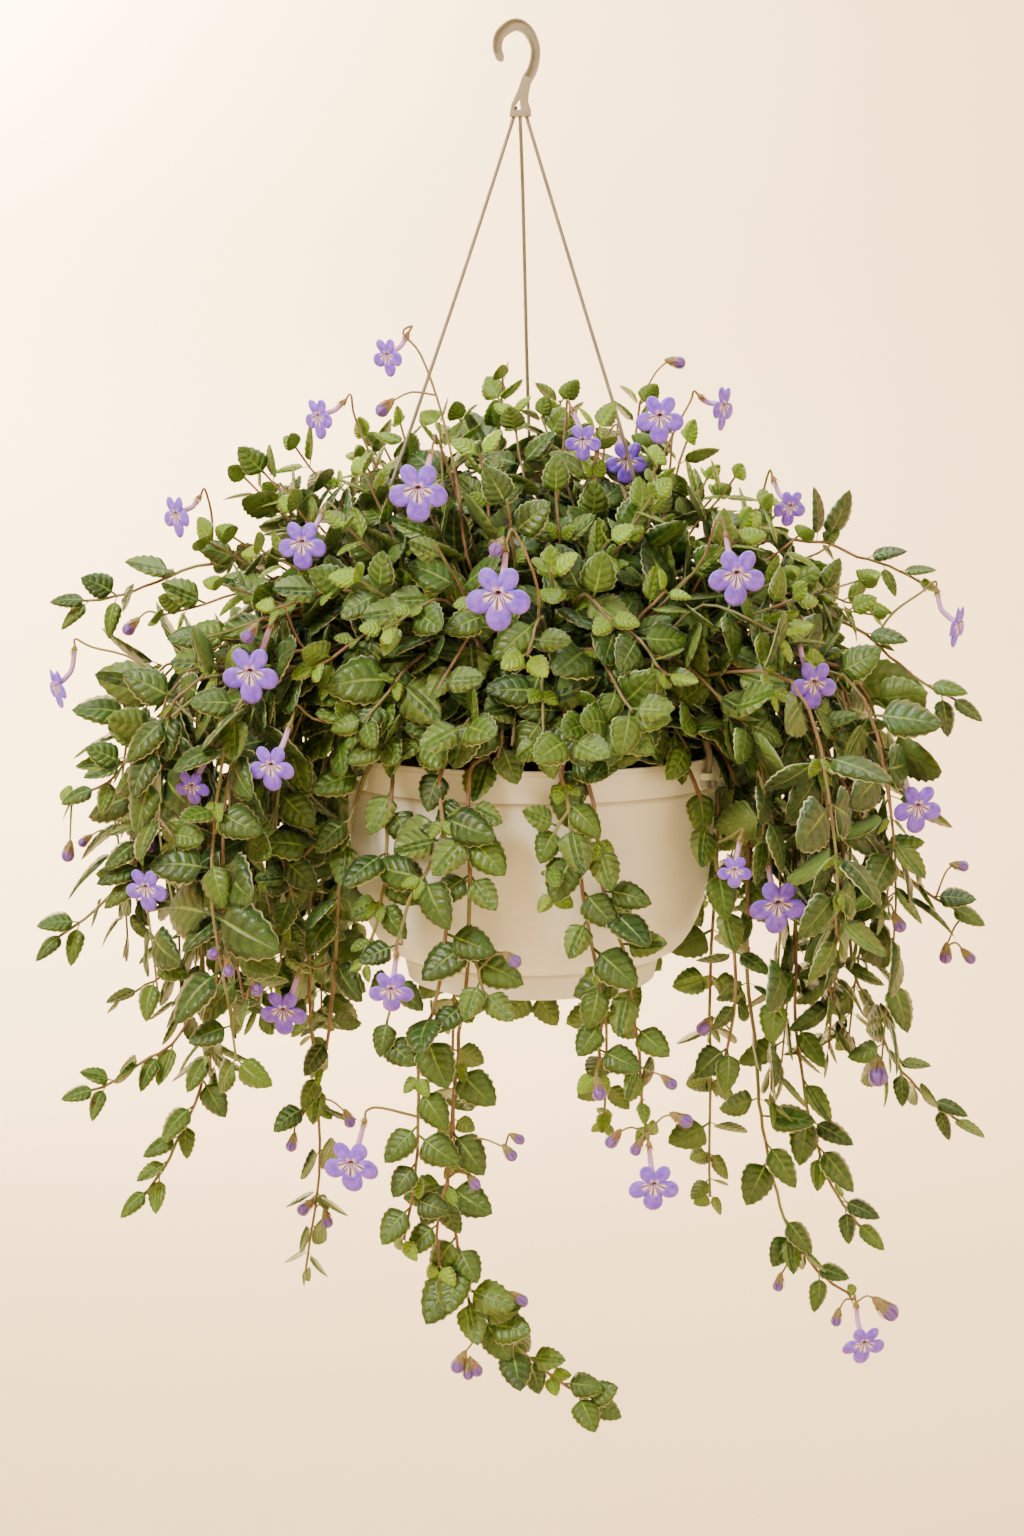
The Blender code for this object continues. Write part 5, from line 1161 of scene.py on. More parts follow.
def calyx_mesh() -> Mesh:
    """A small cup along +X, unit length, with five narrow sepals that stand out round its mouth."""
    shape = bmesh.new()
    ahead, loops = Vector((1.0, 0.0, 0.0)), []
    for x, radius in ((-0.25, 0.10), (0.0, 0.26), (0.35, 0.36), (0.55, 0.33)):
        loops.append([shape.verts.new((x, radius * y, radius * z)) for y, z in circle(10)])
    bridge(shape, loops)
    shape.faces.new(loops[0][::-1])
    shape.faces.new(loops[-1])
    for k in range(5):
        turn = 2 * math.pi * (k + 0.5) / 5
        away = Vector((0.0, math.cos(turn), math.sin(turn)))
        side = ahead.cross(away) * 0.13
        root, lift = ahead * 0.25 + away * 0.33, away * 0.06
        tip = shape.verts.new(ahead * 1.15 + away * 0.62)
        base = [shape.verts.new(root + step) for step in (side, lift, -side, -lift)]
        bridge(shape, [base, [tip]])
        shape.faces.new(base[::-1])
    bmesh.ops.recalc_face_normals(shape, faces=shape.faces)
    mesh = mesh_of("calyx_form", shape)
    mesh.shade_smooth()
    return mesh


@dataclass
class Stem:
    """A stem's middle line, its thickness at the foot, and how that narrows to the tip.

    Girths are pairs of a distance from its end and a share of its thickness there.
    """

    points: list[Vector]
    radius: float
    taper: float = 0.7
    girths: tuple[tuple[float, float], ...] = ((0.0, 1.0),)

    def lengths(self) -> list[float]:
        """The way walked at each point."""
        walked = [0.0]
        for a, b in zip(self.points, self.points[1:]):
            walked.append(walked[-1] + (b - a).length)
        return walked

    def at(self, distance: float) -> tuple[Vector, Vector]:
        """The point at a distance along the stem, and its direction there."""
        walked = 0.0
        for a, b in zip(self.points, self.points[1:]):
            length = (b - a).length
            if walked + length >= distance:
                return a.lerp(b, (distance - walked) / max(length, 1e-6)), (b - a).normalized()
            walked += length
        return self.points[-1].copy(), (self.points[-1] - self.points[-2]).normalized()


def grow(stems: Sequence[Stem], name: str, sides: int, finish: Material) -> Mesh:
    """The round stems of one piece as a mesh.

    Args:
        stems: the lines to thicken.
        name: the mesh's name.
        sides: faces round each stem.
        finish: their material.

    Returns:
        A closed mesh.
    """
    points, edges, thick = [], [], []
    for stem in stems:
        walked = stem.lengths()
        for index, point in enumerate(stem.points):
            if index:
                edges.append((len(points) - 1, len(points)))
            points.append(tuple(point))
            girth = float(np.interp(walked[-1] - walked[index], *zip(*stem.girths)))
            thick.append(stem.radius * girth * (1 + (stem.taper - 1) * walked[index] / walked[-1]))
    mesh = bpy.data.meshes.new(f"{name}_lines")
    mesh.from_pydata(points, edges, [])
    mesh.attributes.new("thick", "FLOAT", "POINT").data.foreach_set("value", thick)
    made = apply_tree(link_object(name, mesh), TREES["stems"], Sides=sides, Finish=finish)
    turn_outwards(made, 0.000001)
    return made


@dataclass
class Placed:
    """One small form in its place: where it stands, how large, how young and of which form."""

    matrix: Matrix
    size: float
    tint: float = 0.0
    form: int = 0


def set_forms(name: str, items: Sequence[Placed], forms: Collection, finish: Material) -> Mesh:
    """Sets a form on each place and returns them all as one mesh."""
    mesh = bpy.data.meshes.new(f"{name}_spots")
    mesh.from_pydata([tuple(item.matrix.to_translation()) for item in items], [], [])
    turns = np.array([tuple(item.matrix.to_euler()) for item in items], np.float32).ravel()
    sizes = np.repeat(np.array([item.size for item in items], np.float32), 3)
    for label, kind, key, values in (
        ("turn", "FLOAT_VECTOR", "vector", turns),
        ("size", "FLOAT_VECTOR", "vector", sizes),
        ("tint", "FLOAT", "value", [item.tint for item in items]),
        ("form", "INT", "value", [item.form for item in items]),
    ):
        mesh.attributes.new(label, kind, "POINT").data.foreach_set(key, values)
    return apply_tree(link_object(name, mesh), TREES["forms"], Forms=forms, Finish=finish)


# The plant's lines


@dataclass(frozen=True)
class Trail:
    """A trailing stem and its route; root is the azimuth of its hole in the soil, or None in the bush."""

    name: str
    root: float | None
    route: tuple
    shoots: tuple = ()
    lift: float = 0.0


# Each route lists (px, py, depth) from the root outwards
TRAILS = (
    Trail(
        "trail_front_long", -104,
        ((469, 773, -131), (469, 838, -139), (470, 900, -138), (467, 965, -132), (459, 1035, -124),
         (455, 1093, -120), (451, 1142, -116), (447, 1195, -112), (456, 1240, -108), (465, 1291, -104),
         (485, 1322, -100), (515, 1347, -96), (548, 1372, -92), (598, 1410, -88)),
        shoots=(((470, 935, -138), (478, 970, -141), (484, 1000, -142)),
                ((448, 1180, -113), (437, 1225, -114), (440, 1268, -112))),
    ),
    Trail(
        "trail_front_left", -114,
        ((440, 780, -127), (446, 859, -137), (446, 930, -137), (436, 1000, -134), (421, 1045, -130),
         (418, 1100, -126), (417, 1150, -123), (412, 1200, -120), (404, 1240, -118)),
        shoots=(((444, 835, -137), (430, 866, -140), (410, 900, -138), (397, 945, -134), (393, 995, -128),
                 (381, 1048, -126)),),
    ),
    Trail(
        "trail_rim_left", -136,
        ((393, 782, -106), (388, 830, -117), (385, 880, -119), (376, 925, -119), (364, 965, -117)),
    ),
    Trail(
        "trail_left_front_long", -139,
        ((364, 776, -83), (345, 845, -92), (337, 900, -92), (335, 960, -88), (331, 1010, -84),
         (322, 1066, -80), (311, 1099, -78), (296, 1124, -76)),
        shoots=(((354, 812, -90), (326, 836, -90), (300, 862, -86), (288, 900, -80), (284, 940, -76),
                 (274, 985, -72)),),
    ),
    Trail(
        "trail_front_mid", -81,
        ((562, 776, -131), (572, 830, -138), (580, 877, -139), (589, 929, -138), (596, 965, -136),
         (602, 1011, -133), (600, 1047, -131), (596, 1078, -130)),
        shoots=(((568, 806, -135), (555, 832, -139), (551, 862, -141), (554, 896, -141)),),
    ),
    Trail(
        "trail_front_right", -70,
        ((588, 773, -127), (596, 822, -135), (602, 880, -135), (616, 926, -131), (625, 962, -128),
         (633, 1011, -124), (640, 1053, -121), (641, 1093, -118), (646, 1126, -116)),
    ),
    Trail(
        "trail_rim_right", -44,
        ((690, 778, -88), (702, 817, -93), (711, 856, -93), (722, 897, -91), (729, 936, -88),
         (736, 975, -85), (733, 1018, -82), (723, 1064, -80)),
        lift=8,
    ),
    Trail(
        "trail_right_long", -16,
        ((733, 776, -40), (746, 815, -45), (748, 870, -47), (747, 936, -47), (748, 985, -46),
         (754, 1050, -44), (758, 1100, -42), (763, 1140, -40), (770, 1178, -38), (780, 1215, -36),
         (792, 1245, -34), (808, 1264, -32), (826, 1282, -30), (848, 1293, -28)),
        lift=8,
    ),
    Trail(
        "trail_right_hanging", -4,
        ((745, 745, -14), (770, 748, -18), (788, 785, -22), (794, 860, -24), (796, 950, -24),
         (796, 1027, -23), (801, 1066, -22), (810, 1119, -21), (818, 1148, -20), (828, 1176, -19),
         (842, 1204, -18), (868, 1235, -16)),
    ),
    Trail(
        "trail_right_outer", None,
        ((745, 640, 6), (790, 668, 10), (826, 740, 14), (842, 830, 16), (848, 910, 16),
         (854, 975, 15), (874, 1004, 14), (888, 1050, 13), (910, 1080, 12), (936, 1106, 11),
         (966, 1124, 10)),
    ),
    Trail(
        "trail_right_low", None,
        ((735, 680, -40), (795, 715, -46), (836, 770, -50), (866, 826, -50), (891, 861, -49),
         (923, 890, -47), (966, 915, -45)),
    ),
    Trail(
        "trail_right_middle", None,
        ((725, 595, -14), (786, 587, -22), (825, 612, -25), (865, 633, -24), (890, 656, -22),
         (923, 682, -20), (966, 706, -18)),
    ),
    Trail(
        "trail_right_high", None,
        ((690, 560, 26), (760, 542, 32), (825, 543, 34), (858, 556, 36), (889, 566, 38), (920, 582, 40)),
    ),
    Trail(
        "trail_left_high", None,
        ((345, 575, 8), (287, 561, 0), (242, 560, -5), (196, 566, -9), (157, 581, -11),
         (114, 597, -12), (72, 600, -12)),
    ),
    Trail(
        "trail_left_upper", None,
        ((400, 640, -62), (358, 640, -78), (300, 650, -82), (240, 672, -80), (182, 708, -74),
         (132, 753, -68), (108, 782, -65), (72, 798, -62)),
    ),
    Trail(
        "trail_left_middle", None,
        ((380, 690, -4), (325, 690, -14), (268, 712, -24), (215, 750, -32), (168, 810, -36),
         (136, 860, -37), (101, 905, -36), (47, 944, -34)),
    ),
    Trail(
        "trail_left_long", 187,
        ((322, 740, -22), (290, 736, -32), (258, 770, -40), (236, 840, -44), (223, 915, -45),
         (217, 975, -45), (211, 1033, -44), (201, 1088, -43), (183, 1130, -42), (163, 1169, -41),
         (142, 1198, -40)),
    ),
    Trail(
        "trail_left_back", 172,
        ((320, 745, 16), (290, 720, 16), (246, 745, 10), (214, 810, 4), (200, 890, -1), (202, 955, -5),
         (192, 1013, -8), (172, 1044, -10), (150, 1057, -12), (112, 1082, -14), (80, 1093, -15)),
        shoots=(((202, 940, -4), (178, 965, 4), (146, 985, 6), (120, 1000, 6)),),
    ),
)

# Trails of the far side: azimuth of the root, then for each fork how far it hangs out and down and its turn,
# in millimetres and degrees
BACK_TRAILS = (
    ("trail_back_right", 26, ((215, 205, -6), (165, 340, 10))),
    ("trail_back_mid_right", 62, ((200, 130, -8), (158, 300, 6))),
    ("trail_back_mid_left", 118, ((158, 330, -6), (205, 160, 8))),
    ("trail_back_left", 150, ((205, 240, -8), (165, 380, 6))),
)


@dataclass(frozen=True)
class Bloom:
    """An open flower: its host piece, face, width, calyx, facing, stalk back to the stem, and buds."""

    host: str
    face: tuple
    width: float
    calyx: tuple
    facing: tuple
    stalk: tuple = ()
    buds: tuple = ()


BLOOMS = (
    Bloom("crown", (387, 357, -70), 40, (406, 338, -62), (-40, -15),
          ((403, 333, -62), (421, 355, -66), (441, 411, -74), (457, 483, -80), (467, 555, -82)),
          ((384, 408, -74),)),
    Bloom("crown", (318, 417, -45), 42, (342, 403, -40), (-45, -10), ((356, 421, -38), (385, 483, -34))),
    Bloom("crown", (418, 492, -135), 62, (431, 455, -110), (-8, -8), ((440, 445, -92),)),
    Bloom("crown", (302, 545, -100), 52, (322, 514, -82), (-12, -8), ((340, 515, -80), (362, 558, -76))),
    Bloom("trail_left_high", (176, 515, -34), 44, (198, 499, -26), (-45, -10), ((212, 519, -18),)),
    Bloom("crown", (498, 598, -176), 68, (506, 553, -156), (-8, -6), ((515, 532, -150), (538, 590, -140)),
          ((497, 548, -165),)),
    Bloom("crown", (250, 675, -128), 60, (270, 628, -112), (-10, -8), ((284, 607, -108), (313, 656, -104)),
          ((249, 634, -124),)),
    Bloom("trail_left_upper", (57, 688, -66), 42, (75, 652, -60), (-55, -10),
          ((92, 647, -60), (137, 661, -66))),
    Bloom("crown", (271, 768, -142), 50, (289, 728, -124), (-12, -12), ((297, 705, -118), (325, 722, -112))),
    Bloom("trail_left_upper", (192, 788, -104), 38, (208, 752, -92), (-15, -20), ((212, 738, -88),)),
    Bloom("trail_left_middle", (146, 890, -72), 48, (166, 858, -56), (-20, -15), ((178, 846, -50),)),
    Bloom("trail_left_front_long", (283, 1013, -112), 50, (298, 976, -98), (-12, -12), ((316, 968, -94),)),
    Bloom("trail_front_left", (391, 992, -158), 48, (396, 958, -148), (-4, -18), ((402, 944, -142),)),
    Bloom("trail_front_left", (351, 1167, -138), 58, (364, 1124, -128), (-12, -12), ((380, 1108, -126),)),
    Bloom("trail_front_right", (654, 1188, -132), 52, (649, 1148, -122), (4, -12), ((649, 1138, -119),)),
    Bloom("trail_right_long", (864, 1346, -46), 45, (856, 1308, -36), (12, -18), ((853, 1300, -33),)),
    Bloom("trail_right_long", (778, 907, -84), 60, (768, 866, -72), (8, -12), ((764, 850, -62),)),
    Bloom("trail_rim_right", (735, 872, -128), 36, (740, 842, -118), (-6, -12), ((732, 836, -106),)),
    Bloom("trail_right_low", (918, 809, -74), 52, (903, 772, -62), (14, -10),
          ((890, 757, -58), (862, 776, -54))),
    Bloom("crown", (814, 685, -98), 50, (799, 643, -82), (14, -8), ((785, 632, -78), (760, 654, -74))),
    Bloom("crown", (737, 577, -128), 60, (726, 538, -108), (8, -8), ((716, 521, -104), (695, 571, -98))),
    Bloom("crown", (660, 417, -76), 50, (668, 428, -46), (4, -4), ((672, 440, -42), (662, 499, -36))),
    Bloom("crown", (724, 406, -24), 46, (702, 397, -24), (60, -5), ((690, 402, -26), (672, 436, -34))),
    Bloom("trail_right_high", (790, 508, -4), 38, (774, 482, 4), (25, -15), ((765, 485, 10), (760, 512, 20))),
    Bloom("trail_right_middle", (958, 626, -14), 44, (937, 594, -10), (60, -10),
          ((922, 592, -10), (894, 612, -14))),
    Bloom("crown", (583, 442, -66), 38, (573, 412, -54), (-10, -15), ((566, 420, -50), (560, 480, -46))),
    Bloom("crown", (622, 462, 2), 45, (614, 436, 18), (6, -12), ((606, 440, 22), (598, 490, 24))),
    Bloom("crown", (420, 500, 172), 46, (410, 486, 150), (170, -8), ((412, 500, 140),)),
    Bloom("crown", (640, 570, 190), 46, (648, 552, 168), (-172, -8), ((646, 566, 156),)),
    Bloom("trail_back_left", (318, 690, 160), 44, (328, 668, 140), (160, -10), ((336, 680, 130),)),
    Bloom("trail_back_right", (716, 720, 160), 44, (704, 700, 142), (-160, -10), ((696, 712, 130),)),
)


# Closed and opening buds of the photograph: pixel, length in millimetres
BUDS = (
    (666, 647, 17), (677, 362, 10), (878, 1073, 16), (130, 627, 10), (887, 1310, 15), (498, 548, 15),
    (623, 798, 10), (513, 960, 10), (510, 1154, 9), (518, 1139, 8), (474, 1183, 9), (520, 1300, 10),
    (459, 1364, 11), (468, 1372, 9), (476, 1369, 9), (599, 1091, 11), (613, 1140, 10), (637, 1148, 9),
    (683, 1120, 11), (670, 1083, 9), (305, 1208, 11), (327, 1220, 10), (349, 1120, 9), (292, 1144, 9),
    (68, 853, 10), (84, 841, 8), (150, 844, 10), (214, 953, 9), (228, 969, 9), (256, 989, 10),
    (961, 866, 9), (899, 924, 10), (946, 955, 10), (969, 957, 9), (705, 1027, 11), (779, 1284, 9),
    (837, 1319, 9),
)

# Middles of the leaves that stand out in the photograph
LEAF_SPOTS = (
    (59, 597), (91, 578), (62, 620), (106, 625), (144, 568), (178, 592), (240, 586), (212, 548), (118, 891),
    (52, 920), (43, 948), (70, 948), (216, 1104), (192, 1078), (171, 1124), (150, 1148), (182, 1155),
    (145, 1178), (124, 1208), (158, 1205), (178, 973), (217, 886), (191, 1039), (141, 1078), (83, 1075),
    (68, 1095), (90, 1111), (166, 1069), (118, 1000), (142, 1010), (334, 779), (344, 869), (280, 848),
    (326, 836), (304, 877), (314, 936), (280, 923), (306, 1067), (301, 1103), (281, 1120), (315, 1117),
    (378, 820), (404, 831), (429, 794), (409, 848), (448, 859), (489, 858), (487, 900), (445, 892),
    (406, 897), (366, 957), (437, 952), (476, 946), (468, 1011), (504, 1014), (494, 980), (380, 1050),
    (414, 1052), (437, 1066), (438, 1115), (479, 1094), (471, 1155), (442, 1155), (396, 1148), (397, 1188),
    (440, 1211), (389, 1228), (413, 1244), (436, 1260), (470, 1271), (426, 1291), (454, 1293), (474, 1329),
    (500, 1343), (515, 1331), (495, 1301), (506, 1310), (540, 1389), (560, 1362), (609, 1391), (595, 1385),
    (601, 1424), (589, 1424), (541, 853), (577, 856), (559, 880), (526, 813), (558, 810), (590, 822),
    (603, 915), (634, 895), (605, 874), (574, 946), (652, 946), (618, 970), (597, 983), (657, 1047),
    (628, 1065), (582, 1049), (621, 1021), (593, 1021), (705, 817), (711, 854), (723, 897), (729, 933),
    (755, 1185), (785, 1168), (803, 1240), (778, 1258), (790, 1264), (840, 1274), (821, 1301), (731, 1078),
    (701, 1068), (773, 1027), (814, 1049), (792, 1118), (835, 1133), (817, 1106), (804, 1143), (815, 1185),
    (840, 1171), (850, 1239), (868, 1211), (880, 1243), (904, 1098), (902, 1008), (922, 1068), (950, 1135),
    (979, 1132), (959, 1106), (963, 897), (979, 920), (881, 874), (912, 867), (866, 659), (892, 636),
    (923, 702), (948, 724), (958, 689), (979, 715), (845, 509), (821, 509), (838, 568), (894, 587),
    (891, 548), (927, 568), (564, 643), (610, 615), (600, 571), (628, 672), (701, 689), (744, 711),
    (765, 684), (750, 662), (656, 685), (572, 726), (608, 715), (633, 752), (595, 767), (375, 590),
    (245, 454), (274, 457), (534, 515), (414, 545), (454, 582), (403, 601), (381, 563), (458, 625),
    (513, 641), (561, 571), (400, 684), (438, 687), (473, 681), (510, 689), (531, 697), (416, 724),
    (478, 743), (521, 743), (582, 756), (513, 775), (373, 732), (366, 662), (350, 606), (596, 499),
    (556, 467), (491, 475), (290, 584), (325, 577), (357, 668), (361, 726), (139, 680), (178, 636),
    (233, 627), (141, 740), (162, 742), (208, 701), (235, 742), (93, 705), (109, 728), (90, 747), (95, 776),
    (65, 797), (97, 809), (150, 809), (139, 772), (182, 809), (240, 825), (263, 829), (304, 770),
    (299, 813), (118, 855), (113, 873), (175, 871),
)


# Tips of shoots that stand up out of the bush: pixel, and depth in millimetres
HIGH_SHOOTS = ((503, 378, 10), (258, 466, -20), (845, 512, 20), (560, 400, 40), (640, 402, 30), (430, 420, 0))


def facing_vector(yaw: float, pitch: float) -> Vector:
    """A direction from yaw to the viewer's right and pitch up, in degrees, where zero faces the front."""
    yaw, pitch = math.radians(yaw), math.radians(pitch)
    return Vector((math.sin(yaw) * math.cos(pitch), -math.cos(yaw) * math.cos(pitch), math.sin(pitch)))


# Corollas


@dataclass(frozen=True)
class Corolla:
    """An open flower: two upper lobes, two at the sides, a broad lower one, a throat and a tube."""

    # Angle in degrees, reach and half width of each lobe, in shares of the corolla's radius
    lobes: tuple = (
        (-91, 1.0, 0.39), (-14, 0.96, 0.37), (59, 0.94, 0.30), (118, 0.94, 0.29), (194, 0.97, 0.37),
    )
    steps: int = 12
    notch: float = 0.27
    rows: tuple = (0.0, 0.2, 0.45, 0.7, 0.9, 1.0)
    thick: float = 0.034
    throat: float = 0.060
    throat_up: float = 0.13
    tube_top: float = 0.135
    tube_foot: float = 0.0016

    def rim(self) -> list[tuple[float, float, float, int]]:
        """The outline, column by column: y, z, angle at the throat in radians, and number of the lobe."""
        made = []
        count = len(self.lobes)
        for index, (angle, reach, wide) in enumerate(self.lobes):
            ahead, behind = self.lobes[(index + 1) % count][0], self.lobes[index - 1][0]
            last = math.radians(angle + (ahead - angle) % 360 / 2)
            first = math.radians(angle - (angle - behind) % 360 / 2)
            along = Vector((math.cos(math.radians(angle)), math.sin(math.radians(angle))))
            side = Vector((-along.y, along.x))
            for step in range(self.steps):
                psi = math.radians(-144 + 288 * step / (self.steps - 1))
                spot = along * reach * (0.62 + 0.40 * math.cos(psi)) + side * wide * math.sin(psi)
                turn = first + (last - first) * (step + 1) / (self.steps + 1)
                made.append((spot.x, spot.y, turn, index))
            made.append((self.notch * math.cos(last), self.notch * math.sin(last), last, index))
        return made

    def height(self, share: float, lobe: int, column: int, phase: float) -> float:
        """How far a spot of the face stands out, in shares of the radius."""
        across = (column % (self.steps + 1)) / (self.steps - 1) * 2 - 1
        crown = 0.10 * math.sin(math.pi * min(share * 0.72 + 0.05, 1.0)) - 0.07 * share**3
        crease = -0.045 * math.exp(-((across / 0.22) ** 2)) * math.sin(math.pi * share) * (lobe in (0, 1, 4))
        ruffle = 0.030 * math.sin(across * 4.2 + phase + lobe * 1.7) * share**2
        lap = 0.018 * (lobe % 2) * min(share * 3, 1.0) * (1.0 if lobe else 0.5)
        roll = -0.05 * across**2 * share
        return crown + crease + ruffle + lap + roll - 0.06

    def mesh(self, name: str, radius: float, end: Vector, phase: float) -> Mesh:
        """The corolla facing +X from the origin.

        Args:
            name: the mesh's name.
            radius: half its width.
            end: where its tube ends, behind it.
            phase: what makes its ruffles its own.

        Returns:
            A closed mesh with its surface map: across the lobes, and from the throat out, back and down
            the tube.
        """
        rim = self.rim()
        skin, count = Skin(), len(rim)
        front, back = [], []
        for share in self.rows:
            spots, behind = [], []
            for column, (y, z, turn, lobe) in enumerate(rim):
                y0, z0 = self.throat * 1.6 * math.cos(turn), self.throat_up + self.throat * math.sin(turn)
                out = self.height(share, lobe, column, phase)
                spot = Vector((out, y0 + (y - y0) * share, z0 + (z - z0) * share))
                spots.append(spot * radius)
                low = spot - Vector((self.thick, 0.0, 0.0))
                if not share:
                    low = Vector((low.x, 0.140 * math.cos(turn), self.throat_up + 0.120 * math.sin(turn)))
                behind.append(low * radius)
            front.append(skin.ring(spots))
            back.append(skin.ring(behind) if share < 1.0 else front[-1])
        turns = [turn for _, _, turn, _ in rim]
        spots = [(-0.16, 0.06 * math.cos(turn), self.throat_up + 0.05 * math.sin(turn)) for turn in turns]
        inner = skin.ring([Vector(spot) * radius for spot in spots])
        (pole,) = skin.ring([Vector((-0.30, 0.0, self.throat_up)) * radius])
        tube = [back[0]] + [skin.ring(spots) for spots in self.tube_rings(turns, radius, end)]
        (foot,) = skin.ring([end])
        for k, (low, high) in enumerate(zip(self.rows, self.rows[1:])):
            skin.band(front[k], front[k + 1], low, high)
            skin.band(back[k + 1], back[k], 2 - high, 2 - low)
        skin.band(inner, front[0], 0.0, 0.0)
        stretches = len(tube) - 1
        for k in range(stretches):
            skin.band(tube[k], tube[k + 1], 2 + k / stretches, 2 + (k + 1) / stretches)
        for c in range(count):
            n = (c + 1) % count
            skin.add((inner[n], inner[c], pole), ((c / count, 0.0),) * 3)
            skin.add((tube[-1][c], tube[-1][n], foot), ((c / count, 3.0),) * 3)
        return skin.mesh(name)

    def tube_rings(self, turns: list[float], radius: float, end: Vector) -> list[list[Vector]]:
        """The tube's rings, bending from behind the throat back to its end."""
        control = Vector((min(end.x, -0.008), end.y * 0.35, end.z * 0.35))
        bend = Vector((-0.006, 0.0, 0.0)) * 0.3 + control * 0.3 + end * 0.4
        start = Vector((-0.12, 0.0, self.throat_up * 0.8)) * radius
        line = smooth([start, start.lerp(bend, 0.5) + Vector((-0.0015, 0.0, 0.0)), bend, end], 2)
        last = len(line) - 1
        top, made = self.tube_top * radius, []
        for index in range(1, last + 1):
            along = (line[min(index + 1, last)] - line[index - 1]).normalized()
            y = Vector((0.0, 1.0, 0.0))
            y = (y - along * y.dot(along)).normalized()
            z = y.cross(along) if along.x < 0 else along.cross(y)
            wide = top + (self.tube_foot - top) * (index / last) ** 0.7
            made.append([line[index] + (y * math.cos(turn) + z * math.sin(turn)) * wide for turn in turns])
        return made


# Keeping clear


class Thicket:
    """What stands where, kept in cells, so that leaves grow clear of each other, of stems and of flowers."""

    cell = 0.030

    def __init__(self) -> None:
        """Starts with nothing in it."""
        self.items: list[tuple] = []
        self.cells: dict[tuple, list[int]] = {}
        self.faces = np.zeros((0, 3))
        self.ways = np.zeros((0, 2, 3))
        self.wide = np.zeros(0)
        self.low = CAD_BOX[0] + Vector((BOX_MARGIN,) * 3)
        self.high = CAD_BOX[1] - Vector((BOX_MARGIN,) * 3)

    def span(self, points: Sequence[Vector]) -> tuple[tuple, tuple]:
        """The lowest and highest corner of some points."""
        xs, ys, zs = zip(*points)
        return (min(xs), min(ys), min(zs)), (max(xs), max(ys), max(zs))

    def around(self, low: tuple, high: tuple) -> Iterable[tuple]:
        """The cells that a box reaches into."""
        first = [math.floor(c / self.cell) for c in low]
        last = [math.floor(c / self.cell) for c in high]
        for i in range(first[0], last[0] + 1):
            for j in range(first[1], last[1] + 1):
                for k in range(first[2], last[2] + 1):
                    yield (i, j, k)

    def take(self, owner: str, points: Sequence[Vector], faces: Sequence) -> None:
        """Enters a shape."""
        low, high = self.span(points)
        self.items.append((owner, BVHTree.FromPolygons(points, faces), low, high))
        for cell in self.around(low, high):
            self.cells.setdefault(cell, []).append(len(self.items) - 1)

    def take_node(self, name: str) -> None:
        """Enters a node of the frame."""
        mesh = frame["nodes"][name].data
        self.take(name, [v.co.copy() for v in mesh.vertices], [tuple(f.vertices) for f in mesh.polygons])

    def take_stem(self, owner: str, points: Sequence[Vector], radius: float) -> None:
        """Enters a stem, a stretch at a time."""
        for a, b in zip(points, points[1:]):
            shape = self.rod(a, b, radius)
            self.take(owner, *shape)

    @staticmethod
    def rod(a: Vector, b: Vector, radius: float) -> tuple[list[Vector], list[tuple]]:
        """A three-sided rod between two points."""
        along = (b - a).normalized()
        side = along.orthogonal().normalized()
        other = along.cross(side)
        points = [end + (side * x + other * y) * radius for end in (a, b) for x, y in circle(3)]
        return points, [(0, 1, 4, 3), (1, 2, 5, 4), (2, 0, 3, 5)]

    def keep_seen(self, face: Vector, facing: Vector, radius: float) -> None:
        """Keeps the way free in front of an open flower, and from it towards the photograph's eye."""
        ways = np.array([[tuple(facing), tuple((EYE - face).normalized())]])
        self.faces = np.vstack([self.faces, [tuple(face)]])
        self.ways = np.concatenate([self.ways, ways])
        self.wide = np.append(self.wide, radius)

    def hides(self, points: Sequence[Vector]) -> bool:
        """Whether any of the points stands in front of an open flower."""
        spots = np.array([tuple(point) for point in points])
        apart = spots[:, None, :] - self.faces[None, :, :]
        for number, (reach, share) in enumerate(((0.045, 0.9), (0.110, 0.86))):
            way = self.ways[None, :, number, :]
            ahead = (apart * way).sum(-1)
            aside = np.linalg.norm(apart - way * ahead[..., None], axis=-1)
            if ((ahead > -0.001) & (ahead < reach) & (aside < self.wide * share)).any():
                return True
        return False

    def inside(self, points: Sequence[Vector]) -> bool:
        """Whether all the points lie within the object's box."""
        low, high = self.span(points)
        return all(low[k] > self.low[k] and high[k] < self.high[k] for k in range(3))

    def free(self, points: Sequence[Vector], faces: Sequence, spare: Sequence[str] = ()) -> bool:
        """Whether a shape crosses nothing but what the spared owners have entered."""
        low, high = self.span(points)
        near = {index for cell in self.around(low, high) for index in self.cells.get(cell, ())}
        tree = None
        for index in sorted(near):
            owner, other, other_low, other_high = self.items[index]
            if owner in spare or any(low[k] > other_high[k] or high[k] < other_low[k] for k in range(3)):
                continue
            tree = tree or BVHTree.FromPolygons(points, faces)
            if tree.overlap(other):
                return False
        return True


@dataclass
class Sprig:
    """One node of the plant: its stems and stalks, and the leaves on them."""

    name: str
    stems: list[Stem] = field(default_factory=list)
    stalks: list[Stem] = field(default_factory=list)
    leaves: list[Placed] = field(default_factory=list)


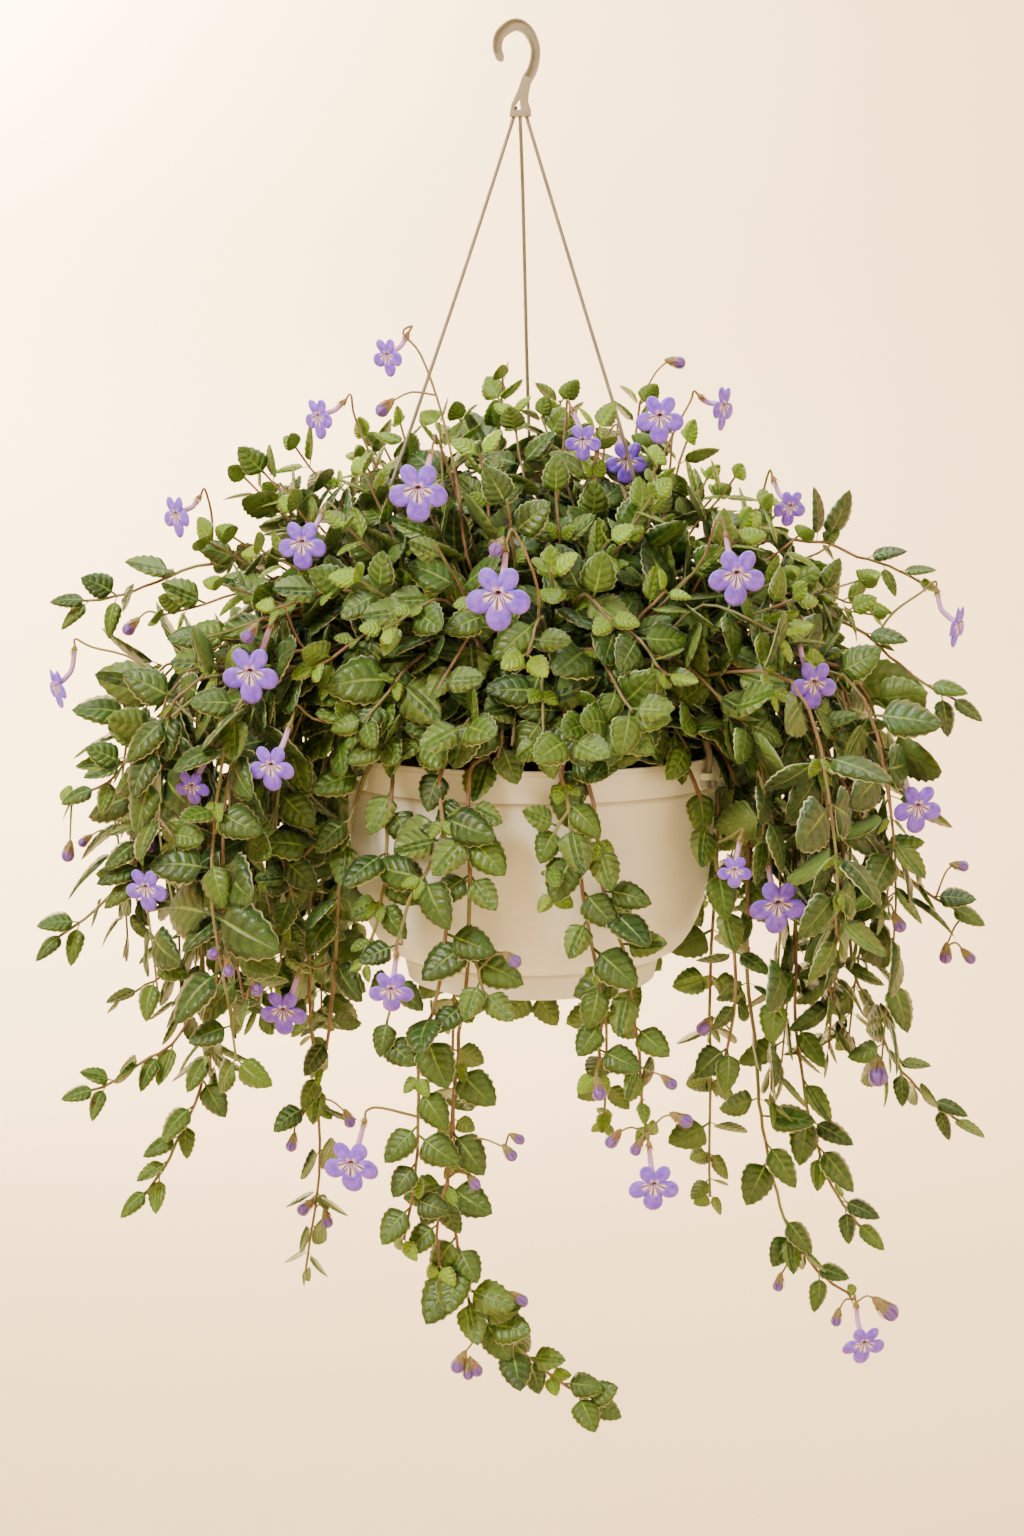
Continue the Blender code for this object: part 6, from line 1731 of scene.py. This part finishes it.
@dataclass
class Plant:
    """The whole plant: trails, far-side trails and crown, with open flowers, buds and leaves."""

    tries: tuple = ((0, 0), (20, 0), (-20, 0), (0, 18), (0, -18), (35, 10), (-35, 10), (0, 36))
    proxy: tuple = ((0.15, 0.0), (0.54, -0.33), (1.0, 0.0), (0.54, 0.33), (0.50, 0.0))
    proxy_faces: tuple = ((0, 1, 4), (1, 2, 4), (2, 3, 4), (3, 0, 4))
    dome_centre: Vector = field(default_factory=lambda: Vector((-0.006, 0.004, RIM_TOP + 0.040)))
    dome_half: Vector = field(default_factory=lambda: Vector((0.248, 0.160, 0.180)))
    crown_shoots: int = 130
    inner_shoots: int = 60
    rim_shoots: int = 26
    # Shoots that hang over both sides and the back: azimuths from and to, how many, how far out
    curtain: tuple = ((146, 222, 26, 0.262), (-42, 34, 18, 0.232), (34, 146, 26, 0.205))
    most_stems: int = 400
    strand_room: float = 0.0022
    ear_view: float = 0.014
    kink: float = 0.0007
    bud_length: float = 0.0125
    search_pixels: float = 60
    batch: int = 1150
    sprigs: dict[str, Sprig] = field(default_factory=dict)
    calyces: list[Placed] = field(default_factory=list)
    buds: list[Placed] = field(default_factory=list)
    roots: list[Vector] = field(default_factory=list)
    draw: random.Random = field(default_factory=lambda: random.Random(5))

    def __post_init__(self) -> None:
        """Enters the holder and the open flowers, which everything else keeps clear of."""
        self.thicket = Thicket()
        self.sprigs["crown"] = Sprig("crown")
        self.own = tuple(f"crown_{k}" for k in range(self.most_stems))
        for name in ("basket", "soil", "hanger_hook"):
            self.thicket.take_node(name)
        for strand in STRANDS:
            self.thicket.take_stem(f"strand_{strand.side}", strand.path(), self.strand_room)
        for number in range(1, len(BLOOMS) + 1):
            self.thicket.take_node(f"bloom_{number:02d}")

    # Stems

    def root_path(self, azimuth: float) -> list[Vector]:
        """A stem's way from its hole in the soil over the basket's rim."""
        return [
            polar(azimuth, ROOT_CIRCLE, SOIL_TOP - 0.011), polar(azimuth, ROOT_CIRCLE, SOIL_TOP + 0.004),
            polar(azimuth, ROOT_CIRCLE + 0.010, RIM_TOP + 0.004),
            polar(azimuth, RIM_RADIUS - 0.003, RIM_TOP + 0.0075),
        ]

    def wander(self, path: list[Vector], steps: int, fixed: int) -> list[Vector]:
        """The path smoothed, with the small kinks that a stem has at its joints beyond the fixed points."""
        line = smooth(path, steps)
        for index in range(fixed * steps, len(line) - 1):
            line[index] = line[index] + Vector([self.draw.uniform(-1, 1) * self.kink for _ in range(3)])
        return line

    def add_stem(self, sprig: Sprig, line: list[Vector], radius: float, taper: float = 0.62) -> Stem:
        """Adds a stem to a piece and enters it."""
        stem = Stem(line, radius, taper)
        self.thicket.take_stem(f"{sprig.name}_{len(sprig.stems)}", line[::2] + line[-1:], radius)
        sprig.stems.append(stem)
        return stem

    def nearest(self, sprig: Sprig, point: Vector) -> Vector:
        """The point on a piece's stems and stalks that lies nearest."""
        lines = sprig.stems + sprig.stalks
        return min((spot for stem in lines for spot in stem.points), key=lambda spot: (spot - point).length)

    def grow_trails(self) -> None:
        """Grows the trails of the photograph, with their side shoots."""
        for trail in TRAILS:
            sprig = self.sprigs.setdefault(trail.name, Sprig(trail.name))
            route = [place(*spot) for spot in trail.route]
            if trail.root is None:
                start = route[0] - outward(route[0]) * 0.05 - UP * 0.01
                while (route[0] - BASKET_AXIS).to_2d().length < 0.150 and len(route) > 4:
                    route = route[1:]
                path = [start] + route
                fixed = 1
            else:
                path = self.root_path(trail.root) + route
                fixed = 4
            for index in range(fixed, len(path)):
                share = math.sin(math.pi * (index - fixed + 1) / (len(path) - fixed))
                path[index] = path[index] + UP * trail.lift * MM * share
            self.add_stem(sprig, self.wander(path, 3, fixed), STEM_RADIUS)
            for shoot in trail.shoots:
                spots = [place(*spot) for spot in shoot]
                line = [self.nearest(sprig, spots[0])] + spots[1:]
                self.add_stem(sprig, self.wander(line, 4, 1), STEM_RADIUS * 0.8)

    def grow_back_trails(self) -> None:
        """Grows the forked trails of the far side, which the photograph doesn't show."""
        for name, azimuth, forks in BACK_TRAILS:
            sprig = self.sprigs.setdefault(name, Sprig(name))
            fork = None
            for reach, drop, swing in forks:
                reach, drop = reach * MM, drop * MM
                free = [
                    polar(azimuth + swing * 0.3, RIM_RADIUS + 0.35 * (reach - RIM_RADIUS), RIM_TOP + 0.030),
                    polar(azimuth + swing * 0.7, RIM_RADIUS + 0.80 * (reach - RIM_RADIUS), RIM_TOP + 0.020),
                    polar(azimuth + swing, reach, RIM_TOP - 0.030),
                    polar(azimuth + swing * 1.3, reach + 0.002, RIM_TOP - 0.45 * drop),
                    polar(azimuth + swing * 1.1, reach - 0.004, RIM_TOP - 0.75 * drop),
                    polar(azimuth + swing * 1.4, reach + 0.006, RIM_TOP - drop),
                ]
                path = (self.root_path(azimuth) if fork is None else [fork]) + free
                self.add_stem(sprig, self.wander(path, 4, 4 if fork is None else 1), STEM_RADIUS)
                fork = fork or path[3]

    def dome_point(self, azimuth: float, elevation: float, share: float) -> Vector:
        """The point of the bush's dome in one direction."""
        turn, rise = math.radians(azimuth), math.radians(elevation)
        level = math.cos(rise) * share
        offset = (level * math.cos(turn), level * math.sin(turn), math.sin(rise) * share)
        return self.dome_centre + Vector(a * b for a, b in zip(offset, self.dome_half))

    def add_shoot(self, sprig: Sprig, path: list[Vector], steps: int, radius: float) -> Stem | None:
        """Adds a shoot where its way is free of strands, flowers and other stems' first reach."""
        line = smooth(path, steps)
        for a, b in zip(line[::2], line[2::2] + [line[-1]]):
            if (b - a).length < 1e-5:
                continue
            points, faces = Thicket.rod(a, b, radius + 0.0008)
            if not self.thicket.free(points, faces, self.own):
                return None
        if self.thicket.hides(line[len(line) // 2 :]):
            return None
        return self.add_stem(sprig, self.wander(path, steps, 1), radius)

    def grow_crown(self) -> None:
        """Grows the shoots of the bush, evenly over its dome, and those that hang over the basket's rim."""
        crown = self.sprigs["crown"]
        golden = math.degrees(math.pi * (3 - math.sqrt(5)))
        thin = STEM_RADIUS * 0.8
        for index in range(self.crown_shoots):
            rise = math.degrees(math.asin(1.0 - (index + 0.5) / self.crown_shoots * 1.16))
            azimuth = index * golden
            share = self.draw.uniform(0.90, 1.04)
            for swing, tilt in ((0, 0), (7, 0), (-7, 0), (0, 7), (0, -7), (12, 5), (-12, -5)):
                tip = self.dome_point(azimuth + swing, rise + tilt, share)
                level = self.draw.uniform(0.020, 0.085)
                start = polar(azimuth + self.draw.uniform(-12, 12), level, SOIL_TOP + 0.001)
                middle = start.lerp(tip, 0.5) + UP * (0.030 + 0.03 * (rise < 20))
                if self.add_shoot(crown, [start, middle, tip], 6, STEM_RADIUS * 0.85):
                    break
        for px, py, depth in HIGH_SHOOTS:
            tip = place(px, py, depth)
            start = polar(math.degrees(math.atan2(tip.y, tip.x)), 0.05, SOIL_TOP + 0.001)
            self.add_shoot(crown, [start, start.lerp(tip, 0.55) + UP * 0.02, tip], 6, STEM_RADIUS * 0.85)
        for index in range(self.inner_shoots):
            rise = 72 - 76 * (index + 0.5) / self.inner_shoots
            tip = self.dome_point(index * golden + 40, rise, self.draw.uniform(0.58, 0.74))
            start = polar(index * golden + 40, self.draw.uniform(0.01, 0.06), SOIL_TOP + 0.001)
            self.add_shoot(crown, [start, start.lerp(tip, 0.5) + UP * 0.02, tip], 6, thin)
        for index in range(self.rim_shoots):
            azimuth = -160 + 140 * (index + self.draw.random()) / self.rim_shoots
            for swing in (0, 4, -4):
                turn = azimuth + swing
                path = [
                    polar(turn, 0.075, SOIL_TOP + 0.001), polar(turn, 0.105, RIM_TOP + 0.040),
                    polar(turn, self.draw.uniform(0.138, 0.156), RIM_TOP + self.draw.uniform(0.012, 0.034)),
                ]
                if self.add_shoot(crown, path, 5, thin):
                    break
        for first, last, count, far in self.curtain:
            for index in range(count):
                azimuth = first + (last - first) * (index + self.draw.random()) / count
                reach = self.draw.uniform(0.158, far)
                drop = self.draw.uniform(0.03, 0.22)
                for swing in (0, 5, -5, 9):
                    turn = azimuth + swing
                    path = [
                        polar(turn, 0.070, SOIL_TOP + 0.001), polar(turn, 0.105, RIM_TOP + 0.045),
                        polar(turn, reach - 0.020, RIM_TOP + 0.055),
                        polar(turn, reach + 0.012, RIM_TOP - 0.3 * drop),
                        polar(turn + 4, reach + 0.006, RIM_TOP - drop),
                    ]
                    path = [self.drawn_in(spot) for spot in path]
                    if self.add_shoot(crown, path, 4, thin):
                        break

    def drawn_in(self, point: Vector) -> Vector:
        """A point moved inside the object's box, with room for a leaf beyond it."""
        low, high = CAD_BOX
        return Vector(min(max(point[k], low[k] + LEAF_ROOM), high[k] - LEAF_ROOM) for k in range(3))

    # Flowers

    def open_blooms(self, finish: Material) -> None:
        """Sets each open flower where its node is, with its stalk and calyx."""
        corolla = Corolla()
        for number, bloom in enumerate(BLOOMS, 1):
            name = f"bloom_{number:02d}"
            face, calyx = place(*bloom.face), place(*bloom.calyx)
            facing = facing_vector(*bloom.facing)
            radius = bloom.width / 2 * TANGENT_PER_PIXEL * (face - EYE).length
            matrix = frame_along(facing, UP, face)
            end = matrix.inverted() @ calyx
            mesh = corolla.mesh(f"corolla_{number:02d}", radius, end, number * 1.3)
            mesh.transform(matrix)
            corners = np.array([vertex.co for vertex in mesh.vertices])
            low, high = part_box(name)
            shift = (low + high) / 2 - Vector((corners.min(0) + corners.max(0)) / 2)
            mesh.transform(Matrix.Translation(shift))
            dress(link_object(f"corolla_{number:02d}", mesh, finish), Slot.PETALS, name)
            self.thicket.keep_seen(face + shift, facing, radius)
            control = Vector((min(end.x, -0.008), end.y * 0.35, end.z * 0.35))
            bend = Vector((-0.0018, 0.0, 0.0)) + control * 0.3 + end * 0.4
            back = (matrix.to_3x3() @ (end - bend)).normalized()
            host = self.sprigs[bloom.host]
            self.add_stalk(host, calyx + shift, back, [place(*spot) for spot in bloom.stalk])
            for spot in bloom.buds:
                self.add_bud(host, place(*spot), self.bud_length)
        ear = polar(EAR_AZIMUTHS["right"], STRAND_CIRCLE, RIM_TOP - 0.008)
        self.thicket.keep_seen(ear, outward(ear), self.ear_view)

    def add_stalk(self, sprig: Sprig, tube_end: Vector, back: Vector, spots: list[Vector]) -> None:
        """The calyx behind a tube, and the thin stalk from it to the stem."""
        origin = tube_end + back * 0.0033
        self.calyces.append(Placed(frame_along(-back, UP, origin), 0.0054))
        last = spots[-1] if spots else origin
        if sprig.name == "crown":
            root = last.lerp(polar(0, 0, RIM_TOP + 0.06), 0.45) - UP * 0.02
        else:
            root = self.nearest(sprig, last)
        path = [origin, origin + back * 0.005] + spots + [root]
        line = smooth(path, 4)
        self.thicket.take_stem(f"{sprig.name}_stalks", line[::2], STALK_RADIUS)
        sprig.stalks.append(Stem(line, STALK_RADIUS, 1.3))

    def add_bud(self, sprig: Sprig, spot: Vector, size: float) -> None:
        """A bud that nods on a thin stalk of its own."""
        root = self.nearest(sprig, spot)
        way = (spot - root).normalized()
        nod = (way + outward(spot) * 0.3 - UP * 0.9).normalized()
        foot = spot - nod * size * 0.5
        line = smooth([root, root.lerp(foot, 0.55) + UP * 0.004, foot + nod * 0.0004], 3)
        sprig.stalks.append(Stem(line, STALK_RADIUS, 0.8))
        self.thicket.take_stem(f"{sprig.name}_buds", [foot, foot + nod * size], size * 0.3)
        self.buds.append(Placed(frame_along(nod, UP, foot), size))
        self.calyces.append(Placed(frame_along(nod, UP, foot - nod * size * 0.04), size * 0.66))

    def set_buds(self) -> None:
        """Sets the photograph's buds, each on the stem that passes nearest to it."""
        for px, py, length in BUDS:
            spot = Vector((px, py))
            lines = ((sprig, stem) for sprig in self.sprigs.values() for stem in sprig.stems)
            sprig, root = min(
                ((sprig, point) for sprig, stem in lines for point in stem.points),
                key=lambda pair: (pixel_of(pair[1]) - spot).length + pair[1].y * 150,
            )
            self.add_bud(sprig, place(px, py, root.y / MM - 9), length * MM * 1.2)

    # Leaves

    def set_leaf(
        self, sprig: Sprig, spare: Sequence[str], origin: Vector, direction: Vector, facing: Vector,
        length: float, tint: float, shares: Sequence[float] = (1.0, 0.8),
    ) -> bool:
        """Sets a leaf, turned a little or smaller where it would touch something.

        Args:
            sprig: the piece it grows from.
            spare: owners it may touch.
            origin: its root in the stem.
            direction: the way it points.
            facing: the way its upper side looks.
            length: its length in metres.
            tint: how young it is, from 0 to 1.
            shares: the shares of its length to try.

        Returns:
            Whether it found room.
        """
        direction, facing = direction.normalized(), facing.normalized()
        side = direction.cross(facing)
        side = side.normalized() if side.length > 0.05 else direction.orthogonal().normalized()
        form = self.draw.randrange(len(LeafForm))
        arch = list(LeafForm)[form].value.arch
        for share in shares:
            for yaw, pitch in self.tries:
                turn = Matrix.Rotation(math.radians(yaw), 3, facing)
                turn = turn @ Matrix.Rotation(math.radians(pitch), 3, side)
                matrix = frame_along(turn @ direction, turn @ facing, origin)
                size = length * share
                points = [
                    matrix @ (Vector((x, y, -arch * (max(x - PETIOLE, 0.0) / (1 - PETIOLE)) ** 2)) * size)
                    for x, y in self.proxy
                ]
                if not self.thicket.inside(points) or self.thicket.hides(points):
                    continue
                if self.thicket.free(points, self.proxy_faces, spare):
                    self.thicket.take(f"{sprig.name}_leaf", points, self.proxy_faces)
                    sprig.leaves.append(Placed(matrix, size, tint, form))
                    return True
        return False

    def set_photo_leaves(self) -> None:
        """Sets the leaves that stand out in the photograph, each from the stem that suits it best."""
        samples = []
        for sprig in self.sprigs.values():
            for index, stem in enumerate(sprig.stems):
                walked = stem.lengths()[-1]
                young, full = (0.025, 0.040) if sprig.name == "crown" else (0.07, 0.046)
                for step in range(int(walked / 0.006)):
                    point, along = stem.at(step * 0.006)
                    most = 0.029 if walked - step * 0.006 < young else full
                    samples.append((pixel_of(point), point, along, sprig, f"{sprig.name}_{index}", most))
        for px, py in LEAF_SPOTS:
            spot = Vector((px, py))
            near = [sample for sample in samples if (sample[0] - spot).length < self.search_pixels]
            best = None
            for _, point, along, sprig, owner, most in near:
                centre = place(px, py, point.y / MM - 7)
                apart = centre - point
                cost = abs(apart.length - 0.020) * 1000 + 6 * (apart.dot(along) < 0) + point.y * 60
                if best is None or cost < best[0]:
                    best = (cost, point, apart, sprig, owner, most)
            if best is None:
                continue
            _, point, apart, sprig, owner, most = best
            least = 0.026 if most < 0.03 else 0.032
            length = min(max(apart.length / 0.56, least), most) * self.draw.uniform(0.84, 1.0)
            facing = outward(point) * 0.6 + UP * 0.5 + (EYE - point).normalized() * 0.5
            tint = 0.15 * self.draw.random()
            if self.set_leaf(sprig, (owner,), point, apart, facing, length, tint):
                self.roots.append(point)

    def set_pairs(
        self, sprig: Sprig, number: int, first: float, large: float, small: float, young: float, gap: float
    ) -> None:
        """Sets leaves in opposite pairs along a stem, each pair crosswise to the last and smaller to the tip.

        Args:
            sprig: the piece the stem belongs to.
            number: which of its stems.
            first: how far from the stem's foot the lowest pair may stand.
            large: the length of a grown leaf.
            small: the length of a leaf at the tip.
            young: how fresh the leaves at the tip are, from 0 to 1.
            gap: the way between two grown pairs.
        """
        stem = sprig.stems[number]
        owner = (f"{sprig.name}_{number}",)
        distance = stem.lengths()[-1] - 0.002
        count = 0
        twist = self.draw.uniform(-0.3, 0.3)
        while distance > first:
            point, along = stem.at(distance)
            grown = min(count / 3.5, 1.0)
            size = (small + (large - small) * grown) * self.draw.uniform(0.74, 1.12)
            away = outward(point)
            side = along.cross(away)
            side = side.normalized() if side.length > 0.2 else along.cross(UP).normalized()
            cross = side.cross(along).normalized()
            hang = max(-along.z, 0.0)
            crowded = any((point - root).length < 0.012 for root in self.roots)
            lean = twist + self.draw.uniform(-0.25, 0.25)
            arm = cross if count % 2 else side
            other = side if count % 2 else cross
            arm = arm * math.cos(lean) + other * math.sin(lean)
            for sign in () if crowded else (1, -1):
                forward = 1.05 - 0.60 * grown - 0.10 * hang
                direction = arm * sign + along * forward - UP * 0.10 * hang
                facing = away * (0.70 + 0.5 * hang) + UP * 0.60 + along * 0.35
                tint = max(0.0, 1.0 - count / 2.2) * young * self.draw.uniform(0.5, 1.0)
                tint += 0.25 * max(0.0, self.draw.random() - 0.75)
                self.set_leaf(sprig, owner, point, direction, facing, size, tint)
            if grown > 0.5 and self.draw.random() < 0.42:
                for sign in (1, -1):
                    direction = arm * sign * 0.55 + other * 0.3 + along * 0.8
                    self.set_leaf(sprig, owner, point, direction, away + UP * 0.5, 0.015, 0.4, (1.0,))
            distance -= gap * (0.42 + 0.58 * grown) * self.draw.uniform(0.9, 1.15)
            count += 1

    def set_leaves(self) -> None:
        """Clothes every stem in leaves: the photograph's own first, then pairs along trails and shoots."""
        self.set_photo_leaves()
        for trail in TRAILS:
            sprig = self.sprigs[trail.name]
            for number in range(len(sprig.stems)):
                first = 0.040 if number == 0 else 0.006
                self.set_pairs(sprig, number, first, large=0.034, small=0.016, young=0.65, gap=0.040)
        for name, _, _ in BACK_TRAILS:
            sprig = self.sprigs[name]
            for number in range(len(sprig.stems)):
                self.set_pairs(sprig, number, first=0.045, large=0.036, small=0.016, young=0.65, gap=0.034)
        crown = self.sprigs["crown"]
        for number, stem in enumerate(crown.stems):
            small, young = (0.020, 0.75) if stem.points[-1].z > RIM_TOP + 0.045 else (0.030, 0.20)
            self.set_pairs(crown, number, first=0.032, large=0.047, small=small, young=young, gap=0.032)

    def dress_all(self, leaf: Material, bark: Material, cup: Material, bud: Material) -> None:
        """Makes the meshes of every piece of the plant, each in its finish."""
        blades = [form.value.mesh(f"leaf_{form.name.lower()}") for form in LeafForm]
        forms = collection_of("leaf_forms", blades)
        cups = collection_of("calyx_forms", [calyx_mesh()])
        closed = collection_of("bud_forms", [bud_mesh()])
        for sprig in self.sprigs.values():
            stems = grow(sprig.stems, f"{sprig.name}_stems", 6, bark)
            dress(link_object(f"{sprig.name}_stems", stems), Slot.FOLIAGE, sprig.name)
            if sprig.stalks:
                stalks = grow(sprig.stalks, f"{sprig.name}_stalks", 5, bark)
                dress(link_object(f"{sprig.name}_stalks", stalks), Slot.FOLIAGE, sprig.name)
            for part, start in enumerate(range(0, len(sprig.leaves), self.batch)):
                name = f"{sprig.name}_leaves" + (f"_{part + 1}" if part else "")
                leaves = set_forms(name, sprig.leaves[start : start + self.batch], forms, leaf)
                leaves.shade_smooth()
                dress(link_object(name, leaves), Slot.FOLIAGE, sprig.name)
        dress(link_object("calyces", set_forms("calyces", self.calyces, cups, cup)), Slot.FOLIAGE)
        dress(link_object("buds", set_forms("buds", self.buds, closed, bud)), Slot.PETALS)


# The studio


@dataclass
class Studio:
    """The camera of the photograph, a seamless cove round the plant, and soft lights."""

    floor: float = -1.55
    flat: float = 3.2
    wall: float = 5.2
    height: float = 6.0
    bend_steps: int = 12
    lights: tuple = (
        ("key_light", (-2.0, -2.1, 1.9), 1.2, 236.0, "#fff2e0", (0.0, 0.0, -0.45)),
        ("fill_light", (2.6, -1.7, 0.2), 2.6, 45.0, "#fff2e2", (0.0, 0.0, -0.45)),
        ("top_light", (0.3, 0.7, 2.4), 1.8, 90.0, "#fffaf0", (0.0, 0.0, -0.45)),
        ("wall_light_left", (-2.3, 4.0, 1.9), 0.9, 1150.0, "#fff4e6", (-1.4, 5.2, 0.8)),
        ("wall_light_right", (2.4, 1.6, 0.6), 1.6, 30.0, "#fff0da", (0.8, 5.2, -0.6)),
    )

    def build(self) -> None:
        """Makes camera, lights and cove."""
        self.set_camera()
        for label, spot, size, power, colour, target in self.lights:
            light = bpy.data.lights.new(label, "AREA")
            light.shape = "DISK"
            light.size = size
            light.energy = power
            light.color = linear(colour)[:3]
            lamp = bpy.data.objects.new(label, light)
            bpy.context.scene.collection.objects.link(lamp)
            lamp.location = spot
            lamp.visible_camera = False
            aim = Vector(target) - Vector(spot)
            lamp.rotation_euler = aim.to_track_quat("-Z", "Y").to_euler()
        world = bpy.data.worlds.new("studio_air")
        world.use_nodes = True
        world.node_tree.nodes["Background"].inputs[0].default_value = linear("#f5ecdc")
        world.node_tree.nodes["Background"].inputs[1].default_value = 0.75
        bpy.context.scene.world = world
        profile = [(0.0, self.floor), (self.flat * 0.5, self.floor), (self.flat, self.floor)]
        bend = self.wall - self.flat
        for step in range(1, self.bend_steps + 1):
            turn = math.radians(90 * step / self.bend_steps)
            profile.append((self.flat + bend * math.sin(turn), self.floor + bend * (1 - math.cos(turn))))
        profile.append((self.wall, self.height))
        mesh = lathe("seamless_cove", profile, 96)
        mesh.flip_normals()
        mesh.shade_smooth()
        link_object("seamless_cove", mesh, StudioPaper().make())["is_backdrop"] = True

    def set_camera(self) -> None:
        """Sets the camera at the photograph's viewing angle."""
        lens = bpy.data.cameras.new("camera")
        lens.sensor_fit = "VERTICAL"
        lens.sensor_height = SENSOR
        lens.lens = LENS
        camera = bpy.data.objects.new("camera", lens)
        bpy.context.scene.collection.objects.link(camera)
        camera.location = EYE
        camera.rotation_euler = (math.radians(90) - EYE_TILT, 0.0, 0.0)
        bpy.context.scene.camera = camera


def write_sizes() -> None:
    """Logs the frame's box and the dressed model's box."""
    boxes = {
        "cad": [[float(value) for value in corner] for corner in CAD_BOX],
        "visual": [[float(value) for value in corner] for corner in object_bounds()],
    }
    for low, high, label in zip(*boxes["cad"], "xyz"):
        LOG.info("frame %s from %.4f to %.4f", label, low, high)
    for low, high, label in zip(*boxes["visual"], "xyz"):
        LOG.info("model %s from %.4f to %.4f", label, low, high)


def main() -> None:
    """Builds the studio, the holder and the plant in turn."""
    logging.basicConfig(level=logging.INFO, format="%(message)s")
    Studio().build()
    TREES["stems"] = stem_tree()
    TREES["forms"] = scatter_tree()
    # The cream finish paints shade under the lip, under the rim's band and above the foot ring
    cream = MouldedPolypropylene("satin_cream_polypropylene", "#eef3ec", "#e5eadf", "#d4d3c0", shaded_creases=SHADED_CREASES)
    Basket().build(cream.make())
    greige = MouldedPolypropylene("satin_greige_polypropylene", "#8e8c7f", "#807e71", "#6a6758", 0.36, 0.02)
    Hook().build(greige.make())
    # Painted shade: the strands are the hook's greige plastic coloured darker, a shaded copy of it
    shaded_greige = MouldedPolypropylene("satin_taupe_polypropylene", "#76746a", "#69675d", "#585549", 0.36, 0.02)
    strand_finish = shaded_greige.make()
    for strand in STRANDS:
        strand.build(strand_finish)
    Soil().build(PottingSoil().make())
    plant = Plant()
    plant.grow_trails()
    plant.grow_back_trails()
    plant.open_blooms(VioletPetal().make())
    plant.grow_crown()
    plant.set_buds()
    plant.set_leaves()
    plant.dress_all(QuiltedLeaf().make(), WiryStem().make(), Calyx().make(), VioletBud().make())
    for collection in FORM_COLLECTIONS:
        for obj in list(collection.objects):
            bpy.data.objects.remove(obj, do_unlink=True)
        bpy.data.collections.remove(collection)
    write_sizes()


if __name__ == "__main__":
    main()
